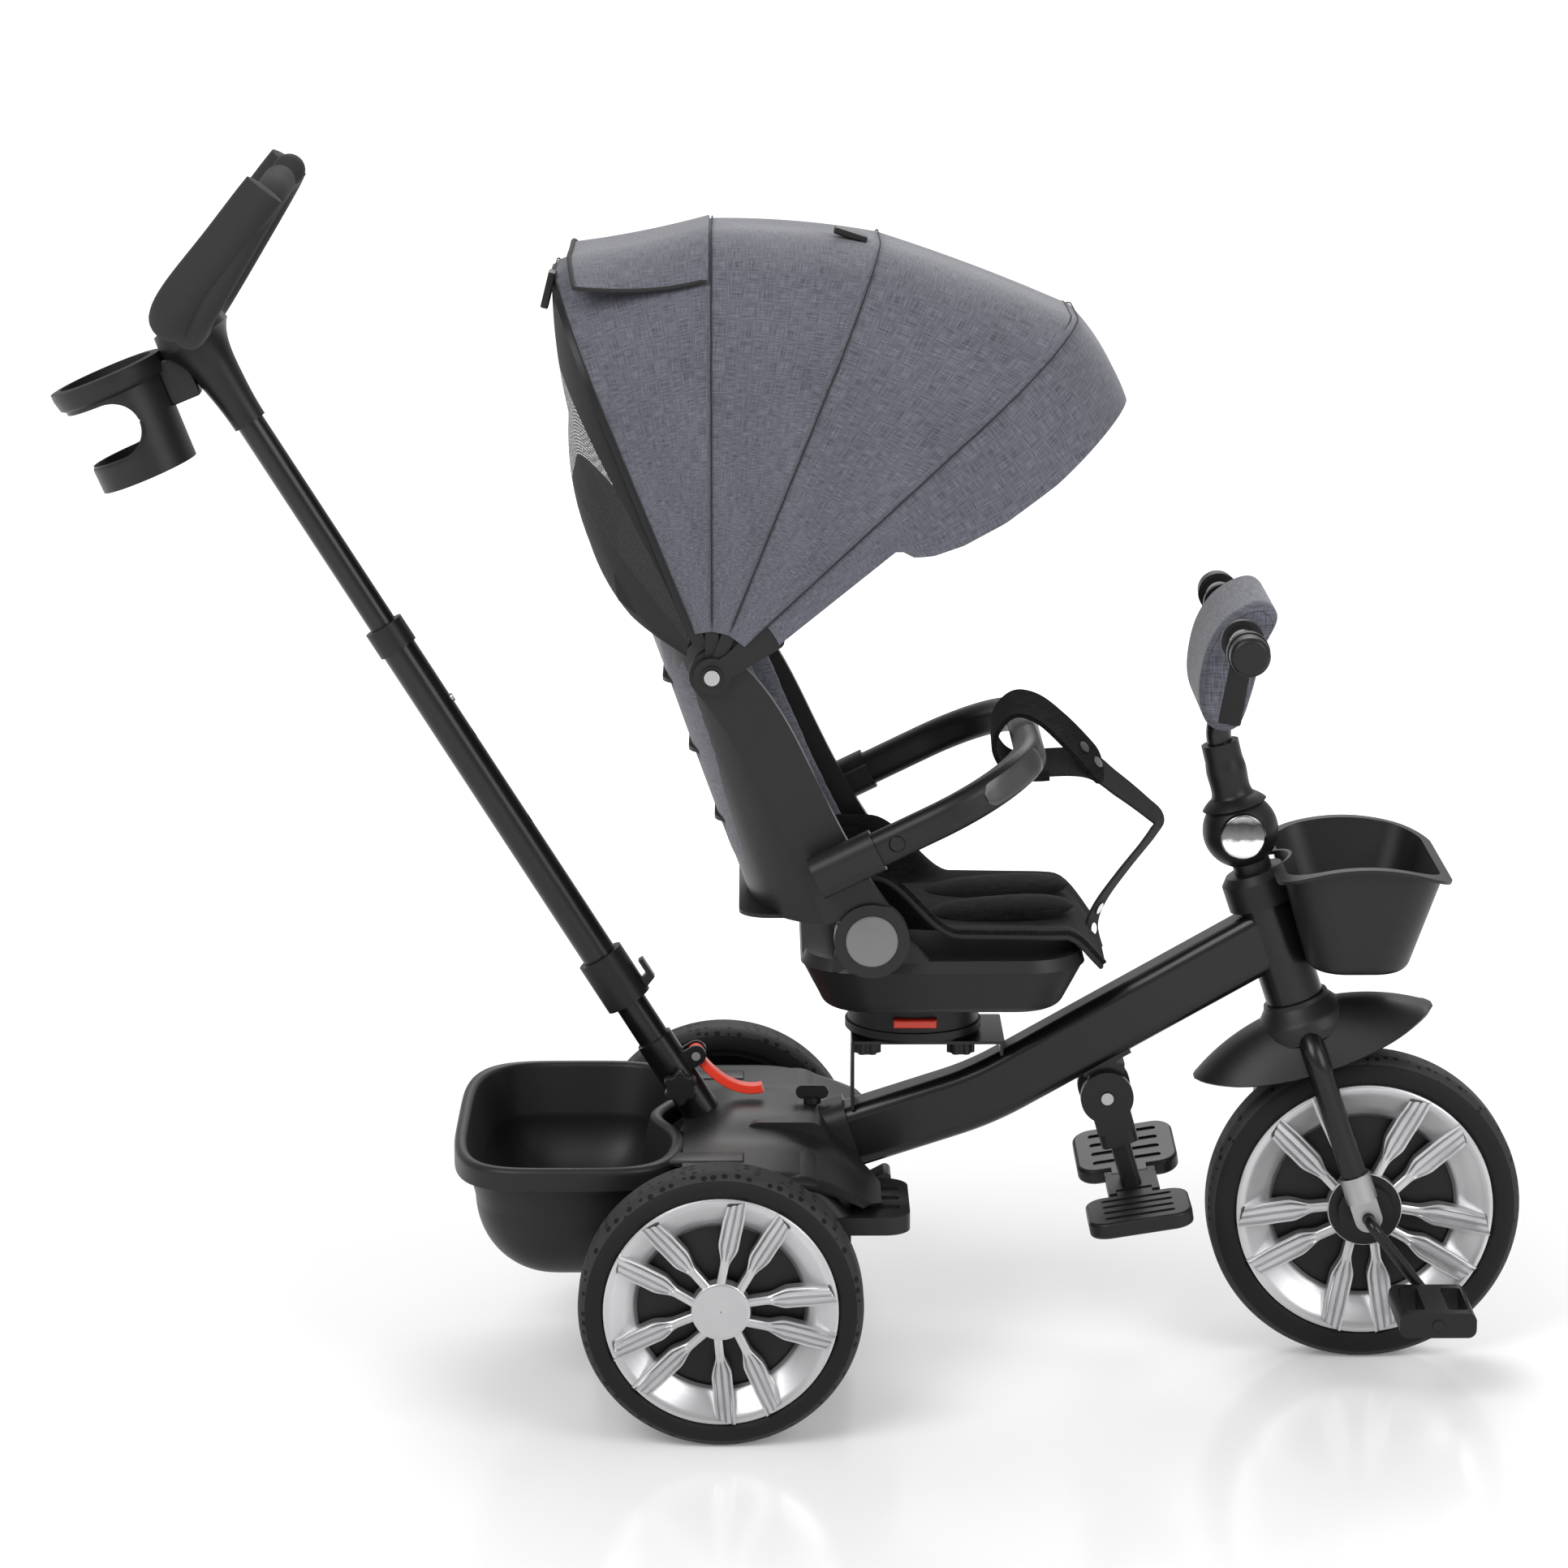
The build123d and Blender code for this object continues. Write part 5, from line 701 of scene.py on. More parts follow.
    @staticmethod
    def button(name: str, centre: Vector, axis: Vector, radius: float, height: float) -> bpy.types.Object:
        """A small domed screw head with a socket.

        Args:
            name: the piece's name.
            centre: middle of its foot.
            axis: the way it faces.
            radius: its radius.
            height: its height.

        Returns:
            The piece.
        """
        Bench.clear()
        bpy.ops.mesh.primitive_cylinder_add(vertices=24, radius=radius, depth=height)
        obj = bpy.context.object
        obj.name = name
        obj.data.name = name
        turn = Vector((0.0, 0.0, 1.0)).rotation_difference(axis.normalized()).to_matrix()
        bpy.ops.object.mode_set(mode="EDIT")
        bpy.ops.mesh.select_all(action="SELECT")
        bpy.ops.object.mode_set(mode="OBJECT")
        for face in obj.data.polygons:
            face.select = face.normal.z > 0.9
        bpy.ops.object.mode_set(mode="EDIT")
        bpy.ops.mesh.inset(thickness=0.3 * radius, depth=0.18 * height)
        bpy.ops.mesh.inset(thickness=0.16 * radius, depth=0.0)
        bpy.ops.mesh.inset(thickness=0.06 * radius, depth=-0.5 * height)
        bpy.ops.object.mode_set(mode="OBJECT")
        for vertex in obj.data.vertices:
            vertex.co = centre + turn @ (vertex.co + Vector((0.0, 0.0, 0.5 * height)))
        Bench.smooth(obj, 35.0)
        return obj

    @staticmethod
    def inflate(obj: bpy.types.Object, voxel: float, pressure: float, cap: float) -> None:
        """Swells a closed form as stuffed cloth and applies the result.

        Args:
            obj: the piece.
            voxel: size of the new faces.
            pressure: pressure inside.
            cap: how far a point may move.
        """
        Bench.apply(obj, "REMESH", mode="VOXEL", voxel_size=voxel)
        Bench.apply(obj, "SMOOTH", factor=0.5, iterations=6)
        start = [vertex.co.copy() for vertex in obj.data.vertices]
        Bench.only(obj)
        cloth = obj.modifiers.new("cloth", "CLOTH")
        cloth.settings.use_pressure = True
        cloth.settings.uniform_pressure_force = pressure
        cloth.settings.effector_weights.gravity = 0.0
        cloth.settings.quality = 5
        for number in range(1, 21):
            bpy.context.scene.frame_set(number)
        bpy.ops.object.modifier_apply(modifier=cloth.name)
        bpy.context.scene.frame_set(1)
        for vertex, before in zip(obj.data.vertices, start):
            move = vertex.co - before
            if move.length > cap:
                vertex.co = before + move * (cap / move.length)
        Bench.apply(obj, "SMOOTH", factor=0.5, iterations=3)
        Bench.apply(obj, "SUBSURF", levels=1, render_levels=1)
        Bench.smooth(obj, 60.0)


def ease(share: float) -> float:
    """Smooth step from 0 to 1."""
    share = min(1.0, max(0.0, share))
    return share * share * (3.0 - 2.0 * share)


def between(knots: Sequence[Sequence[float]], share: float) -> list[float]:
    """Values on straight runs between evenly spaced knots.

    Args:
        knots: rows of values.
        share: share of the way, from 0 to 1.

    Returns:
        The row of values there.
    """
    place = share * (len(knots) - 1)
    index = min(len(knots) - 2, int(place))
    return [a + (b - a) * (place - index) for a, b in zip(knots[index], knots[index + 1])]


def spline(before: Vector, first: Vector, second: Vector, after: Vector, share: float) -> Vector:
    """Point of a smooth line between two knots.

    Args:
        before: the knot ahead of the first.
        first: where the run starts.
        second: where the run ends.
        after: the knot behind the second.
        share: share of the run, from 0 to 1.

    Returns:
        The point.
    """
    return 0.5 * (2 * first + (second - before) * share
                  + (2 * before - 5 * first + 4 * second - after) * share ** 2
                  + (3 * first - before - 3 * second + after) * share ** 3)


@dataclass
class Canopy:
    """Folding hood: three panels between four bows, a visor, a rear flap and a net."""

    hub_x: float = -66 * MM
    hub_z: float = 582 * MM
    angles: tuple[float, ...] = (-22.0, 0.0, 22.0, 47.0)
    radii: tuple[float, ...] = (318 * MM, 327 * MM, 341 * MM, 380 * MM)
    halves: tuple[float, ...] = (129.9 * MM, 132.4 * MM, 134.8 * MM, 138.2 * MM)
    corner: float = 100 * MM
    off: float = 1.4 * MM
    cloth: float = 1.2 * MM
    low: float = 34 * MM
    hem_low: float = 57 * MM
    hem_widths: tuple[tuple[float, float], ...] = (
        (57, 17), (172, 25), (179, 38), (192, 47), (216, 57), (252, 66), (300, 71), (380, 73))
    seam_r: float = 0.55 * MM
    fullness: float = 2.6 * MM
    crease: float = 1.1 * MM
    visor_thick: float = 2.2 * MM
    peak_from: float = 300 * MM
    peak_run: float = 80 * MM
    peak_lift: float = 4 * MM
    peak_dip: float = 9 * MM
    rear_knots: tuple[tuple[float, ...], ...] = (
        (-22.6, 1.0, 128 * MM, 34 * MM, 1.0), (-30.0, 0.69, 129 * MM, 32 * MM, 0.85),
        (-45.0, 0.42, 126 * MM, 26 * MM, 0.6), (-57.0, 0.25, 121 * MM, 23 * MM, 0.42))
    rear_length: float = 0.72
    gusset_half: float = 119 * MM
    gusset_length: float = 0.12
    flap_length: float = 0.24
    flap_rest: float = 2.8 * MM
    flap_rise: float = 6 * MM
    flap_corner: float = 11 * MM
    bodies: tuple[str, ...] = ("backrest", "canopy_2", "canopy_3", "canopy_front")

    def arch(self, u: float, half: float, crown: float, low: float, corner: float) -> tuple[float, float]:
        """Point of an arch from its right foot over the crown to its left foot.

        Args:
            u: share of the way.
            half: half its width.
            crown: its height out from the pivots.
            low: where its feet start.
            corner: radius of its corners.

        Returns:
            The place across and the distance from the pivots.
        """
        leg = crown - corner - low
        bend = 0.5 * math.pi * corner
        flat = half - corner
        reach = leg + bend + flat
        way = (1.0 - abs(2.0 * u - 1.0)) * reach
        sign = -1.0 if u < 0.5 else 1.0
        if way < leg:
            return sign * half, low + way
        if way < leg + bend:
            turn = (way - leg) / corner
            return sign * (half - corner + corner * math.cos(turn)), crown - corner + corner * math.sin(turn)
        return sign * (half - corner - (way - leg - bend)), crown

    def point(self, angle: float, across: float, out: float) -> Vector:
        """Place of a point by its turn about the pivots."""
        turn = math.radians(angle)
        return Vector((self.hub_x + out * math.sin(turn), across, self.hub_z + out * math.cos(turn)))

    def edge(self, bow: int, u: float, lift: float, low: float) -> Vector:
        """Point over one bow, lifted off it."""
        across, out = self.arch(u, self.halves[bow] + lift, self.radii[bow] + lift, low, self.corner)
        return self.point(self.angles[bow], across, out)

    def length(self, bow: int, low: float) -> float:
        """Length of cloth over one bow."""
        return 2.0 * (self.radii[bow] - self.corner - low + 0.5 * math.pi * self.corner
                      + self.halves[bow] - self.corner)

    def panel(self, first: int) -> bpy.types.Object:
        """Cloth between one bow and the next.

        Args:
            first: number of the bow at its rear.

        Returns:
            The panel.
        """
        heart = Vector((self.hub_x, 0.0, self.hub_z))

        def mapping(u: float, v: float) -> Vector:
            """Point of the panel, a little full between the bows and gathered at the pivots.

            Args:
                u: share of the way over the bows.
                v: share of the way to the next bow.

            Returns:
                The point.
            """
            rear, front = (self.edge(bow, u, self.off, self.low) for bow in (first, first + 1))
            spot = rear.lerp(front, v)
            out = spot - heart
            full = 4.0 * v * (1.0 - v)
            crease = math.sin(37.0 * u + 5.0 * first) * math.sin(23.0 * u + 2.0)
            reach = out.length / self.radii[first]
            return spot + out.normalized() * (full * (self.fullness + self.crease * crease) * reach)

        name = f"canopy_panel_{first + 1}"
        size = (self.length(first, self.low), 0.13)
        obj = Bench.sheet(name, 96, 14, mapping, size)
        area = Bench.area(obj)
        Bench.apply(obj, "SOLIDIFY", thickness=self.cloth, offset=1.0)
        Bench.smooth(obj, 60.0)
        obj.data.materials.append(GREY_CLOTH.make())
        middle = 0.55 * self.radii[first]
        start = self.point(self.angles[first], 0.0, middle)
        end = self.point(self.angles[first + 1], 0.0, middle)
        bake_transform(obj)
        area / size[0]
        log.info("piece %s", name)
        return obj

    def hem(self, out: float) -> float:
        """Width of the peak beyond the front bow, by the distance from the pivots.

        Args:
            out: distance from the pivots.

        Returns:
            The width.
        """
        place = out / MM
        for (r0, w0), (r1, w1) in zip(self.hem_widths, self.hem_widths[1:]):
            if place <= r1:
                return (w0 + (w1 - w0) * max(0.0, place - r0) / (r1 - r0)) * MM
        return self.hem_widths[-1][1] * MM

    def visor_point(self, u: float, v: float) -> Vector:
        """Point of the peak: a narrow strip at its feet that widens into a rounded lobe.

        Args:
            u: share of the way over the front bow.
            v: share of the way to the peak's edge.

        Returns:
            The point.
        """
        half = self.halves[3] + self.off
        crown = self.radii[3] + self.off
        across, out = self.arch(u, half, crown, self.hem_low, self.corner)
        angle = self.angles[3] + math.degrees(self.hem(out) / out) * v
        flat = ease((out - self.peak_from) / self.peak_run)
        bow = (self.peak_lift * v - self.peak_dip * v * v) * flat
        return self.point(angle, across * (1.0 + 0.01 * v), out * (1.0 - 0.004 * v) + bow)

    def visor(self) -> None:
        """Peak in front of the front bow, thicker than the panels."""
        size = self.length(3, self.hem_low)
        obj = Bench.sheet("canopy_visor", 180, 12, self.visor_point, (size, 0.08))
        area = Bench.area(obj)
        Bench.apply(obj, "SOLIDIFY", thickness=self.visor_thick, offset=1.0)
        Bench.smooth(obj, 60.0)
        Bench.dress(obj, GREY_CLOTH, "canopy_front", "grey_cloth")
        area / size

    def rear_point(self, u: float, v: float) -> Vector:
        """Point of the rear face, from the rear bow down to the top of the back.

        Args:
            u: share of the way over the arch.
            v: share of the way down.

        Returns:
            The point.
        """
        angle, crown, half, low, round_share = between(self.rear_knots, v)
        height = crown * self.radii[0]
        corner = min(round_share * self.corner, height - low - 1 * MM)
        across, out = self.arch(u, half, height, low, corner)
        return self.point(angle, across, out)

    def rear(self) -> None:
        """Rear face in three sheets: a black border, the netting and a close lower band."""
        bands = (("canopy_rear_border", 0.0, 0.2, BINDING), ("canopy_rear_net", 0.2, 0.5, NET),
                 ("canopy_rear_band", 0.5, 1.0, BINDING))
        for name, start, end, finish in bands:
            def mapping(u: float, v: float, start: float = start, end: float = end) -> Vector:
                """Point of one band."""
                return self.rear_point(u, start + (end - start) * v)
            long = self.rear_length
            obj = Bench.sheet(name, 72, 14, mapping, (long, 0.26 * (end - start)))
            area = Bench.area(obj)
            Bench.dress(obj, finish, "backrest", "black_cloth")
            area / long

    def gussets(self) -> None:
        """Black cloth at both sides, between the pivot and the rear face."""
        long = self.gusset_length
        for side in Side:
            def mapping(u: float, v: float, sign: int = side.value) -> Vector:
                """Point of a gusset."""
                out = (26 + (128 - 64 * u) * v) * MM
                return self.point(self.angles[0] + 1.0 - 31.0 * u, sign * self.gusset_half, out)
            obj = Bench.sheet(f"canopy_gusset_{side.tag}", 20, 20, mapping, (long, 0.12))
            area = Bench.area(obj)
            Bench.dress(obj, BINDING, "backrest", "black_cloth")
            area / long

    def flap(self) -> None:
        """Loose flap that lies over the rear of the crown."""
        long = self.flap_length

        def mapping(u: float, v: float) -> Vector:
            """Point of the flap, lifted at its rear corners.

            Args:
                u: share of the way across.
                v: share of the way to the front.

            Returns:
                The point.
            """
            share = 0.345 + 0.31 * u
            side = abs(2.0 * u - 1.0) ** 3
            lift = self.off + self.flap_rest + (self.flap_rise + self.flap_corner * side) * (1.0 - v) ** 2
            front = self.edge(1, share, lift, self.low)
            rear = self.edge(0, share, lift, self.low)
            return rear.lerp(front, 0.12 + 0.86 * v)

        obj = Bench.sheet("canopy_flap", 48, 12, mapping, (long, 0.115))
        area = Bench.area(obj)
        Bench.apply(obj, "SOLIDIFY", thickness=self.cloth, offset=1.0)
        Bench.smooth(obj, 60.0)
        Bench.dress(obj, GREY_CLOTH, "backrest", "grey_cloth")
        area / long

        def border(w: float) -> Vector:
            """Bound edge round the rear and sides of the flap.

            Args:
                w: share of the way round.

            Returns:
                The point.
            """
            run = 3.0 * w
            if run < 1.0:
                spot = mapping(0.0, 1.0 - run)
            elif run < 2.0:
                spot = mapping(run - 1.0, 0.0)
            else:
                spot = mapping(1.0, run - 2.0)
            return spot + Vector((0.0, 0.0, 0.8 * MM))

        binding = Bench.tube("canopy_flap_binding", border, 1.7 * MM, 60)
        Bench.dress(binding, BINDING, "backrest", "black_cloth")

    def seams(self) -> None:
        """Piping over each bow."""
        for bow, body in enumerate(self.bodies):
            def line(w: float, bow: int = bow) -> Vector:
                """Line over the bow."""
                return self.edge(bow, w, self.off + self.cloth, self.low)
            seam = Bench.tube(f"canopy_seam_{bow + 1}", line, self.seam_r, 84)
            Bench.dress(seam, BINDING, body, "black_cloth")

    def build(self) -> None:
        """Builds the hood's soft pieces; the first stands for the plain cloth."""
        panels = [self.panel(first) for first in range(3)]
        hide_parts("canopy_cloth")
        self.visor()
        self.rear()
        self.gussets()
        self.flap()
        self.seams()


@dataclass
class Seat:
    """Soft goods of the seat: pad, back liner, strap and harness pads."""

    rear: float = 30 * MM
    front: float = 236 * MM
    half: float = 101 * MM
    top: float = 366 * MM
    strap_half: float = 15 * MM
    webbing_line: tuple[tuple[float, float], ...] = (
        (184, 485), (226, 485), (252, 468), (276, 449), (285, 439),
        (278, 425), (258, 399), (240, 373), (233, 353), (237, 334))
    loop_line: tuple[tuple[float, float], ...] = (
        (198, 482), (180, 482), (163, 489), (154, 506), (159, 523),
        (172, 533), (190, 528), (210, 511), (228, 492), (240, 478))
    webbing_width: float = 0.026
    taper_from: float = 190 * MM
    taper: float = 26 * MM
    wall: float = 46 * MM
    wall_least: float = 5 * MM
    wall_from: float = 58 * MM
    wall_run: float = 66 * MM
    crown: float = 4 * MM
    roll: float = 40 * MM
    roll_from: float = 206 * MM
    roll_run: float = 46 * MM
    harness_at: tuple[float, float] = (158 * MM, 36 * MM)
    harness_lift: float = 9 * MM
    harness_half: tuple[float, float, float] = (58 * MM, 27 * MM, 10 * MM)
    harness_tilt: float = 4 * MM

    def pad_point(self, u: float, v: float) -> Vector:
        """Point of the seat pad: raised at the sides near the back, rolled over the front edge.

        Args:
            u: share of the way across.
            v: share of the way to the front.

        Returns:
            The point.
        """
        x = self.rear + (self.front - self.rear) * v
        corner = max(0.0, x - self.taper_from) / (self.front - self.taper_from)
        half = self.half - self.taper * corner ** 2.2
        y = (2.0 * u - 1.0) * half
        edge = ease((abs(y) - 0.66 * half) / (0.34 * half))
        wall = self.wall * (1.0 - ease((x - self.wall_from) / self.wall_run)) + self.wall_least
        crown = self.crown * math.cos(0.5 * math.pi * y / half)
        roll = -self.roll * ease((x - self.roll_from) / self.roll_run)
        z = self.top - 3 * MM * v + wall * edge + crown + roll
        return Vector((x, y, z))

    def pad(self) -> None:
        """Seat pad over the tray."""
        obj = Bench.sheet("seat_pad", 60, 60, self.pad_point, (0.21, 0.22), 5.5 * MM, -1.0)
        Bench.tidy(obj)
        Bench.smooth(obj, 50.0)
        Bench.dress(obj, BLACK_PAD, "seat", "black_cloth")
        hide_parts("seat_cushion")

        def rim(w: float) -> Vector:
            """Bound edge round the pad.

            Args:
                w: share of the way round.

            Returns:
                The point.
            """
            run = 4.0 * min(w, 1.0)
            if run < 1.0:
                return self.pad_point(0.0, run)
            if run < 2.0:
                return self.pad_point(run - 1.0, 1.0)
            if run < 3.0:
                return self.pad_point(1.0, 3.0 - run)
            return self.pad_point(4.0 - run, 0.0)

        Bench.dress(Bench.tube("seat_pad_binding", rim, 2.2 * MM, 120), BINDING, "seat", "black_cloth")

    def harness(self) -> None:
        """Two shoulder pads that lie on the seat."""
        long, wide, tall = self.harness_half
        for side in Side:
            place = (self.harness_at[0], side.value * self.harness_at[1], self.top + self.harness_lift)
            middle = Vector(place)

            def mapping(u: float, v: float, middle: Vector = middle) -> Vector:
                """Point of a flat pillow, closed at both ends.

                Args:
                    u: share of the way along.
                    v: share of the way round.
                    middle: the pad's middle.

                Returns:
                    The point.
                """
                turn = 2.0 * math.pi * v
                along = math.cos(math.pi * u)
                girth = max(0.03, 1.0 - abs(along) ** 3.2)
                across = wide * girth ** 0.5 * math.cos(turn)
                up = tall * girth ** 0.6 * math.sin(turn)
                return middle + Vector((-long * along, across, up - self.harness_tilt * along))

            obj = Bench.sheet(f"harness_pad_{side.tag}", 28, 24, mapping, (0.12, 0.11))
            Bench.tidy(obj)
            Bench.smooth(obj, 60.0)
            Bench.dress(obj, BLACK_PAD, "seat", "black_cloth")

    def back(self) -> None:
        """Back liner, swelled as stuffed cloth."""
        obj = Bench.copy_node("back_cushion", "back_liner")
        Bench.inflate(obj, 5 * MM, 3.0, 5 * MM)
        Bench.dress(obj, GREY_PAD, "backrest", "grey_cloth")
        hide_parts("back_cushion")

    @staticmethod
    def curve(knots: Sequence[tuple[float, float]], w: float) -> Vector:
        """Point of a smooth line through knots in the middle plane.

        Args:
            knots: places forward and up, in millimetres.
            w: share of the way.

        Returns:
            The point.
        """
        spots = [Vector((x * MM, 0.0, z * MM)) for x, z in knots]
        place = min(1.0, max(0.0, w)) * (len(spots) - 1)
        index = min(len(spots) - 2, int(place))
        share = place - index
        first, second = spots[index], spots[index + 1]
        slope_a = 0.5 * (second - spots[max(0, index - 1)])
        slope_b = 0.5 * (spots[min(len(spots) - 1, index + 2)] - first)
        s2, s3 = share * share, share ** 3
        return ((2 * s3 - 3 * s2 + 1) * first + (s3 - 2 * s2 + share) * slope_a
                + (3 * s2 - 2 * s3) * second + (s3 - s2) * slope_b)

    def snaps(self, name: str, knots: Sequence[tuple[float, float]], shares: Sequence[float], body: str,
              lift: float, across: Vector) -> None:
        """Metal snaps along a strap.

        Args:
            name: start of their names.
            knots: the strap's line.
            shares: their places along it.
            body: the body that carries them.
            lift: half the strap's thickness.
            across: the way across the strap.
        """
        for number, share in enumerate(shares):
            spot = self.curve(knots, share)
            run = (self.curve(knots, share + 0.02) - spot).normalized()
            face = across.cross(run).normalized()
            face = face if face.x > 0 else -face
            snap = Bench.button(f"{name}_{number + 1}", spot + face * lift, face, 5.5 * MM, 2.2 * MM)
            Bench.dress(snap, NICKEL, body, "plated_steel")

    def strap(self) -> None:
        """Crotch strap: padded loop round the guard bar, webbing down to the seat, and snaps."""

        def across_at(v: float) -> Vector:
            """Way across the webbing, which rolls over at the fold."""
            share = ease((v - 0.34) / 0.16)
            return Vector((0.45 * share, 0.80, 0.58 * (1.0 - share))).normalized()

        def webbing(u: float, v: float) -> Vector:
            """Point of the webbing, wide at the top and narrower below."""
            half = self.strap_half * (0.95 - 0.25 * ease((v - 0.1) / 0.3))
            return self.curve(self.webbing_line, v) + across_at(v) * ((2.0 * u - 1.0) * half)

        obj = Bench.sheet("crotch_webbing", 8, 96, webbing, (self.webbing_width, 0.26))
        area = Bench.area(obj)
        Bench.apply(obj, "SOLIDIFY", thickness=2.4 * MM, offset=0.0)
        Bench.smooth(obj, 50.0)
        obj.data.materials.append(BINDING.make())
        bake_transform(obj)
        area / self.webbing_width
        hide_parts("crotch_strap")

        def loop(u: float, v: float) -> Vector:
            """Point of the loop, whose tongue is rounded and leans to the near side.

            Args:
                u: share of the way across.
                v: share of the way along.

            Returns:
                The point.
            """
            lean = math.radians(20.0 + 18.0 * ease((v - 0.5) / 0.4))
            tongue = math.sqrt(max(0.05, 1.0 - max(0.0, (v - 0.93) / 0.07) ** 2))
            half = (self.strap_half + 2.5 * MM) * tongue
            across = Vector((0.0, math.cos(lean), math.sin(lean)))
            return self.curve(self.loop_line, v) + across * ((2.0 * u - 1.0) * half)

        wrap = Bench.sheet("crotch_wrap", 10, 90, loop, (0.035, 0.15), 4.0 * MM, 0.0)
        Bench.smooth(wrap, 50.0)
        Bench.dress(wrap, BLACK_PAD, "backrest", "black_cloth")
        self.snaps("loop_snap", self.loop_line, (0.86, 0.94), "backrest", 2.0 * MM, Vector((0.0, 0.79, 0.62)))
        self.snaps("strap_snap", self.webbing_line, (0.80, 0.90), "seat", 1.2 * MM, Vector((0.45, 0.80, 0.0)))

    def build(self) -> None:
        """Builds the seat's soft goods."""
        self.pad()
        self.harness()
        self.back()
        self.strap()


@dataclass
class Handlebar:
    """Soft pad round the handlebar: a grey cover, its two ends and their straps."""

    half: float = 62 * MM
    middle: tuple[float, float] = (338 * MM, 574 * MM)
    section: tuple[tuple[float, float], ...] = (
        (362, 623), (348, 622), (329, 609), (316, 586), (311, 554), (316, 532),
        (328, 524), (341, 528), (350, 552), (359, 588), (369, 611))
    strap_at: tuple[float, float, float] = (338 * MM, 61 * MM, 556 * MM)
    strap_half: tuple[float, float, float] = (9 * MM, 2.5 * MM, 28 * MM)
    strap_tilt: float = 9.0

    def around(self, u: float, scale: float, y: float) -> Vector:
        """Point of the closed section, drawn in about its middle.

        Args:
            u: share of the way round.
            scale: size of the section, 1 for its full size.
            y: place across the tricycle.

        Returns:
            The point.
        """
        count = len(self.section)
        place = (u % 1.0) * count
        index = int(place)
        knots = [Vector((*self.section[(index + step) % count], 0.0)) * MM for step in (-1, 0, 1, 2)]
        spot = spline(*knots, place - index)
        x = self.middle[0] + (spot.x - self.middle[0]) * scale
        z = self.middle[1] + (spot.y - self.middle[1]) * scale
        return Vector((x, y, z))

    def build(self) -> None:
        """Builds the cover, its two ends and a strap at each."""

        def cover(u: float, v: float) -> Vector:
            """Point of the cover, rolled in at both ends.

            Args:
                u: share of the way round.
                v: share of the way along.

            Returns:
                The point.
            """
            run = abs(2.0 * v - 1.0)
            roll = max(0.0, run - 0.9) / 0.1
            return self.around(u, 1.0 - 0.12 * roll ** 2.5, (2.0 * v - 1.0) * self.half)

        obj = Bench.sheet("handlebar_cover", 88, 40, cover, (0.28, 0.124))
        Bench.tidy(obj)
        Bench.apply(obj, "SOLIDIFY", thickness=2.0 * MM, offset=0.0)
        Bench.smooth(obj, 60.0)
        Bench.dress(obj, GREY_PAD, "handlebar", "grey_cloth")
        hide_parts("handlebar_pad")
        for side in Side:
            def end(u: float, v: float, sign: int = side.value) -> Vector:
                """Point of an end, hollowed towards the tube."""
                return self.around(u, 0.05 + 0.83 * v, sign * (self.half + 1.5 * MM * (1.0 - v)))

            cap = Bench.sheet(f"handlebar_end_{side.tag}", 88, 10, end, (0.28, 0.04))
            Bench.tidy(cap)
            Bench.dress(cap, GREY_PAD, "handlebar", "grey_cloth")
            x, y, z = self.strap_at
            strap = Bench.block(f"handlebar_strap_{side.tag}", Vector((x, side.value * y, z)),
                                self.strap_half, self.strap_tilt, 2 * MM)
            Bench.dress(strap, BINDING, "handlebar", "black_cloth")


@dataclass
class Hardware:
    """Screw heads on the joints."""

    def build(self) -> None:
        """Places a pair of screw heads at each joint."""
        spots = (
            ("pivot_screw", (-66, 142.6, 582), 7.0, "backrest"),
            ("footrest_screw", (246, 24.4, 218), 6.0, "footrest"),
            ("lever_screw", (-80.4, 9.4, 249.7), 4.6, "frame"),
        )
        for name, (x, y, z), radius, body in spots:
            for side in Side:
                foot = Vector((x, side.value * y, z)) * MM
                way = Vector((0.0, side.value, 0.0))
                screw = Bench.button(f"{name}_{side.tag}", foot, way, radius * MM, 3.2 * MM)
                Bench.dress(screw, ZINC, body, "plated_steel")


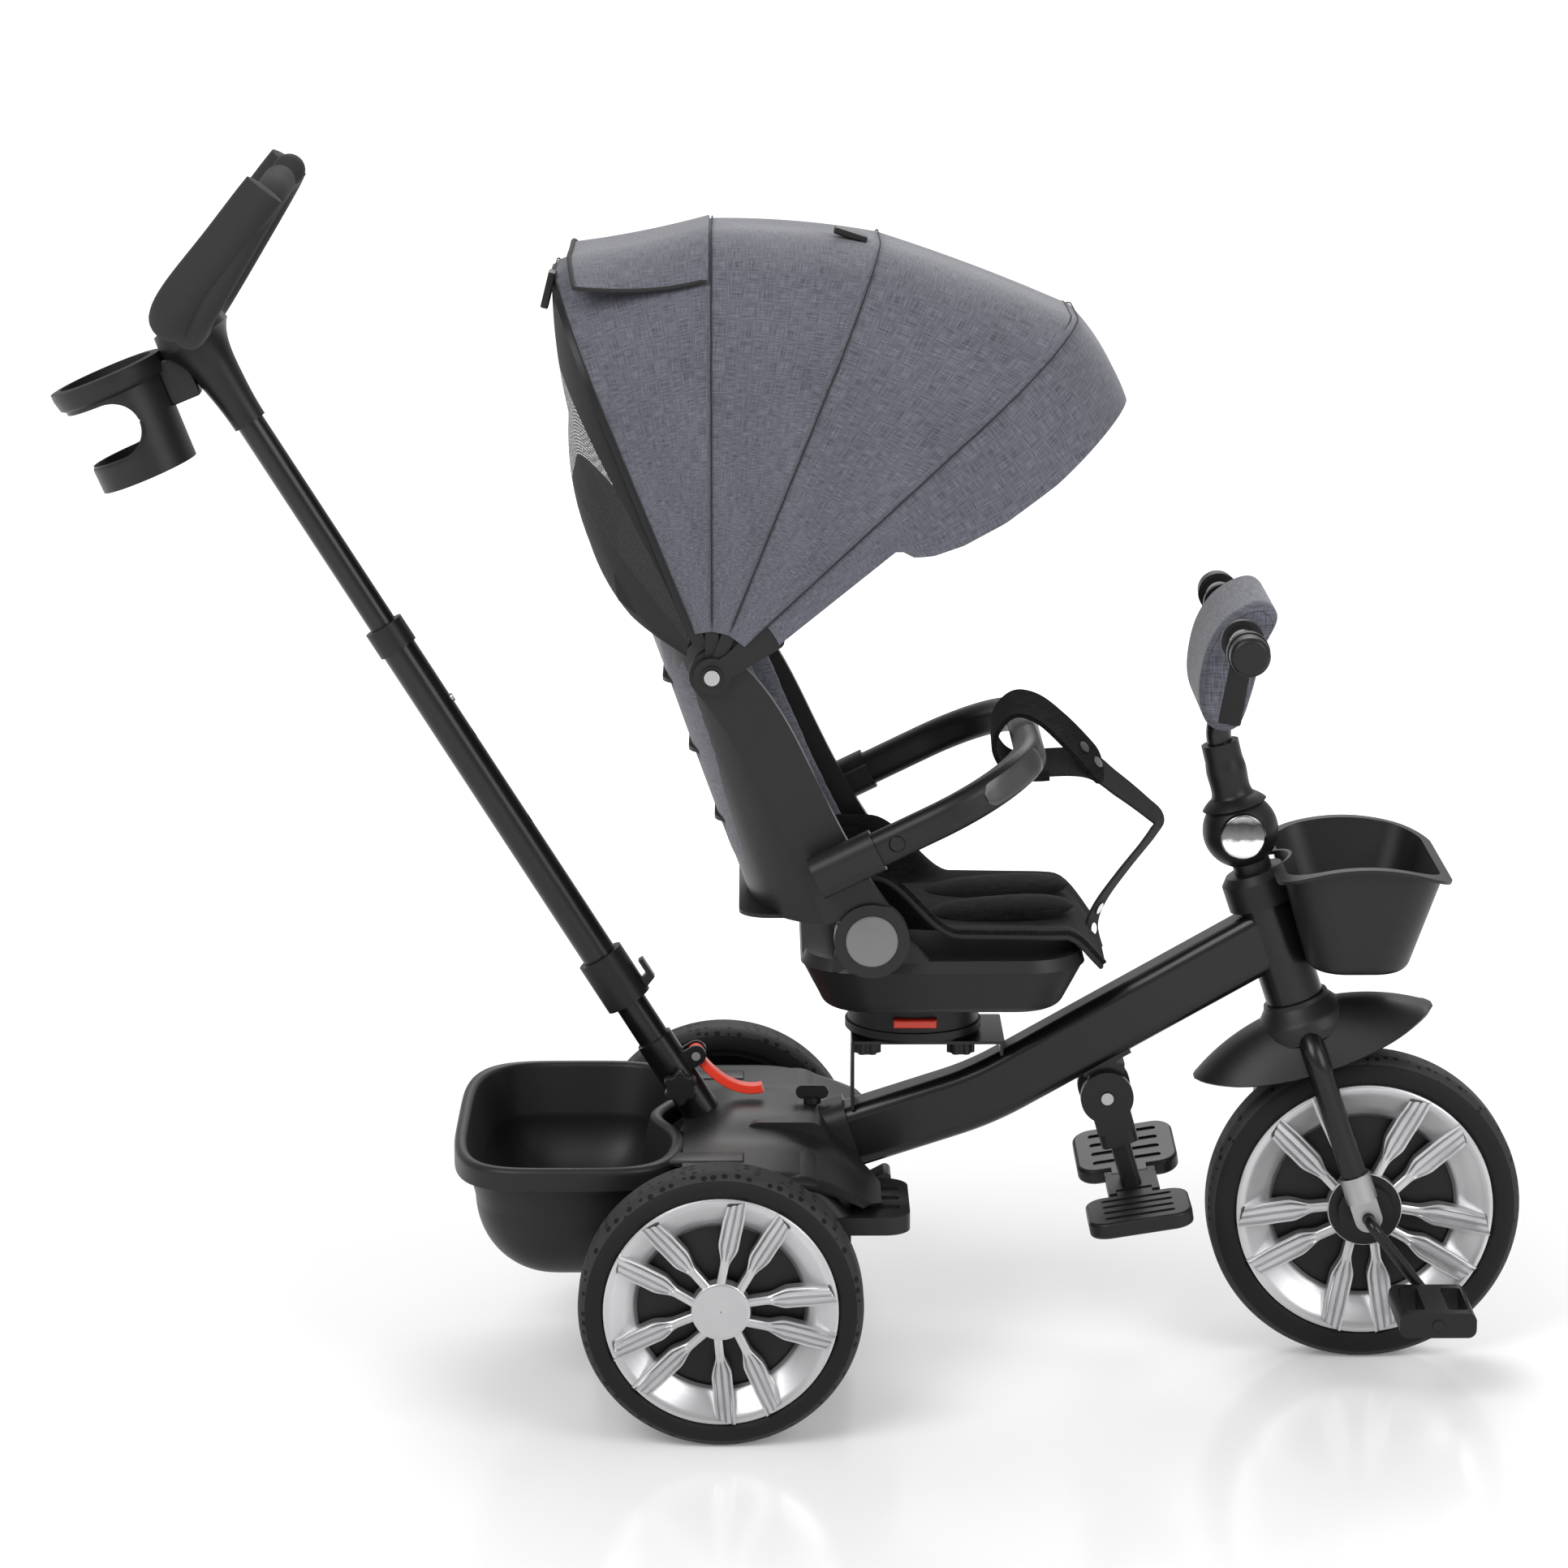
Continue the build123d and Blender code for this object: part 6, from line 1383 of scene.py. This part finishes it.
@dataclass
class WheelCover:
    """Silver wheel cover: dished ring, five pairs of ribbed spokes and a cap."""

    name: str
    node: str
    body: str
    centre: tuple[float, float, float]
    rim_r: float
    cap_r: float
    sides: tuple[Side, ...]
    capped: bool = True
    half: float = 19 * MM
    pairs: int = 5
    first_turn: float = 69.0
    dish: tuple[tuple[float, float], ...] = (
        (1.0, 0.4), (0.995, 2.6), (0.975, 3.4), (0.93, 2.2), (0.87, -1.0), (0.80, -5.0),
        (0.735, -9.5), (0.71, -13.0))

    def place(self, side: Side, along: float, lateral: float, out: float, turn: float) -> Vector:
        """Point of a spoke from its run along and across a turned line.

        Args:
            side: the side it faces.
            along: distance along the line.
            lateral: distance across it.
            out: distance from the wheel's middle plane.
            turn: the line's turn, in degrees.

        Returns:
            The point.
        """
        angle = math.radians(turn)
        x = along * math.cos(angle) - lateral * math.sin(angle)
        z = along * math.sin(angle) + lateral * math.cos(angle)
        return Vector(self.centre) + Vector((x, side.value * out, z))

    def ring(self, side: Side) -> bpy.types.Object:
        """Dished ring from the rim to the spokes' roots.

        Args:
            side: the side it faces.

        Returns:
            The ring.
        """

        def mapping(u: float, v: float) -> Vector:
            """Point of the ring."""
            share, out = between(self.dish, v)
            return self.place(side, share * self.rim_r, 0.0, self.half + out * MM, 360.0 * u)

        return Bench.sheet("ring", 120, 21, mapping, (0.6, 0.05))

    def spoke(self, side: Side, turn: float, hand: int) -> bpy.types.Object:
        """One spoke of a pair: narrow at the hub, broad and ribbed over the ring.

        Args:
            side: the side it faces.
            turn: the pair's turn, in degrees.
            hand: -1 or 1 for the two of a pair.

        Returns:
            The spoke.
        """

        def mapping(u: float, v: float) -> Vector:
            """Point of the spoke's skin, with a skirt on each side.

            Args:
                u: share of the way out from the hub.
                v: share of the way across.

            Returns:
                The point.
            """
            along = (0.22 + 0.72 * u) * self.rim_r
            lateral = hand * (0.085 + 0.125 * u) * self.rim_r
            wide = (0.036 + 0.052 * ease((u - 0.22) / 0.26) - 0.016 * ease((u - 0.7) / 0.3)) * self.rim_r
            top = self.half + (1.0 - 2.2 * math.sin(math.pi * min(1.0, u / 0.9)) + 3.4 * u * u) * MM
            skirt = max(0.0, abs(2.0 * v - 1.0) - 0.84) / 0.16
            across = min(1.0, abs(2.0 * v - 1.0) / 0.84) * (1.0 if v > 0.5 else -1.0)
            ribs = max(0.0, math.cos(3.0 * math.pi * across)) ** 3 * ease((u - 0.24) / 0.16)
            slant = 0.05 * self.rim_r * across * hand * ease((u - 0.6) / 0.4)
            crown = 1.1 * MM * (1.0 - across * across)
            out = top + crown + 2.4 * MM * ribs - 11.0 * MM * skirt
            return self.place(side, along - slant, lateral + across * wide, out, turn)

        return Bench.sheet("spoke", 30, 50, mapping, (0.08, 0.02))

    def cap(self, side: Side) -> bpy.types.Object:
        """Domed cap over the hub, or a plain collar where the hub shows.

        Args:
            side: the side it faces.

        Returns:
            The cap.
        """
        inner = 0.02 if self.capped else 0.86

        def mapping(u: float, v: float) -> Vector:
            """Point of the cap.

            Args:
                u: share of the way round.
                v: share of the way out.

            Returns:
                The point.
            """
            radius = self.cap_r * (inner + (1.0 - inner) * v)
            fall = max(0.0, v - 0.86) / 0.14
            rise = 2.6 - 2.2 * fall * fall - 8.0 * (v > 0.999)
            return self.place(side, radius, 0.0, self.half + rise * MM, 360.0 * u)

        return Bench.sheet("cap", 64, 20, mapping, (0.15, 0.02))

    def build(self) -> None:
        """Builds the cover's pieces, joins them and puts them in the node's place."""
        pieces = []
        for side in self.sides:
            pieces.append(self.ring(side))
            pieces.append(self.cap(side))
            for pair in range(self.pairs):
                turn = self.first_turn + 360.0 / self.pairs * pair
                pieces.extend(self.spoke(side, turn, hand) for hand in (-1, 1))
        obj = Bench.join(self.name, pieces)
        Bench.dress(obj, SILVER, self.body, "silver_plastic")
        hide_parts(self.node)


@dataclass
class FrontFender:
    """Front fender with rounded tips, deep sides and the bell under the head tube."""

    axle: tuple[float, float, float] = (453 * MM, 0.0, 125 * MM)
    crown_r: float = 171 * MM
    half: float = 46 * MM
    wall: float = 3 * MM
    crown_drop: float = 12 * MM
    side_drop: float = 33 * MM
    first: float = 72.5
    last: float = 142.5
    fork_at: float = 108.0
    lean: float = 18.6
    bell: tuple[tuple[float, float], ...] = (
        (39, 150), (39, 157), (36, 165), (30, 172), (27, 176), (26, 179.5), (15, 179.5))

    def skin(self, u: float, v: float) -> Vector:
        """Point of the fender, deepest at the fork and narrowed to round tips.

        Args:
            u: share of the way to the rear tip.
            v: share of the way across.

        Returns:
            The point.
        """
        angle = self.first + (self.last - self.first) * u
        across = 2.0 * v - 1.0
        narrow = max(0.02, 1.0 - abs(2.0 * u - 1.0) ** 5) ** 0.5
        depth = max(0.0, 1.0 - ((angle - self.fork_at) / 34.0) ** 2)
        drop = (self.crown_drop * narrow ** 2 + self.side_drop * depth) * abs(across) ** 2.4
        turn = math.radians(angle)
        radius = self.crown_r - drop
        out = Vector((radius * math.cos(turn), across * self.half * narrow, radius * math.sin(turn)))
        return Vector(self.axle) + out

    def crown(self, u: float, v: float) -> Vector:
        """Point of the bell, turned about the steering axis.

        Args:
            u: share of the way round.
            v: share of the way up its profile.

        Returns:
            The point.
        """
        radius, height = (value * MM for value in between(self.bell, v))
        tilt, turn = math.radians(self.lean), 2.0 * math.pi * u
        axis = Vector((-math.sin(tilt), 0.0, math.cos(tilt)))
        forward = Vector((math.cos(tilt), 0.0, math.sin(tilt)))
        return (Vector(self.axle) + axis * height + forward * (radius * math.cos(turn))
                + Vector((0.0, radius * math.sin(turn), 0.0)))

    def build(self) -> None:
        """Builds the fender and its bell as one piece."""
        skin = Bench.sheet("skin", 96, 40, self.skin, (0.25, 0.12), self.wall, 0.0)
        bell = Bench.sheet("bell", 64, 24, self.crown, (0.2, 0.05))
        obj = Bench.join("fender_moulding", [skin, bell], 50.0)
        Bench.dress(obj, SHELL_PLASTIC, "steer", "black_plastic")
        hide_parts("front_fender")


@dataclass
class RearBasket:
    """Rear basket: a tub with a wide radius round its floor, a rolled rim and two arms."""

    rear: float = -262 * MM
    front: float = -96 * MM
    half: float = 152 * MM
    low: float = 98 * MM
    rim: float = 199 * MM
    wall: float = 3 * MM
    draft: float = 9 * MM
    floor_r: float = 60 * MM
    lip: float = 7 * MM
    lip_tall: float = 13 * MM
    roll_r: float = 3 * MM
    notch: float = 20 * MM
    arm: tuple[float, float, float] = (30 * MM, 13 * MM, 2.5 * MM)
    arm_at: tuple[float, float] = (-72 * MM, 119 * MM)

    def outline(self, turn: float, inset: float, scale: float, height: float) -> Vector:
        """Point of the plan: a rounded oblong, drawn in round the pole at its front.

        Args:
            turn: turn round the middle, in radians.
            inset: how far the line lies inside the plan.
            scale: size about the middle.
            height: height of the point.

        Returns:
            The point.
        """
        middle = 0.5 * (self.rear + self.front)
        run, side = math.cos(turn), math.sin(turn)
        long, wide = 0.5 * (self.front - self.rear) - inset, self.half - inset
        reach = (abs(run / long) ** 4.2 + abs(side / wide) ** 4.2) ** (-1.0 / 4.2)
        pinch = self.notch * math.exp(-(reach * side / (40 * MM)) ** 2) if run > 0 else 0.0
        return Vector((middle + scale * (reach * run - pinch), scale * reach * side, height))

    def skin(self, u: float, v: float) -> Vector:
        """Point of the tub, from the middle of the floor to the rim's lower edge.

        Args:
            u: share of the way round.
            v: share of the way along the profile.

        Returns:
            The point.
        """
        turn = 2.0 * math.pi * u
        if v < 0.12:
            return self.outline(turn, self.draft + self.floor_r, v / 0.12, self.low)
        if v < 0.5:
            bend = 0.5 * math.pi * (v - 0.12) / 0.38
            inset = self.draft + self.floor_r * (1.0 - math.sin(bend))
            return self.outline(turn, inset, 1.0, self.low + self.floor_r * (1.0 - math.cos(bend)))
        if v < 0.8:
            share = (v - 0.5) / 0.3
            high = self.low + self.floor_r
            height = high + (self.rim - self.roll_r - high) * share
            return self.outline(turn, self.draft * (1.0 - share), 1.0, height)
        bend = math.pi * min(1.0, (v - 0.8) / 0.12)
        roll = 0.5 * self.lip * (1.0 - math.cos(bend))
        fall = max(0.0, v - 0.92) / 0.08 * self.lip_tall
        return self.outline(turn, -roll, 1.0, self.rim - self.roll_r + self.roll_r * math.sin(bend) - fall)

    def build(self) -> None:
        """Builds the tub and its arms as one piece."""
        tub = Bench.sheet("tub", 180, 75, self.skin, (0.9, 0.3))
        Bench.tidy(tub)
        Bench.apply(tub, "SOLIDIFY", thickness=self.wall, offset=0.0)
        x, y = self.arm_at
        z = self.rim - self.arm[2]
        arms = [Bench.block("arm", Vector((x, side.value * y, z)), self.arm, 0.0, 2 * MM) for side in Side]
        obj = Bench.join("basket_moulding", [tub, *arms], 50.0)
        Bench.dress(obj, SHELL_PLASTIC, "frame", "black_plastic")
        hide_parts("rear_basket")


@dataclass
class HousingCover:
    """Smooth skin over the rear housing: two wings that fall to the steps and a hump under the pole."""

    rear: float = -90 * MM
    front: float = 64 * MM
    half: float = 166 * MM
    top: float = 196.5 * MM
    step: float = 164.2 * MM
    hump: float = 14 * MM
    hump_half: float = 62 * MM
    hump_rise: tuple[float, float] = (-92 * MM, 44 * MM)
    hump_fall: tuple[float, float] = (2 * MM, 40 * MM)
    fall_from: float = -34 * MM
    wing_from: float = 40 * MM
    wing_run: float = 40 * MM
    middle_cut: float = 16 * MM
    corner_cut: float = 14 * MM
    edge: float = 9 * MM

    def skin(self, u: float, v: float) -> Vector:
        """Point of the cover.

        Args:
            u: share of the way to the front.
            v: share of the way across.

        Returns:
            The point.
        """
        y = self.half * (2.0 * v - 1.0)
        out = abs(y) / self.half
        wing = ease((abs(y) - self.wing_from) / self.wing_run)
        reach = self.front - self.middle_cut * (1.0 - wing) - self.corner_cut * max(0.0, out - 0.8) / 0.2
        x = self.rear + (reach - self.rear) * u
        fall = max(0.0, x - self.fall_from) / (self.front - self.fall_from)
        z = self.top - (self.top - self.step) * fall ** 2.1
        rising, falling = (ease((x - start) / run) for start, run in (self.hump_rise, self.hump_fall))
        rise = self.hump * math.exp(-(y / self.hump_half) ** 4) * rising * (1.0 - falling)
        edge = self.edge * max(0.0, out - 0.92) / 0.08
        return Vector((x, y, z + rise - edge * (1.0 - fall)))

    def build(self) -> None:
        """Builds the cover."""
        obj = Bench.sheet("housing_cover", 60, 90, self.skin, (0.16, 0.33), 2.4 * MM, 0.0)
        Bench.dress(obj, SHELL_PLASTIC, "frame", "black_plastic")


@dataclass
class CupHolder:
    """Cup holder: a tilted cup whose wall is cut away in a rounded window."""

    top: tuple[float, float, float] = (-535.5 * MM, 0.0, 796 * MM)
    lean: float = 22.5
    radius: float = 39.5 * MM
    depth: float = 86 * MM
    wall: float = 2.6 * MM
    window_turn: float = 78.0
    window_end: float = 36.0
    window_at: float = 42 * MM
    window_half: float = 23 * MM
    flange: tuple[tuple[float, float], ...] = (
        (39, 0.5), (43, 0.0), (46, 0.6), (46, 6), (44, 15), (41, 17))
    lug: tuple[float, float, float] = (12 * MM, 10 * MM, 18 * MM)
    lug_reach: float = 11 * MM
    lug_down: float = 26 * MM

    def axes(self) -> tuple[Vector, Vector]:
        """Forward and upward ways of the tilted cup."""
        tilt = math.radians(self.lean)
        return Vector((math.cos(tilt), 0.0, math.sin(tilt))), Vector((-math.sin(tilt), 0.0, math.cos(tilt)))

    def place(self, turn: float, radius: float, down: float) -> Vector:
        """Point from a turn away from the rear, a radius and a depth.

        Args:
            turn: turn from the rear, in degrees.
            radius: distance from the cup's axis.
            down: depth below the top.

        Returns:
            The point.
        """
        forward, up = self.axes()
        angle = math.radians(turn)
        side = Vector((0.0, radius * math.sin(angle), 0.0))
        return Vector(self.top) - forward * (radius * math.cos(angle)) + side - up * down

    def window(self, turn: float, down: float) -> tuple[float, float, float]:
        """Place in the window's own measure; its length is 1 at the window's edge.

        Args:
            turn: turn from the rear, in degrees.
            down: depth below the top.

        Returns:
            The run past its straight part, the rise from its middle, and their length.
        """
        run = max(0.0, abs(turn) - self.window_turn) / self.window_end
        rise = (down - self.window_at) / self.window_half
        return run, rise, math.hypot(run, rise)

    def side(self, u: float, v: float) -> Vector:
        """Point of the wall; points near the window's edge are drawn on to it.

        Args:
            u: share of the way round.
            v: share of the way down.

        Returns:
            The point.
        """
        turn, down = 360.0 * u - 180.0, v * self.depth
        run, rise, size = self.window(turn, down)
        if 0.93 < size < 1.08:
            down = self.window_at + self.window_half * rise / size
            if run:
                turn = math.copysign(self.window_turn + self.window_end * run / size, turn)
        return self.place(turn, self.radius * (1.0 - 0.05 * v), down)

    def rim(self, u: float, v: float) -> Vector:
        """Point of the flange and its skirt."""
        radius, down = between(self.flange, v)
        return self.place(360.0 * u, radius * MM, down * MM)

    def base(self, u: float, v: float) -> Vector:
        """Point of the floor, open in the middle."""
        return self.place(360.0 * u, self.radius * (0.22 + 0.73 * v), self.depth - 1 * MM)

    def build(self) -> None:
        """Builds the wall, the flange, the floor and the lug as one piece."""
        forward, up = self.axes()
        wall = Bench.sheet("wall", 240, 80, self.side, (0.25, 0.086))
        Bench.only(wall)
        bpy.ops.object.mode_set(mode="EDIT")
        bpy.ops.mesh.select_mode(type="FACE")
        bpy.ops.mesh.select_all(action="DESELECT")
        bpy.ops.object.mode_set(mode="OBJECT")
        for face in wall.data.polygons:
            offset = face.center - Vector(self.top)
            turn = math.degrees(math.atan2(offset.y, -offset.dot(forward)))
            face.select = self.window(turn, -offset.dot(up))[2] < 0.99
        bpy.ops.object.mode_set(mode="EDIT")
        bpy.ops.mesh.delete(type="FACE")
        bpy.ops.mesh.select_mode(type="VERT")
        bpy.ops.object.mode_set(mode="OBJECT")
        Bench.tidy(wall)
        Bench.apply(wall, "SOLIDIFY", thickness=self.wall, offset=0.0)
        rim = Bench.sheet("rim", 96, 15, self.rim, (0.28, 0.03))
        base = Bench.sheet("base", 96, 8, self.base, (0.25, 0.03))
        middle = Vector(self.top) + forward * (self.radius + self.lug_reach) - up * self.lug_down
        lug = Bench.block("lug", middle, self.lug, -self.lean, 2 * MM)
        obj = Bench.join("cup_moulding", [wall, rim, base, lug], 50.0)
        Bench.dress(obj, SHELL_PLASTIC, "pole_upper", "black_plastic")
        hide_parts("cup_holder")


@dataclass
class GuardInlays:
    """Grey inlays on the guard bar's front corners."""

    foot: tuple[float, float] = (40 * MM, 440 * MM)
    lean: float = 26.0
    bend_reach: float = 70 * MM
    bend_y: float = 63 * MM
    radius: float = 96.2 * MM
    half_height: float = 9.5 * MM
    start: float = 27.0
    end: float = 72.0

    def build(self) -> None:
        """Builds an inlay for each side."""
        tilt = math.radians(self.lean)
        for side in Side:
            def mapping(u: float, v: float, sign: int = side.value) -> Vector:
                """Point of the inlay, rounded at both ends.

                Args:
                    u: share of the way round the corner.
                    v: share of the way up.
                    sign: the side, -1 or 1.

                Returns:
                    The point.
                """
                turn = math.radians(self.start + (self.end - self.start) * u)
                end = max(0.0, abs(2.0 * u - 1.0) - 0.78) / 0.22
                tall = self.half_height * math.sqrt(max(0.06, 1.0 - 0.8 * end * end)) * (2.0 * v - 1.0)
                bulge = 0.7 * MM * (1.0 - (2.0 * v - 1.0) ** 4)
                forward = self.bend_reach + (self.radius + bulge) * math.sin(turn)
                y = sign * (self.bend_y + (self.radius + bulge) * math.cos(turn))
                return Vector((self.foot[0] + forward * math.cos(tilt) - tall * math.sin(tilt), y,
                               self.foot[1] + forward * math.sin(tilt) + tall * math.cos(tilt)))

            obj = Bench.sheet(f"guard_inlay_{side.tag}", 40, 16, mapping, (0.08, 0.02))
            Bench.dress(obj, INLAY, "backrest", "grey_plastic")


@dataclass
class HandleSleeves:
    """Foam sleeves on both legs of the push handle."""

    knots: tuple[tuple[float, float, float], ...] = (
        (-470, 74, 841), (-473, 96, 849), (-462, 107, 868),
        (-432, 108, 905), (-408, 107, 936), (-398, 106, 949))
    radius: float = 16.2 * MM

    def build(self) -> None:
        """Builds a sleeve for each side."""
        for side in Side:
            spots = [Vector((x, side.value * y, z)) * MM for x, y, z in self.knots]

            def mapping(u: float, v: float, spots: list[Vector] = spots) -> Vector:
                """Point of the sleeve's skin, with a rounded foot and a cut top.

                Args:
                    u: share of the way along.
                    v: share of the way round.
                    spots: the leg's line.

                Returns:
                    The point.
                """
                place = u * (len(spots) - 1)
                index = min(len(spots) - 2, int(place))
                share = place - index
                before = spots[index - 1] if index else 2 * spots[0] - spots[1]
                after = spots[index + 2] if index + 2 < len(spots) else 2 * spots[-1] - spots[-2]
                first, second = spots[index], spots[index + 1]
                spot = spline(before, first, second, after, share)
                run = (second - before).normalized().lerp((after - first).normalized(), share).normalized()
                side_way = run.cross(Vector((0.0, 1.0, 0.0))).normalized()
                up = side_way.cross(run)
                foot = math.sqrt(max(0.02, 1.0 - max(0.0, 1.0 - u / 0.12) ** 2))
                top = 1.0 if u < 0.985 else 0.8 if u < 0.999 else 0.05
                turn = 2.0 * math.pi * v
                size = self.radius * foot * top * (1.0 + 0.06 * math.sin(math.pi * u))
                return spot + side_way * (size * math.cos(turn)) + up * (0.92 * size * math.sin(turn))

            obj = Bench.sheet(f"handle_sleeve_{side.tag}", 70, 28, mapping, (0.16, 0.1))
            Bench.tidy(obj)
            Bench.smooth(obj, 50.0)
            Bench.dress(obj, GRIP, "pole_upper", "grip_foam")


@dataclass
class Buckles:
    """Clips of the canopy's straps, at its rear edge and on its crown."""

    def build(self) -> None:
        """Places a clip at each spot."""
        spots = (("rear_clip", (-190, -52, 866), (3, 11, 14), 14.0, "backrest"),
                 ("crown_clip", (40, -38, 906), (13, 9, 2.6), 18.0, "canopy_3"))
        for name, place, size, tilt, body in spots:
            obj = Bench.block(name, Vector(place) * MM, Vector(size) * MM, tilt, 1.2 * MM)
            Bench.dress(obj, BLACK_PLASTIC, body, "black_plastic")


class Dresser:
    """Gives every hard node its finish."""

    table: dict[str, Finish] = {
        "black_paint": BLACK_PAINT,
        "black_plastic": BLACK_PLASTIC,
        "silver_plastic": SILVER,
        "tyre_rubber": REAR_TYRE,
        "red_plastic": RED,
        "grey_plastic": GREY_BUTTON,
        "bright_chrome": CHROME,
        "plated_steel": ZINC,
        "grip_foam": GRIP,
        "grey_cloth": GREY_PAD,
        "black_cloth": BLACK_PAD,
    }
    shells: tuple[str, ...] = (
        "rear_basket", "front_basket", "front_fender", "seat_back", "recline_arms", "seat_base", "seat_pan",
        "rear_housing", "cup_holder",
    )

    def build(self) -> None:
        """Sets each node's material from its slot in the record."""
        for row in frame["record"]["subparts"]:
            node = frame["nodes"].get(row["node"])
            if node is None:
                continue
            finish = SHELL_PLASTIC if row["node"] in self.shells else self.table[row["material_slot"]]
            finish = FRONT_TYRE if row["node"] == "front_tyre" else finish
            node.data.materials.clear()
            node.data.materials.append(finish.make())
            log.info("node %s as %s", row["node"], finish.name)


@dataclass
class Studio:
    """Pale floor, soft light and the camera."""

    camera_at: tuple[float, float, float] = (-0.039, -3.992, 1.342)
    pitch: float = 12.34
    yaw: float = -0.41
    lens: float = 119.13

    def floor(self) -> None:
        """Wide pale floor that shows white and keeps the shadow."""
        Bench.clear()
        bpy.ops.mesh.primitive_plane_add(size=60.0)
        plane = bpy.context.object
        plane.name = "floor"
        shader = Shader("pale_floor")
        rays = shader.node("ShaderNodeLightPath", output="Is Camera Ray")
        glossy = Wire(shader, rays.socket.node.outputs["Is Glossy Ray"])
        through = Wire(shader, rays.socket.node.outputs["Is Transmission Ray"])
        shader.link("Base Color", grey(0.82))
        shader.link("Roughness", 0.16)
        shader.link("Specular IOR Level", 0.4)
        shader.link("Emission Strength", 1.0)
        forward, side, _ = shader.axes(shader.place())
        far = shader.ramp((forward * forward + side * side) * 0.1, [(0.03, grey(0.0)), (0.3, grey(1.0))])
        shine = rays.high(glossy).high(through) * (0.15 + 0.55 * far)
        glow = shader.node("ShaderNodeCombineColor", {}, {0: shine, 1: shine, 2: shine})
        shader.link("Emission Color", glow)
        plane.data.materials.append(shader.material)

    def lamp(self, name: str, place: tuple[float, float, float], size: float, power: float) -> None:
        """One square soft lamp that faces the tricycle.

        Args:
            name: its name.
            place: where it hangs.
            size: length of its sides.
            power: its power in watts.
        """
        Bench.clear()
        bpy.ops.object.light_add(type="AREA", location=place)
        lamp = bpy.context.object
        lamp.name = name
        lamp.data.size = size
        lamp.data.energy = power
        aim = Vector((0.0, 0.0, 0.45)) - Vector(place)
        lamp.rotation_euler = aim.to_track_quat("-Z", "Y").to_euler()

    def build(self) -> None:
        """Sets the floor, the lamps, the world and the camera."""
        self.floor()
        self.lamp("key", (-2.2, -3.0, 3.6), 2.6, 130.0)
        self.lamp("fill", (2.8, -2.6, 2.4), 2.4, 70.0)
        self.lamp("rim", (0.4, 2.8, 3.2), 2.4, 80.0)
        world = bpy.data.worlds.new("soft_room")
        bpy.context.scene.world = world
        world.use_nodes = True
        world.node_tree.nodes["Background"].inputs["Color"].default_value = grey(1.0)
        world.node_tree.nodes["Background"].inputs["Strength"].default_value = 0.55
        Bench.clear()
        bpy.ops.object.camera_add(location=self.camera_at)
        camera = bpy.context.object
        camera.name = "photo_view"
        camera.rotation_euler = (math.radians(90.0 - self.pitch), 0.0, math.radians(self.yaw))
        camera.data.lens = self.lens
        camera.data.sensor_width = 36.0
        bpy.context.scene.camera = camera
        bpy.context.scene.view_settings.view_transform = "Standard"


def main() -> None:
    """Builds the classes in order."""
    logging.basicConfig(level=logging.INFO, format="%(name)s: %(message)s")
    near, both = (Side.RIGHT,), (Side.RIGHT, Side.LEFT)
    covers = (
        WheelCover("rear_cover_right", "rear_wheel_cover_right", "rear_wheel_right", (-0.06, -0.21, 0.109),
                   89.9 * MM, 23.5 * MM, near),
        WheelCover("rear_cover_left", "rear_wheel_cover_left", "rear_wheel_left", (-0.06, 0.21, 0.109),
                   89.9 * MM, 23.5 * MM, (Side.LEFT,)),
        WheelCover("front_covers", "front_wheel_covers", "front_wheel", (0.453, 0.0, 0.125),
                   102.9 * MM, 30.0 * MM, both, capped=False, first_turn=52.0),
    )
    parts = (
        Studio(), Dresser(), Canopy(), Seat(), Handlebar(), HandleSleeves(), GuardInlays(), FrontFender(),
        RearBasket(), HousingCover(), CupHolder(), *covers, Buckles(), Hardware(),
    )
    for part in parts:
        log.info("building %s", type(part).__name__)
        part.build()
    Bench.clear()


if __name__ == "__main__":
    main()
